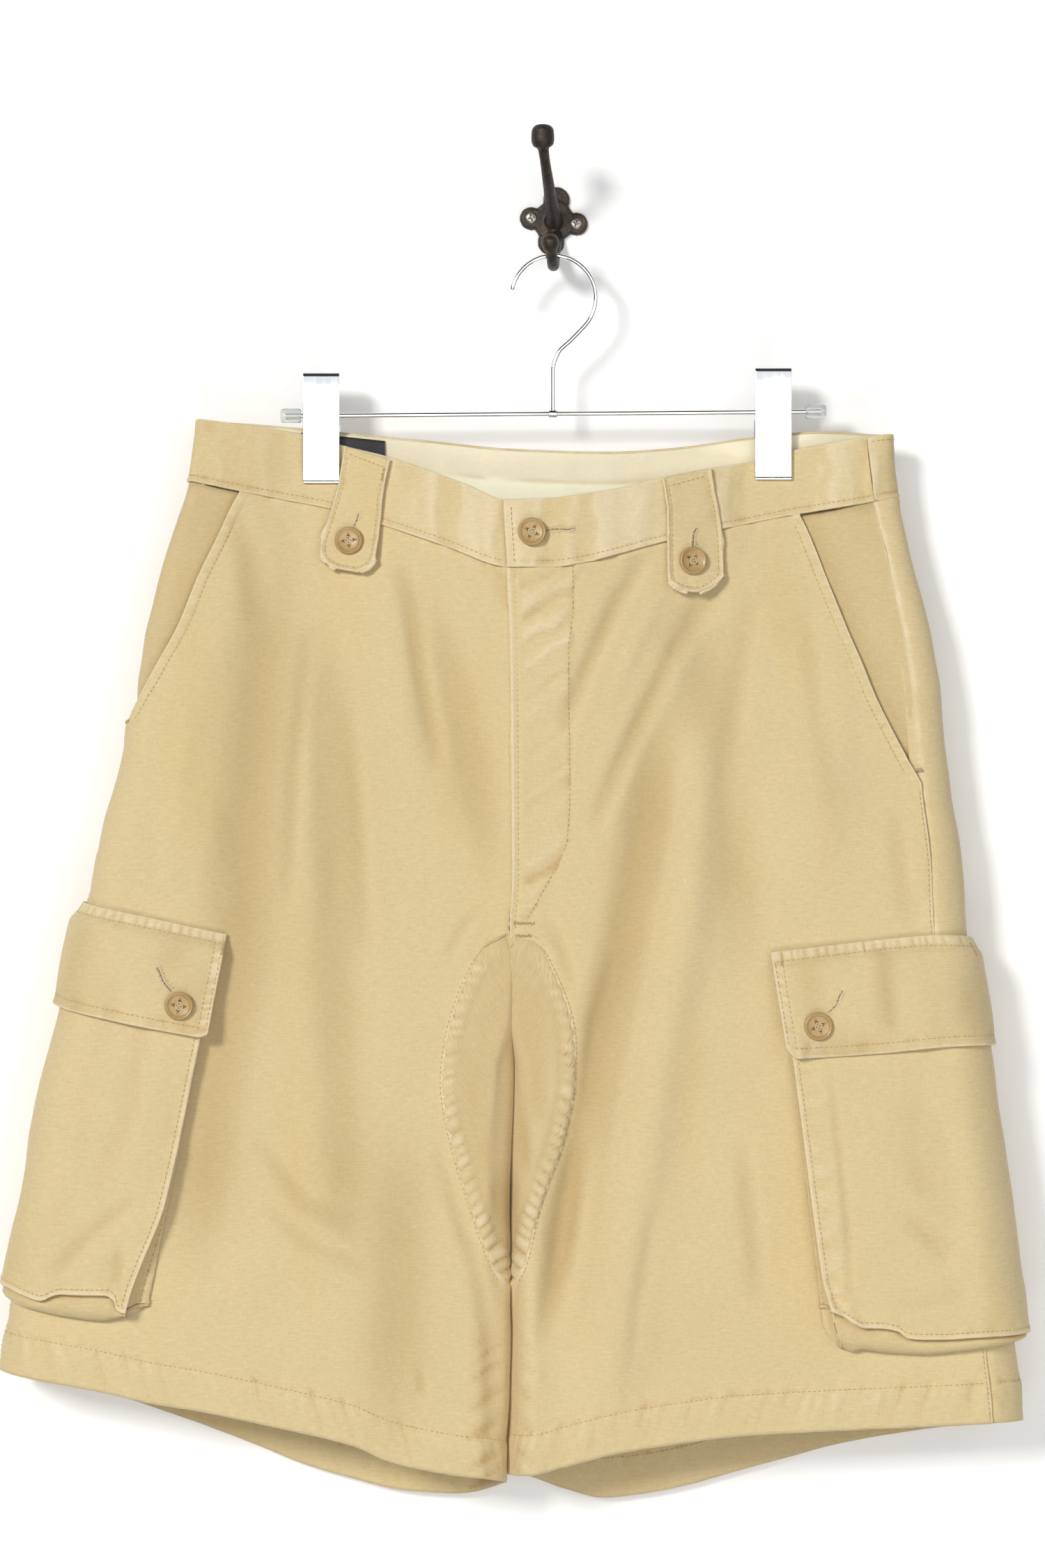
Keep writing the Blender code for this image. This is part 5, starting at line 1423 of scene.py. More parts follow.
def fly_underlap():
    """The strip behind the fly, under both fronts, with painted shade all over."""
    leg = LEGS["left"]
    z = np.linspace(-221, -392, 66)[:, None]
    q = leg.walk_to(middle(z) + np.linspace(0.4, 33, 14)[None, :], z)
    z = np.broadcast_to(z, q.shape)
    lift = -CLOTH - 0.6 - GAP - 1.0 * ramp(-z, 240, 290) + 0.2 * rumple(q, z, 14, 161)
    # An even painted shade, as the strip lies under the fronts.
    cloth("fly_underlap", *leg.laid(q, z, lift), wear=0, trough=0.6)


def pocket_facings():
    """The cloth that shows in each slant pocket, with painted shade inside, darkest near the mouth."""
    under_band = band_seam_moved(-GAP)
    columns = spaced(0, 1, 0.04, (0.0, 0.01, 0.03))
    for side, leg in LEGS.items():
        top_z, foot_z = edge_height(leg, leg.slant, under_band, SLANT_Z), leg.slant_foot - 4
        z = top_z + (foot_z - top_z) * np.linspace(0, 1, 66)
        outer = np.stack([leg.seam(z) + GAP, z], 1)
        inner = np.stack([leg.slant(z) + 12, z], 1)
        outer[0, 1] = edge_height(leg, leg.seam, under_band, BAND_Z)
        q, z = patch(leg, outer, inner, columns, under_band, lambda x, facing: np.full(x.shape, foot_z))
        x = leg.place(q, z)[0]
        clear = leg.slant(z) - q
        sunk = 2.2 * ramp(leg.slant_foot + 36 - z, 0, 26)
        walk = q - leg.seam(z)
        puckered = pucker(z, walk, 7, 9, 171)
        lift = -0.1 - (CLOTH + GAP + 0.9) * (1 - ramp(clear, 8, 34)) - sunk
        lift = lift + 0.5 * rumple(x, z, 17, 173) + 0.35 * puckered + 0.3 * bell(walk, 1.4)
        # Pale rubbed side seam with painted light and shade on its puckers, and painted shade inside the pocket,
        # darkest near the mouth.
        wear = 0.3 * puckered + 1.0 * bell(walk, 1.0) - 0.3 * bell(clear, 3)
        cloth(f"pocket_facing_{side}", *leg.laid(q, z, lift), wear=wear, trough=0.35 + 0.4 * bell(clear, 9))


# A bellows pocket's border, from its outline in: the share of the strip's width and the millimetres beyond it, then
# how much of the face's height it has and its own lift. The sides lie flat on the leg, and the foot bulges.
SIDE_BORDER = (
    (0, 0, 0, -0.2), (0, 0.3, 0, 0.5), (0.3, 0.5, 0, 0.95), (0.6, 0.5, 0, 0.9), (0.9, 0.6, 0, 0.5), (1, 2.4, 0.12, 0),
    (1, 1.8, 0.5, 0), (1, 0.7, 0.78, 0), (1, 0, 0.92, 0), (1, 0.1, 1, 0.15), (1, 0.9, 1, 0.45), (1, 2.0, 1, 0.2),
    (1, 3.2, 1, -0.1), (1, 4.6, 1, 0),
)
FOOT_BORDER = (
    (0, 0, 0, -0.2), (0, 0.4, 0.25, 0), (0.12, 0.5, 0.5, 0), (0.35, 0.5, 0.72, 0), (0.65, 0.5, 0.72, 0),
    (0.9, 0.5, 0.55, 0), (1, 2.2, 0.35, 0), (1, 1.8, 0.6, 0), (1, 0.7, 0.85, 0), (1, 0, 0.95, 0), (1, 0.1, 1, 0.15),
    (1, 0.9, 1, 0.45), (1, 2.0, 1, 0.2), (1, 3.2, 1, -0.1), (1, 4.6, 1, 0),
)
# The strip beside the face at each height, and the lower edges of the face and of the bellows at each walk.
CARGO_EDGES = {
    "right": {
        "strip": smooth((-470, -560, -600, -615, -632, -645, -660), (0.8, 1.3, 2.0, 4.0, 7.5, 10.0, 11.5)),
        "face_foot": smooth(
            (92, 87, 82, 79, 73, 60, 46, 41, 36, 30, 18, 0, -60),
            (-660, -663, -661.5, -655.5, -652.4, -652.4, -652, -653.2, -656, -654.4, -651, -650, -650),
        ),
        "foot": smooth((99, 94, 84, 74, 50, 26, 5, -40), (-656, -662, -666.5, -668.6, -666, -661.3, -658, -657)),
    },
    "left": {
        "strip": smooth((-500, -600, -640, -660, -672, -690), (0.8, 1.2, 2.0, 5.0, 8.0, 8.0)),
        "face_foot": smooth(
            (128, 119, 113, 108, 95, 87, 83, 76, 61, 37, 0, -60),
            (-661, -665, -669, -671.5, -672, -674, -677.4, -678.4, -678.6, -677.4, -678.6, -679),
        ),
        "foot": smooth(
            (131.5, 127, 120, 115, 110, 97, 73, 49, 25, 0, -60),
            (-671, -679, -685, -687, -685.6, -687.4, -688.8, -687, -684, -682.6, -683),
        ),
    },
}


def cargo_grid(leg):
    """A cargo pocket's columns and rows as places, with how much of the face's height each has and its own lift."""
    cargo, edges = CARGO[leg.side], CARGO_EDGES[leg.side]
    first, last = cargo["front"], cargo["front"] - POCKET_WIDTH
    part, beyond, height, rise = np.array(SIDE_BORDER).T
    inside = np.linspace(0, 1, round((POCKET_WIDTH - 24) / 1.9))[1:-1]
    ones = np.ones(len(inside))
    share_across = np.concatenate([height, ones, height[::-1]])
    rise_across = np.concatenate([rise, 0 * ones, rise[::-1]])
    part_down, beyond_down, height_down, rise_down = np.array(FOOT_BORDER).T
    rows = 107  # down the face, above the foot's border
    down = np.concatenate([np.linspace(0, 1, rows + 1)[:-1], np.ones(len(part_down))])
    share_down = np.concatenate([np.ones(rows), height_down[::-1]])[:, None]
    own_down = np.concatenate([np.zeros(rows), rise_down[::-1]])[:, None]
    q = np.linspace(first, last, len(share_across))[None, :] + 0 * down[:, None]
    for _ in range(3):
        mouth, face_foot, foot = cargo_line(cargo, "mouth", q), edges["face_foot"](q), edges["foot"](q)
        z = mouth + (face_foot + beyond_down[-1] - mouth) * down[:, None]
        z[rows:] = foot[rows:] + (face_foot - foot)[rows:] * part_down[::-1, None] + beyond_down[::-1, None]
        strip = edges["strip"](z[:, :1])
        front = first - part[None, :] * strip - beyond[None, :]
        back = last + part[None, ::-1] * BACK_STRIP + beyond[None, ::-1] + 0 * strip
        q = np.concatenate([front, front[:, -1:] + (back[:, :1] - front[:, -1:]) * inside[None, :], back], 1)
    share = np.minimum(share_across[None, :], share_down)
    own = np.where(share_across[None, :] < share_down, rise_across[None, :], own_down)
    own = np.where(share_across[None, :] == share_down, np.maximum(rise_across[None, :], own_down), own)
    return q, z, share, own


def cargo_lift(leg, q, z, share, own):
    """The outer face of a cargo pocket, with its folds and the crumpled corner at its foot, and how it is painted: pale
    rubbed edges with painted light and shade on their puckers, and painted shade in its hollows.
    """
    cargo, edges = CARGO[leg.side], CARGO_EDGES[leg.side]
    mouth, face_foot = cargo_line(cargo, "mouth", q), edges["face_foot"](q)
    down = np.clip((mouth - z) / (mouth - face_foot), 0, 1)
    front_edge, foot_edge = cargo["front"] - q - edges["strip"](z), z - face_foot
    seed = SEEDS["pocket"][leg.side]
    wide = 1.2 * rumple(q * 0.8, z * 0.7, 38, seed) + 0.6 * rumple(q, z * 0.8, 15, seed + 1)
    corner = bell(np.hypot(front_edge - 4, foot_edge - 4), 20)
    crumple = 2.4 * corner * rumple(q + 0.6 * z, z - 0.6 * q, 8, seed + 2)
    edge_front = pucker(z, front_edge - 3, 7, 11, seed + 3)
    edge_foot = pucker(q, foot_edge - 3, 7, 11, seed + 5)
    crease, ripple = np.zeros(q.shape), np.zeros(q.shape)
    for deep, half_width, line in CARGO_CREASES[leg.side]:
        crease += one_crease(q, z, deep, half_width, line, 0.4, 2)
    face = share * (wide * ramp(down, 0.0, 0.25) + crumple + crease + 0.6 * edge_front + 0.6 * edge_foot)
    if leg.side == "left":
        ripple = share * gathers(z + 0.3 * q, 15, seed + 8) * bell(front_edge - 9, 8) * ramp(down, 0.1, 0.3)
        face = face + 0.9 * ripple
    flat = share < 0.02
    strip = 0.3 * flat * gathers(z, 7, seed + 7)
    lift = GAP + 0.2 + CLOTH + (pocket_lift(q, down) - GAP) * share + own + face + strip
    fold = (own > 0.1) * (share > 0.9)
    # Pale rubbed edges and fold edges, with painted light and shade on the edge puckers and strip gathers.
    wear = share * (0.35 * edge_front + 0.35 * edge_foot) + 0.95 * fold * own / 0.45 + strip * 1.2 + 0.5 * ripple
    # Painted shade in the creases and wide hollows, on the bellows' inner walls, on the strip and below the face's
    # foot.
    inner = (share > 0.05) & (share < 0.9) & (foot_edge > -1)
    trough = np.clip(-0.30 * crease - 0.12 * wide, 0, 1) * share + 0.7 * inner
    return lift, wear, trough + 0.1 * flat + 0.25 * (foot_edge < -1) * (share > 0.02)


# A cargo pocket's creases: depth (negative sinks in), half width, and the line they follow in (q, z).
CARGO_CREASES = {
    "right": (
        (-1.5, 5, ((80, -594), (68, -604), (54, -619), (38, -640))), (1.2, 7, ((88, -608), (74, -622), (58, -640))),
        (-1.0, 7, ((60, -470), (66, -540), (54, -590))), (1.2, 8, ((20, -480), (24, -560), (18, -620))),
        (-1.2, 8, ((-30, -480), (-40, -560), (-36, -620))), (-1.8, 3, ((75, -618), (78, -636), (77, -652))),
    ),
    "left": (
        (-1.1, 2.2, ((108, -508), (109, -560), (110, -610), (113, -660))),
        (-0.8, 9, ((60, -510), (66, -570), (58, -640))), (1.3, 9, ((34, -515), (30, -590), (38, -660))),
        (-1.2, 8, ((0, -520), (-8, -590), (-2, -650))), (-1.0, 6, ((52, -628), (66, -616), (84, -596))),
        (-1.0, 6, ((40, -648), (64, -656), (92, -660))),
    ),
}


def cargo_pockets():
    """Bellows pockets: a face that stands out over a strip sewn to the leg."""
    for side, leg in LEGS.items():
        q, z, share, own = cargo_grid(leg)
        lift, wear, trough = cargo_lift(leg, q, z, share, own)
        cloth(f"cargo_pocket_{side}", *leg.laid(q, z, lift), POCKET_CLOTH, wear=wear, trough=trough)


def flap_base(leg, q, z):
    """A cargo flap's outer face before its wrinkles: sewn to the leg along its top, over the pocket below."""
    cargo = CARGO[leg.side]
    top = cargo_line(cargo, "flap_top", q)
    mouth, face_foot = cargo_line(cargo, "mouth", q), cargo_line(cargo, "face_foot", q)
    over_pocket = pocket_lift(q, np.clip((mouth - z) / (mouth - face_foot), 0, 1)) + CLOTH + 2 * GAP + 1.0
    sewn = ramp(top - z, 0, 13)
    return GAP + 0.8 + (over_pocket - GAP - 0.4) * sewn + DOUBLE_CLOTH


def flap_lift(leg, q, z):
    """A cargo flap's outer face, and how pale or dark it is painted: rubbed pale edges, painted light and shade on its
    waves, and painted shade in the grooves at its stitch lines.
    """
    cargo = CARGO[leg.side]
    top, foot = cargo_line(cargo, "flap_top", q), flap_foot(leg, q)
    front = cargo["front"] + FLAP_OVER
    left, right, low, high = front - q, q - (front - FLAP_WIDTH), z - foot, top - z
    edge = np.minimum(np.minimum(left, right), low)
    seed = SEEDS["flap"][leg.side]
    side_waves = gathers(z + 0.2 * left, 6.5, seed) * bell(left - 3, 4) * ramp(high, 6, 12)
    foot_waves = pucker(q, low - 4, 7, 9, seed + 2)
    top_waves = gathers(q, 5.6, seed + 4) * bell(high - 3.2, 2.8)
    lift = flap_base(leg, q, z) + 1.5 * rumple(q * 1.3, z * 0.7, 24, seed + 6) * ramp(high, 2, 16)
    lift = lift + 0.5 * side_waves + 0.6 * foot_waves + 0.8 * top_waves + 0.35 * bell(edge - 1.0, 0.9)
    lift = lift - 0.4 * bell(high - 6.2, 1.2) - 0.35 * bell(low - 6.0, 1.1) - 0.35 * bell(left - 6.3, 1.1)
    corner = bell(np.hypot(left, low), 16)
    lift = lift + 2.4 * corner - edge_drop(edge, 0.8) - edge_drop(high, 0.7)
    # Pale rubbed edges and top, painted light and shade on the waves, and painted shade in the grooves at the stitch
    # lines.
    wear = 0.85 * bell(edge - 0.4, 1.0) + 1.1 * side_waves + 0.5 * foot_waves + 1.6 * top_waves + 0.4 * bell(high, 1.2)
    return lift, wear - 0.3 * bell(high - 6.2, 1.1) - 0.3 * bell(low - 6.0, 1.1)


def flap_foot(leg, q):
    """The height of a flap's lower edge, a little rounded at its front corner."""
    cargo = CARGO[leg.side]
    front = cargo["front"] + FLAP_OVER
    bow = 1.4 * np.sin(math.pi * np.clip((front - q) / (FLAP_WIDTH / 2), 0, 1))
    corner = (7.0 if leg.side == "left" else 3.0) * np.clip(1 - (front - q) / 7.0, 0, 1) ** 2.2
    return cargo_line(cargo, "flap_bottom", q) - bow + corner


def flap_trough(leg, q, z):
    """Painted shade on a flap: darker in the hollows of its wide ripples, and down one soft fold on the left flap."""
    x = leg.place(q, z)[0]
    trough = 0.15 - 0.35 * rumple(q * 1.3, z * 0.7, 24, SEEDS["flap"][leg.side] + 6)
    if leg.side == "left":
        fold = 0.6 * bell(x - 198 + 0.1 * (z + 470), 6)
        trough = trough + fold * ramp(z, -505, -480) * (1 - ramp(z, -450, -438))
    return np.clip(trough, 0, 1)


def cargo_flaps():
    """Flaps over the cargo pockets."""
    for side, leg in LEGS.items():
        cargo = CARGO[side]
        front = cargo["front"] + FLAP_OVER
        q = spaced(front, front - FLAP_WIDTH, FINE, (0.0, 0.3, 0.6, 1.0, 1.6, 2.6))[None, :]
        down = spaced(0, 1, 0.028, (0.0, 0.005, 0.01, 0.017, 0.027, 0.04))[:, None]
        top, foot = cargo_line(cargo, "flap_top", q), flap_foot(leg, q)
        z = top + (foot - top) * down
        q = np.broadcast_to(q, z.shape)
        lift, wear = flap_lift(leg, q, z)
        trough = flap_trough(leg, q, z)
        cloth(f"cargo_flap_{side}", *leg.laid(q, z, lift), DOUBLE_CLOTH, wear=wear, trough=trough)


# A waist tab's two edges, from its top corners to its foot.
TAB_EDGES = {
    "right": (
        (
            (-127.2, -141.5), (-131, -164.7), (-136.5, -184.1), (-141.5, -201), (-142, -207.7), (-137.7, -214),
            (-131, -217.8),
        ),
        (
            (-98.1, -150.8), (-102.3, -171.4), (-104.4, -192.5), (-105.6, -203), (-106.6, -209.4), (-109.9, -216.1),
            (-118.4, -219.9),
        ),
    ),
    "left": (
        ((64.1, -162.8), (67, -181.7), (67, -202.3), (67, -216.7), (67.5, -224.7), (73.8, -229.7), (80, -231.4)),
        ((94, -155.6), (96.1, -167.8), (99.9, -188.4), (101.6, -209.5), (101.6, -220), (93.6, -228.5), (85.1, -231.8)),
    ),
}


def tab_grid(side):
    """(x, z) all over a waist tab."""
    edges = []
    down = spaced(0, 1, 0.018, (0.0, 0.004, 0.008, 0.013, 0.02))
    for line in TAB_EDGES[side]:
        path = soft_path(line, 0.5)
        run = np.concatenate([[0], np.cumsum(np.hypot(*np.diff(path, axis=0).T))])
        edges.append(read_along(down * run[-1], run, path))
    across = spaced(0, 1, 0.045, (0.0, 0.012, 0.025, 0.04, 0.06, 0.09))[None, :, None]
    grid = edges[0][:, None] * (1 - across) + edges[1][:, None] * across
    return grid[..., 0], grid[..., 1]


def tab_lift(side, x, z):
    """The outer face of a waist tab, curling at its foot, and how pale or dark it is painted: rubbed pale and frayed
    edges, painted light and shade on its waves, and painted shade in the groove at its stitch line.
    """
    left, right = TAB_EDGES[side]
    outline = [*left, *right[::-1]]
    edge, at, _, _ = along_line(x, z, outline)
    foot = left[-1][1]
    high = left[0][1] + (right[0][1] - left[0][1]) * (x - left[0][0]) / (right[0][0] - left[0][0]) - z
    seed = SEEDS["tab"][side]
    waves = pucker(at, edge - 3, 5, 6, seed)
    lift = BAND_LIFT + GAP + 0.5 + DOUBLE_CLOTH + TAB_CURL * ramp(-z, -foot - 24, -foot)
    lift = lift + 0.6 * rumple(x, z, 13, seed + 2) + 0.5 * waves + 0.7 * bell(edge - 0.9, 0.8)
    lift = lift - 0.45 * bell(edge - 3.2, 0.9) - edge_drop(edge, 0.7) - edge_drop(high, 0.9)
    frayed = 0.7 * wander(at, 4.0, seed + 4) * bell(z - foot, 6) * bell(edge, 3)
    # Pale rubbed edge, painted light and shade on the waves, uneven tone on the frayed foot, and painted shade in the
    # groove at the stitch line.
    wear = 0.95 * bell(edge - 0.5, 0.9) + 0.3 * waves - 0.3 * bell(edge - 3.2, 0.9) + 0.3 * frayed
    return lift + frayed, wear


def waist_tabs():
    """Buttoned tabs over the waistband, with a rounded foot."""
    for side, leg in LEGS.items():
        x, z = tab_grid(side)
        q = leg.walk_to(x, z)
        lift, wear = tab_lift(side, x, z)
        # A faint even painted shade on the tabs.
        cloth(f"waist_tab_{side}", *leg.laid(q, z, lift), DOUBLE_CLOTH, wear=wear, trough=0.05)


def label():
    """A plain label on the facing, behind the right-hand clip."""
    leg = LEGS["right"]
    x = spaced(*LABEL_X, 2.0, (0.0, 0.4, 1.0))[None, :]
    z = top_back(x) - 3 - LABEL_DEPTH * np.linspace(0, 1, 12)[:, None]
    x = np.broadcast_to(x, z.shape)
    q = leg.walk_to(x, z, -1)
    lift = BAND_LIFT - DOUBLE_CLOTH - GAP - FACING - GAP - 0.5 + 0.25 * rumple(x, z, 9, 321)
    cloth("label", *leg.laid(q, z, lift), LABEL_CLOTH, "label")


def turned(profile, segments):
    """A bmesh turned round z from (radius, height) pairs that start and end on the axis."""
    bm = bmesh.new()
    verts = [bm.verts.new((r, 0, h)) for r, h in profile]
    edges = [bm.edges.new(pair) for pair in zip(verts, verts[1:])]
    bmesh.ops.spin(
        bm, geom=verts + edges, cent=(0, 0, 0), axis=(0, 0, 1), angle=2 * math.pi, steps=segments, use_merge=True
    )
    bmesh.ops.remove_doubles(bm, verts=bm.verts, dist=0.001)
    return bm


def solid(name, bm, finish_name, nodes=(), sharp=35):
    """A hard piece from a bmesh in millimetres."""
    bmesh.ops.transform(bm, matrix=Matrix.Scale(MM, 4), verts=bm.verts)
    bmesh.ops.recalc_face_normals(bm, faces=bm.faces)
    made = fresh(name, bm)
    made.data.set_sharp_from_angle(angle=math.radians(sharp))
    return hold(made, finish_name, nodes)


def cut_out(made, name, cutter_bm, use_self=False):
    """Cuts the shape of a bmesh in millimetres out of a piece."""
    bmesh.ops.transform(cutter_bm, matrix=Matrix.Scale(MM, 4), verts=cutter_bm.verts)
    cutter = fresh(name, cutter_bm)
    cut = made.modifiers.new("cut", "BOOLEAN")
    cut.operation, cut.object, cut.solver, cut.use_self = "DIFFERENCE", cutter, "EXACT", use_self
    bpy.context.view_layer.update()
    cut_mesh = bpy.data.meshes.new_from_object(made.evaluated_get(bpy.context.evaluated_depsgraph_get()))
    made.modifiers.clear()
    made.data = cut_mesh
    bpy.data.objects.remove(cutter)


def append(bm, other):
    """Adds another bmesh's shape to this one."""
    mesh = bpy.data.meshes.new("part")
    other.to_mesh(mesh)
    other.free()
    bm.from_mesh(mesh)
    bpy.data.meshes.remove(mesh)


def button_place(name):
    """Where a button sits on its cloth, in millimetres."""
    side, x, z = BUTTONS[name]
    leg = LEGS[side]
    x, z = np.array(float(x)), np.array(float(z))
    q = leg.walk_to(x, z)
    if "tab" in name:
        lift = tab_lift(side, x, z)[0] + 0.5
    elif "flap" in name:
        lift = flap_lift(leg, q, z)[0] + 0.3
    else:
        lift = band_lift(leg, q, z, SEEDS["band"][side])[0] + 0.9
    return Matrix.Translation(Vector(leg.out(q, z, lift))) @ turned_to(leg.normal(q, z))


HOLES = ((-1.75, -1.75), (1.75, -1.75), (-1.75, 1.75), (1.75, 1.75))
HOLE_PAIRS = ((0, 1), (2, 3), (0, 2), (1, 3))  # the holes that the thread joins
STRAND_R = 0.17
# How far each button is turned on its thread.
TURNS = {
    "button_waist": 0.3, "button_tab_right": 0.9, "button_tab_left": 0.15, "button_flap_right": 0.6,
    "button_flap_left": -0.35,
}


def buttons():
    """Four-hole buttons with a raised rim, and the thread through them."""
    profile = (
        (0, 0), (6.6, 0), (7.9, 0.5), (8.5, 1.3), (8.5, 2.1), (8.15, 2.8), (7.6, 3.05), (6.9, 2.85), (6.3, 2.3),
        (5.6, 2.0), (3.2, 2.0), (2.6, 1.85), (0, 1.85),
    )
    for name in BUTTONS:
        place = button_place(name) @ Matrix.Rotation(TURNS[name], 4, "Z")
        bm = turned(profile, 48)
        bmesh.ops.transform(bm, matrix=place, verts=bm.verts)
        made = solid(f"{name}_horn", bm, "button", (name,))
        holes = bmesh.new()
        for x, y in HOLES:
            bmesh.ops.create_cone(
                holes, cap_ends=True, segments=20, radius1=1.0, radius2=1.0, depth=5,
                matrix=place @ Matrix.Translation((x, y, 1.5)),
            )
        cut_out(made, f"{name}_holes", holes)
        thread = bmesh.new()
        for first, second in HOLE_PAIRS:
            (ax, ay), (bx, by) = HOLES[first], HOLES[second]
            for shift in (-0.22, 0.22):
                dx, dy = (shift, 0) if ax == bx else (0, shift)
                path = [(ax, ay, 0.6), (ax + dx, ay + dy, 2.0), (bx + dx, by + dy, 2.05), (bx, by, 0.6)]
                path = soft_path(path, 0.5)
                append(thread, tube(path, [STRAND_R] * len(path), 6))
        bmesh.ops.transform(thread, matrix=place, verts=thread.verts)
        solid(f"{name}_thread", thread, "pale_thread", sharp=180)


ROD_ENDS = ((-163.0, ROD_Y, -122.9), (162.0, ROD_Y, -120.3))
HOOK_CENTRE = (-0.4, -51.0)
HOOK_R = 25.6
STEM_X = -0.8
TUBE_SIDES = 24


def rod_at(x):
    """The rod's height at an x."""
    (x0, _, z0), (x1, _, z1) = ROD_ENDS
    return z0 + (z1 - z0) * (x - x0) / (x1 - x0)


def hanger():
    """The hook's wire and the rod."""
    angles = [math.radians(a) for a in range(168, -46, -4)]
    arc = [(HOOK_CENTRE[0] + HOOK_R * math.cos(a), ROD_Y, HOOK_CENTRE[1] + HOOK_R * math.sin(a)) for a in angles]
    stem = [(10.5, -76.5), (2.5, -84.5), (STEM_X, -95), (STEM_X, -121.6)]
    stem = soft_path([arc[-1], *((x, ROD_Y, z) for x, z in stem)], 1.5)
    path = np.concatenate([arc, stem[1:]])
    radii = [ROD_R] * len(path)
    ahead = path[0] - path[1]
    ahead /= np.linalg.norm(ahead)
    path = np.concatenate([[path[0] + ahead * 0.9, path[0] + ahead * 0.5], path])
    wire = tube(path, [0.35, 1.1, *radii], TUBE_SIDES)
    append(wire, tube(ROD_ENDS, [ROD_R, ROD_R], TUBE_SIDES))
    collar = turned(((0, -2.6), (2.0, -2.6), (2.3, -2.2), (2.3, 2.2), (2.0, 2.6), (0, 2.6)), TUBE_SIDES)
    place = Matrix.Translation((STEM_X, ROD_Y, rod_at(STEM_X))) @ turned_to((1, 0, 0))
    bmesh.ops.transform(collar, matrix=place, verts=collar.verts)
    append(wire, collar)
    solid("hanger_wire", wire, "chrome", ("hanger_frame",))


def clips():
    """Folded plates that ride on the rod and hold the waistband between two jaws."""
    jaw = PINCH + 0.6 + GAP + 0.3
    plate_in, plate_out = jaw + 1.6, jaw + 2.8
    for side, (x, top, bottom) in CLIPS.items():
        half = [(plate_out, bottom + 3.2), (plate_out, top - 3)]
        half += [(plate_out - 3 + 3 * math.cos(a), top - 3 + 3 * math.sin(a)) for a in np.radians((22, 45, 67, 90))]
        half.insert(0, (plate_out - 0.9, bottom))
        half.insert(1, (plate_out - 0.4, bottom + 0.9))
        inner = [(plate_in, rod_at(x) - 5), (plate_in, bottom + 10.5), (jaw, bottom + 9), (jaw, bottom)]
        outline = half + [(-y, z) for y, z in half[::-1]] + [(-y, z) for y, z in inner[::-1]] + inner
        bm = bmesh.new()
        face = bm.faces.new([bm.verts.new((x - CLIP_WIDTH / 2, ROD_Y + y, z)) for y, z in outline])
        made = bmesh.ops.extrude_face_region(bm, geom=[face], use_keep_orig=True)
        moved = [g for g in made["geom"] if isinstance(g, bmesh.types.BMVert)]
        bmesh.ops.translate(bm, verts=moved, vec=(CLIP_WIDTH, 0, 0))
        clip = solid(f"clip_{side}_plate", bm, "chrome", (f"clip_{side}",), sharp=25)
        soft = clip.modifiers.new("edges", "BEVEL")
        soft.width, soft.segments, soft.limit_method = 0.45 * MM, 3, "ANGLE"
        soft.harden_normals = True


def end_caps():
    """Soft clear caps on the rod's ends."""
    bore = ROD_R + 0.15
    profile = (
        (0, 9.5), (bore, 9.5), (bore, 0), (3.6, 0), (4.1, 0.3), (4.4, 0.9), (4.4, 10.6), (4.2, 11.6), (3.6, 12.3),
        (2.4, 12.6), (0, 12.6),
    )
    for side, end, away in (("right", ROD_ENDS[0], -1), ("left", ROD_ENDS[1], 1)):
        cap = turned(profile, 40)
        place = Matrix.Translation((end[0] - away * 9.1, end[1], end[2])) @ turned_to((away, 0, 0))
        bmesh.ops.transform(cap, matrix=place, verts=cap.verts)
        solid(f"end_cap_{side}_clear", cap, "clear_plastic", (f"end_cap_{side}",))


PLATE_TURN = math.radians(-7)
PLATE_THICK = 3.2
LOBES = ((14.0, 0.0, 7.4), (-14.0, 0.0, 7.4), (0.0, 13.0, 8.6), (0.0, -13.0, 8.6), (0.0, 0.0, 13.0))  # x, z, radius
# The prongs' middle lines with their radius: x, y, z, radius.
PRONGS = (
    (
        (0.0, -1.5, -2.0, 5.5), (-0.4, -9.0, 1.5, 4.6), (-2.0, -24.0, 9.0, 3.9), (-4.0, -42.0, 19.0, 3.4),
        (-5.8, -54.0, 28.5, 3.1), (-6.8, -59.0, 35.0, 3.4), (-6.9, -59.5, 36.2, 6.0), (-7.1, -60.2, 39.5, 7.0),
        (-7.2, -60.8, 45.0, 6.8), (-7.3, -61.0, 48.2, 4.5), (-7.3, -61.0, 48.8, 1.5),
    ),
    (
        (0.0, -1.5, -9.0, 5.0), (-0.1, -7.0, -17.5, 4.4), (-0.3, -15.0, -25.6, 3.9), (-0.5, -25.0, -30.6, 3.7),
        (-0.8, -31.0, -30.8, 3.6), (-1.4, -38.5, -28.2, 3.4), (-2.0, -42.5, -24.2, 3.6), (-2.3, -44.0, -22.2, 4.9),
        (-2.5, -45.5, -19.4, 5.4), (-2.7, -47.0, -16.6, 4.4), (-2.8, -47.8, -15.2, 1.8),
    ),
)


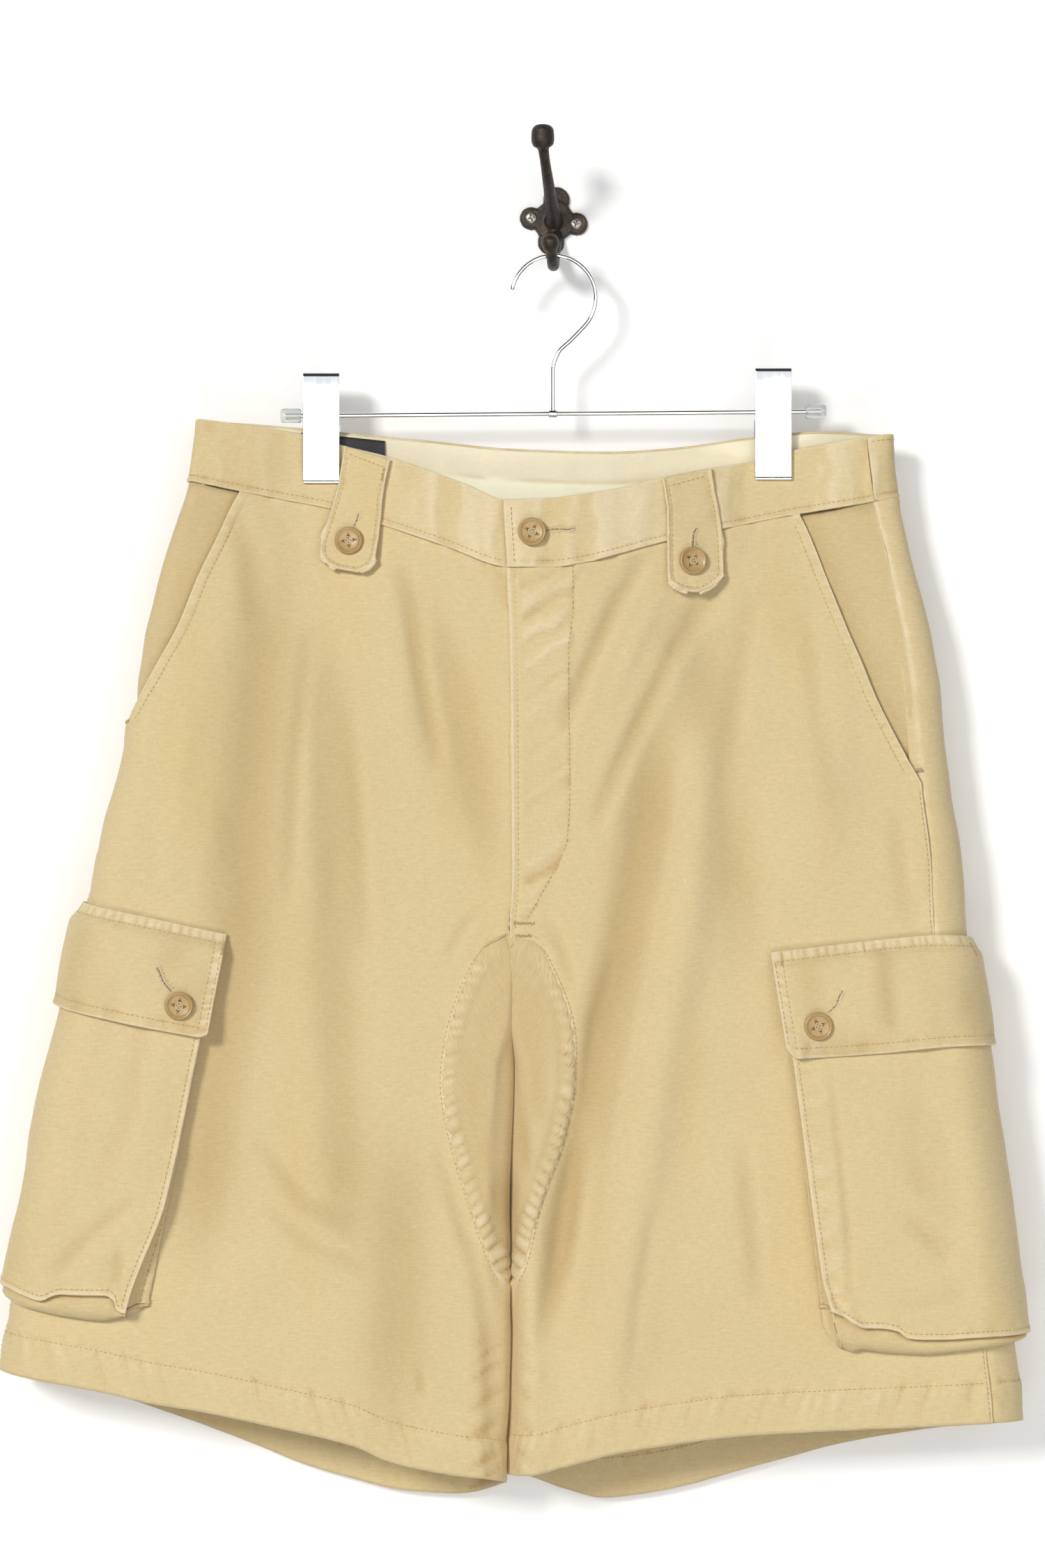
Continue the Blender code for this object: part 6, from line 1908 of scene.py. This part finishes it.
def wall_hook():
    """A cast plate of four lobes with a tall and a short prong that end in knobs, and two cross-head screws."""
    lean = Matrix.Rotation(PLATE_TURN, 4, "Y").inverted()
    flat = Matrix.Rotation(math.pi / 2, 4, "X")
    iron = bmesh.new()
    for i, (x, z, radius) in enumerate(LOBES):
        lobe = bmesh.new()
        thick = PLATE_THICK + (0.5 if i == 4 else 0)
        place = lean @ Matrix.Translation((x, -thick / 2, z)) @ flat
        bmesh.ops.create_cone(
            lobe, cap_ends=True, segments=48, radius1=radius, radius2=radius - 1.2, depth=thick, matrix=place
        )
        append(iron, lobe)
    for prong in PRONGS:
        path = soft_path(prong, 1.6)
        append(iron, tube(path[:, :3], path[:, 3], TUBE_SIDES))
    hook = solid("wall_hook_iron", iron, "iron", ("wall_hook",), sharp=180)
    grow = hook.modifiers.new("cast", "REMESH")
    grow.mode, grow.voxel_size, grow.use_smooth_shade = "VOXEL", 0.7 * MM, True
    soften = hook.modifiers.new("soften", "SMOOTH")
    soften.factor, soften.iterations = 0.6, 5
    for i, x in enumerate((-13.9, 13.9)):
        bm = turned(((0, 0), (4.0, 0), (3.95, 0.4), (3.5, 0.95), (2.6, 1.35), (1.4, 1.5), (0, 1.55)), 40)
        place = lean @ Matrix.Translation((x, 0.3 - PLATE_THICK, 0)) @ flat @ Matrix.Rotation(0.4 + i, 4, "Z")
        bmesh.ops.transform(bm, matrix=place, verts=bm.verts)
        screw = solid(f"wall_hook_screw_{i + 1}", bm, "screw")
        cross = bmesh.new()
        for size in ((4.2, 0.75, 1.6), (0.75, 4.2, 1.6)):
            shape_of_slot = Matrix.Translation((0, 0, 1.7)) @ Matrix.Diagonal((*size, 1))
            bmesh.ops.create_cube(cross, size=1, matrix=place @ shape_of_slot)
        cut_out(screw, f"screw_cross_{i + 1}", cross, use_self=True)


def on_panel(leg, face, q, z, inside=False):
    """A row of thread on a front or back."""
    lift = panel_lift(leg, face, q, z)[0]
    ways = leg.normal(q, z)
    if inside:
        return leg.out(q, z, lift - CLOTH), -ways
    return leg.out(q, z, lift + THREAD_RISE), ways


def on_face(leg, lift_of, q, z):
    """A row of thread on a piece whose lift a function gives."""
    return leg.out(q, z, lift_of(q, z) + THREAD_RISE), leg.normal(q, z)


def piece_lift(piece, leg):
    """The lift of the outer face that thread is sewn on."""

    def band(q, z):
        over_fly = 1.3 * (1 - ramp(middle_gap(leg, leg.place(q, z)[0], z), 6, 20))
        return band_lift(leg, q, z, SEEDS["band"]["left"])[0] + over_fly

    return {
        "band": band,
        "front": lambda q, z: panel_lift(leg, 1, q, z)[0],
        "tab": lambda q, z: tab_lift(leg.side, leg.place(q, z)[0], z)[0],
        "flap": lambda q, z: flap_lift(leg, q, z)[0],
        "pocket": lambda q, z: cargo_lift(leg, q, z, np.ones(q.shape), np.zeros(q.shape))[0],
        "strip": lambda q, z: np.full(q.shape, GAP + 0.2 + CLOTH + 0.95),
    }[piece]


def on_piece(piece, leg, line):
    """A row of thread on a piece, from (x, z) places."""
    x, z = line.T
    return on_face(leg, piece_lift(piece, leg), leg.walk_to(x, z), z)


def panel_thread():
    """The rows of thread on the fronts, backs and gusset."""
    runs = []
    for side, leg in LEGS.items():
        half = leg.section(HEM_Z)["half"]
        beside_gusset = away_line(side, 1.7)
        distance, gusset_z = beside_gusset.T
        beside_gusset = beside_gusset[(distance > 3.5) & (gusset_z < -443) & (gusset_z > -648)]
        distance, gusset_z = beside_gusset.T
        for face in (1, -1):
            q = np.linspace(leg.seam(HEM_Z) + face * 3, face * (half - 4), 240)
            z = np.full(q.shape, -700.0)
            for _ in range(6):
                x, facing_way, _ = leg.place(q, z)
                z = leg.hem(x, facing_way) + HEM_DEPTH - 1
            runs.append(on_panel(leg, face, q, z))
            if face < 0:
                runs.append(on_panel(leg, face, q, z, inside=True))
            q = leg.walk_to(middle(gusset_z) - leg.inward * distance, gusset_z, face)
            runs.append(on_panel(leg, face, q, gusset_z))
        z = np.linspace(-190, leg.slant_foot + 8, 120)
        z = z[leg.slant(z) < leg.walk_to(middle(z), z) - 20]
        runs.append(on_panel(leg, 1, leg.slant(z) + 6.4, z))
        z = np.linspace(leg.slant_foot - 4, float(leg.hem(leg.outline(-715.0), 0.0)) + 4, 300)
        runs.append(on_panel(leg, 1, leg.seam(z) + 1.9, z))
        z = np.linspace(-186, -436, 240)
        for beside in (6.5, 1.9):
            runs.append(on_panel(leg, -1, leg.walk_to(middle(z) - leg.inward * beside, z, -1), z))
    leg = LEGS["left"]
    z = np.linspace(-217.5, -434, 200)
    runs.append(on_panel(leg, 1, leg.walk_to(middle(z) + 2.6, z), z))
    x, z = soft_path(FLY_STITCH, 1.5).T
    runs.append(on_panel(leg, 1, leg.walk_to(x, z), z))
    return runs


def band_thread():
    """The rows of thread on the waistband."""
    runs = []
    for side, leg in LEGS.items():
        seed = SEEDS["band"][side]
        for face in (1, -1):
            start = float(leg.seam(BAND_Z)) + face * 2
            for share in ((0.9,) if face > 0 else (0.085, 0.9)):
                q, z = band_grid(leg, face, start, np.linspace(0, 0.985, 260), [share])
                own = seed if face > 0 else seed + BACK_BAND
                runs.append(on_face(leg, lambda q, z: band_lift(leg, q, z, own)[0], q[0], z[0]))
        if side == "left":
            z = np.linspace(-180, -214, 30)
            q = leg.walk_to(middle(z) + 3.1, z)
            runs.append(on_face(leg, lambda q, z: band_lift(leg, q, z, seed)[0] + 1.3, q, z))
    return runs


def cargo_thread():
    """The rows of thread on the cargo pockets and their flaps."""
    runs = []
    for side, leg in LEGS.items():
        cargo, edges = CARGO[side], CARGO_EDGES[side]
        front = cargo["front"] + FLAP_OVER
        back = front - FLAP_WIDTH
        flap, pocket, strip = (piece_lift(piece, leg) for piece in ("flap", "pocket", "strip"))
        q = np.linspace(front - 2, back + 2, 260)
        runs.append(on_face(leg, flap, q, cargo_line(cargo, "flap_top", q) - 6.3))
        q = np.linspace(front - 5, back + 4, 240)
        runs.append(on_face(leg, flap, q, flap_foot(leg, q) + 6.0))
        for at in (front - 2.0, front - 6.3, back + 6.3):
            z = np.linspace(cargo_line(cargo, "flap_top", at) - 6, flap_foot(leg, at) + 5, 60)
            runs.append(on_face(leg, flap, np.full(z.shape, at), z))
        first, last = cargo["front"], cargo["front"] - POCKET_WIDTH
        for at, way, inset in ((first, -1, edges["strip"]), (last, 1, lambda z: 0 * z + BACK_STRIP)):
            z = np.linspace(float(flap_foot(leg, at)) - 1, float(edges["face_foot"](at + way * 12)) + 4, 180)
            runs.append(on_face(leg, pocket, at + way * (inset(z) + 3.4), z))
            wide = inset(z) > 3
            if wide.any():
                runs.append(on_face(leg, strip, at + way * 0.45 * inset(z[wide]), z[wide]))
        q = np.linspace(first - 12, last + 11, 260)
        runs.append(on_face(leg, pocket, q, edges["face_foot"](q) + 3.4))
    return runs


def tab_thread():
    """The rows of thread on the waist tabs."""
    runs = []
    for side, leg in LEGS.items():
        left, right = TAB_EDGES[side]
        path = aside(soft_path([*left, *right[::-1]], 1.0), 3.2)[6:-6]
        runs.append(on_piece("tab", leg, path))
        ends = [(left[0][0] + 3, left[0][1] - 5), (right[0][0] - 3, right[0][1] - 5)]
        runs.append(on_piece("tab", leg, np.linspace(*ends, 20)))
    return runs


# Buttonholes: the piece, and the slit from its far end to the button's end.
BUTTONHOLES = (
    ("band", "left", ((12.4, -193.2), (8, -193.8), (0, -193.6), (-7, -195.2))),
    ("tab", "right", ((-117.6, -183), (-119, -187.5), (-121.6, -192.7))),
    ("tab", "left", ((85.0, -192.4), (83.4, -195.5), (82.8, -200), (82.6, -204.5))),
    ("flap", "right", ((-238.2, -457.2), (-236.6, -460), (-234.6, -465), (-229.8, -471.1))),
    ("flap", "left", ((172.4, -471.2), (170.4, -474.2), (168.6, -479), (163.8, -483.9))),
)
# Bar tacks: the piece, and the line they are sewn along.
TACKS = (
    ("front", "right", ((-256, -309), (-262, -309.5))), ("front", "left", ((216, -338), (222, -338.5))),
    ("front", "left", ((-24.6, -430.5), (-12, -431))), ("front", "left", ((-24, -438), (-14, -438.3))),
    ("tab", "right", ((-101.5, -156), (-102.6, -164))),
    ("flap", "left", ((136, -448), (136.6, -456))), ("flap", "left", ((247, -443), (247.5, -451))),
    ("flap", "right", ((-199, -442), (-201.5, -450))),
)


def hole_runs(shift):
    """The edges of each buttonhole's slit, moved sideways by shift."""
    runs = []
    for piece, side, ends in BUTTONHOLES:
        path = soft_path(ends, 0.5)
        runs += [on_piece(piece, LEGS[side], aside(path, way * shift)) for way in (-1, 1)]
    return runs


def stitching():
    """All the thread: topstitching, buttonholes and bar tacks."""
    sizes = bpy.context.scene.shorts_sizes
    pitch, radius = sizes.stitch / MM, sizes.thread / MM
    for name, runs in (("panel", panel_thread()), ("band", band_thread() + tab_thread()), ("cargo", cargo_thread())):
        stitches(f"{name}_stitches", runs, pitch, pitch * 0.72, radius)
    stitches("buttonhole_stitches", hole_runs(1.1), 0.62, 2.4, 0.3, True, "pale_thread", 0.35)
    # Painted shade: dark beads along the middle of each buttonhole's slit.
    stitches("buttonhole_slit_shade", hole_runs(0.12), 1.2, 1.6, 0.22, False, "slit", 0.1)
    tacks = [on_piece(piece, LEGS[side], soft_path(ends, 0.5)) for piece, side, ends in TACKS]
    stitches("bar_tacks", tacks, 0.6, 2.2, 0.3, True, uneven=0.2)


VIEW = (-0.0193, -2.250, -0.3468)  # the camera's place, looking level along +Y
LENS = 83.8
WALL = 6.0  # metres across


def area_light(name, place, at, size, watts, colour_of_light):
    """A soft light that faces a point."""
    light = bpy.data.lights.new(name, "AREA")
    light.shape, light.size, light.size_y = "RECTANGLE", *size
    light.energy, light.color = watts, colour_of_light
    made = bpy.data.objects.new(name, light)
    made.matrix_world = Matrix.Translation(place) @ turned_to(Vector(at) - Vector(place), "-Z")
    bpy.context.scene.collection.objects.link(made)
    return made


@once
def wall_finish():
    """Plain white plaster, seen from the room's side only."""
    finish = Finish("white_wall")
    cloud = finish.noise(finish.place(), 1.2, 2.0)
    return finish.shader_gets(
        Base_Color=finish.blend("MIX", cloud, (0.93, 0.93, 0.925), (0.95, 0.948, 0.94)), Roughness=0.95,
        Specular_IOR_Level=0.1, Alpha=finish.one_sided(), Emission_Color=(1.0, 1.0, 1.0), Emission_Strength=0.13,
    )


@once
def dark_finish():
    """Dark cloth at the sides of the room, which the plating mirrors along its edges."""
    finish = Finish("dark_sides")
    cloud = finish.noise(finish.place(), 2.0, 1.0)
    return finish.shader_gets(
        Base_Color=finish.blend("MIX", cloud, (0.03, 0.03, 0.03), (0.05, 0.05, 0.05)), Roughness=1.0,
        Alpha=finish.one_sided(),
    )


def stage():
    """The wall, the light and the camera."""
    scene = bpy.context.scene
    upright = Matrix.Rotation(math.pi / 2, 4, "X")
    bm = bmesh.new()
    place = Matrix.Translation((0, 0.0002, -0.3)) @ upright
    bmesh.ops.create_grid(bm, x_segments=1, y_segments=1, size=WALL / 2, matrix=place)
    wall = fresh("wall", bm)
    wall.data.materials.append(wall_finish())
    key = area_light("key", (-2.9, -4.4, 1.7), (0, 0, -0.35), (1.5, 1.5), 378, (1.0, 0.985, 0.96))
    low = area_light("low", (0.3, -1.9, -1.9), (0, 0, -0.75), (2.0, 0.8), 16, (1.0, 0.98, 0.95))
    fill = area_light("fill", (1.9, -2.2, 0.2), (0, 0, -0.4), (1.8, 2.0), 12, (0.97, 0.985, 1.0))
    shine = area_light("shine", (0.0, -3.2, -0.2), (0, 0, -0.2), (3.0, 2.0), 30, (1.0, 1.0, 1.0))
    shine.visible_diffuse = False
    sides = bmesh.new()
    room = Matrix.Translation((0, -2.5, -0.3)) @ Matrix.Diagonal((6.4, 5.4, 4.6, 1))
    bmesh.ops.create_cube(sides, size=1, matrix=room)
    bmesh.ops.delete(sides, geom=[f for f in sides.faces if abs(f.normal.y) > 0.5], context="FACES")
    bmesh.ops.reverse_faces(sides, faces=sides.faces)
    dark = fresh("dark_sides", sides)
    dark.data.materials.append(dark_finish())
    behind = area_light("behind", (0.4, 2.0, 0.6), (0, 0, -0.4), (2.0, 2.0), 30, (1.0, 1.0, 1.0))
    camera_data = bpy.data.cameras.new("camera")
    camera_data.lens, camera_data.sensor_width = LENS, 36
    camera_data.clip_start, camera_data.clip_end = 0.05, 30
    camera = bpy.data.objects.new("camera", camera_data)
    camera.matrix_world = Matrix.Translation(VIEW) @ upright
    scene.collection.objects.link(camera)
    scene.camera = camera
    world = bpy.data.worlds.new("room")
    scene.world = world
    world.use_nodes = True
    sky = world.node_tree.nodes["Background"].inputs
    sky["Color"].default_value, sky["Strength"].default_value = (0.95, 0.97, 1.0, 1), 0.95
    scene.view_settings.view_transform = "Standard"


class SHORTS_OT_panels(bpy.types.Operator):
    """Build the fronts, the backs and the gusset"""

    bl_idname = "shorts.panels"
    bl_label = "Fronts, backs and gusset"

    def execute(self, context):
        panels()
        gusset()
        return {"FINISHED"}


class SHORTS_OT_waistband(bpy.types.Operator):
    """Build the waistband and the facing inside it"""

    bl_idname = "shorts.waistband"
    bl_label = "Waistband and facing"

    def execute(self, context):
        waistband()
        facing()
        return {"FINISHED"}


class SHORTS_OT_fly(bpy.types.Operator):
    """Build the strip behind the fly"""

    bl_idname = "shorts.fly"
    bl_label = "Fly underlap"

    def execute(self, context):
        fly_underlap()
        return {"FINISHED"}


class SHORTS_OT_pocket_facings(bpy.types.Operator):
    """Build the cloth that shows in the slant pockets"""

    bl_idname = "shorts.pocket_facings"
    bl_label = "Slant pocket facings"

    def execute(self, context):
        pocket_facings()
        return {"FINISHED"}


class SHORTS_OT_cargo_pockets(bpy.types.Operator):
    """Build the bellows pockets on the legs"""

    bl_idname = "shorts.cargo_pockets"
    bl_label = "Cargo pockets"

    def execute(self, context):
        cargo_pockets()
        return {"FINISHED"}


class SHORTS_OT_cargo_flaps(bpy.types.Operator):
    """Build the flaps over the cargo pockets"""

    bl_idname = "shorts.cargo_flaps"
    bl_label = "Cargo flaps"

    def execute(self, context):
        cargo_flaps()
        return {"FINISHED"}


class SHORTS_OT_waist_tabs(bpy.types.Operator):
    """Build the buttoned tabs over the waistband"""

    bl_idname = "shorts.waist_tabs"
    bl_label = "Waist tabs"

    def execute(self, context):
        waist_tabs()
        return {"FINISHED"}


class SHORTS_OT_label(bpy.types.Operator):
    """Build the plain label on the facing"""

    bl_idname = "shorts.label"
    bl_label = "Label"

    def execute(self, context):
        label()
        return {"FINISHED"}


class SHORTS_OT_buttons(bpy.types.Operator):
    """Build the buttons and the thread through them"""

    bl_idname = "shorts.buttons"
    bl_label = "Buttons"

    def execute(self, context):
        buttons()
        return {"FINISHED"}


class SHORTS_OT_stitching(bpy.types.Operator):
    """Sew the topstitching, buttonholes and bar tacks"""

    bl_idname = "shorts.stitching"
    bl_label = "Stitching"

    def execute(self, context):
        stitching()
        return {"FINISHED"}


class SHORTS_OT_hanger(bpy.types.Operator):
    """Build the hanger's wire, its clips and its end caps"""

    bl_idname = "shorts.hanger"
    bl_label = "Hanger"

    def execute(self, context):
        hanger()
        clips()
        end_caps()
        return {"FINISHED"}


class SHORTS_OT_wall_hook(bpy.types.Operator):
    """Build the cast hook and its screws"""

    bl_idname = "shorts.wall_hook"
    bl_label = "Wall hook"

    def execute(self, context):
        wall_hook()
        return {"FINISHED"}


class SHORTS_OT_stage(bpy.types.Operator):
    """Set up the wall, the lights and the camera"""

    bl_idname = "shorts.stage"
    bl_label = "Wall, lights and camera"

    def execute(self, context):
        stage()
        return {"FINISHED"}


STEPS = (
    SHORTS_OT_panels, SHORTS_OT_waistband, SHORTS_OT_fly, SHORTS_OT_pocket_facings, SHORTS_OT_cargo_pockets,
    SHORTS_OT_cargo_flaps, SHORTS_OT_waist_tabs, SHORTS_OT_label, SHORTS_OT_buttons, SHORTS_OT_stitching,
    SHORTS_OT_hanger, SHORTS_OT_wall_hook, SHORTS_OT_stage,
)


class SHORTS_PT_build(bpy.types.Panel):
    """The steps that build the shorts, and their colours and sizes"""

    bl_label = "Cargo shorts"
    bl_idname = "SHORTS_PT_build"
    bl_space_type = "VIEW_3D"
    bl_region_type = "UI"
    bl_category = "Shorts"

    def draw(self, context):
        for step in STEPS:
            self.layout.operator(step.bl_idname)
        for group in (context.scene.shorts_colours, context.scene.shorts_sizes):
            for name in group.__annotations__:
                self.layout.prop(group, name)


CLASSES = (ShortsColours, ShortsSizes, *STEPS, SHORTS_PT_build)


def register():
    """Adds the operators, the panel and the settings to Blender."""
    for made in CLASSES:
        bpy.utils.register_class(made)
    bpy.types.Scene.shorts_colours = PointerProperty(type=ShortsColours)
    bpy.types.Scene.shorts_sizes = PointerProperty(type=ShortsSizes)


def unregister():
    """Takes them out again."""
    del bpy.types.Scene.shorts_sizes
    del bpy.types.Scene.shorts_colours
    for made in reversed(CLASSES):
        bpy.utils.unregister_class(made)


def main():
    """Builds everything, one operator after another."""
    register()
    for step in STEPS:
        group, name = step.bl_idname.split(".")
        getattr(getattr(bpy.ops, group), name)()


if __name__ == "__main__":
    main()
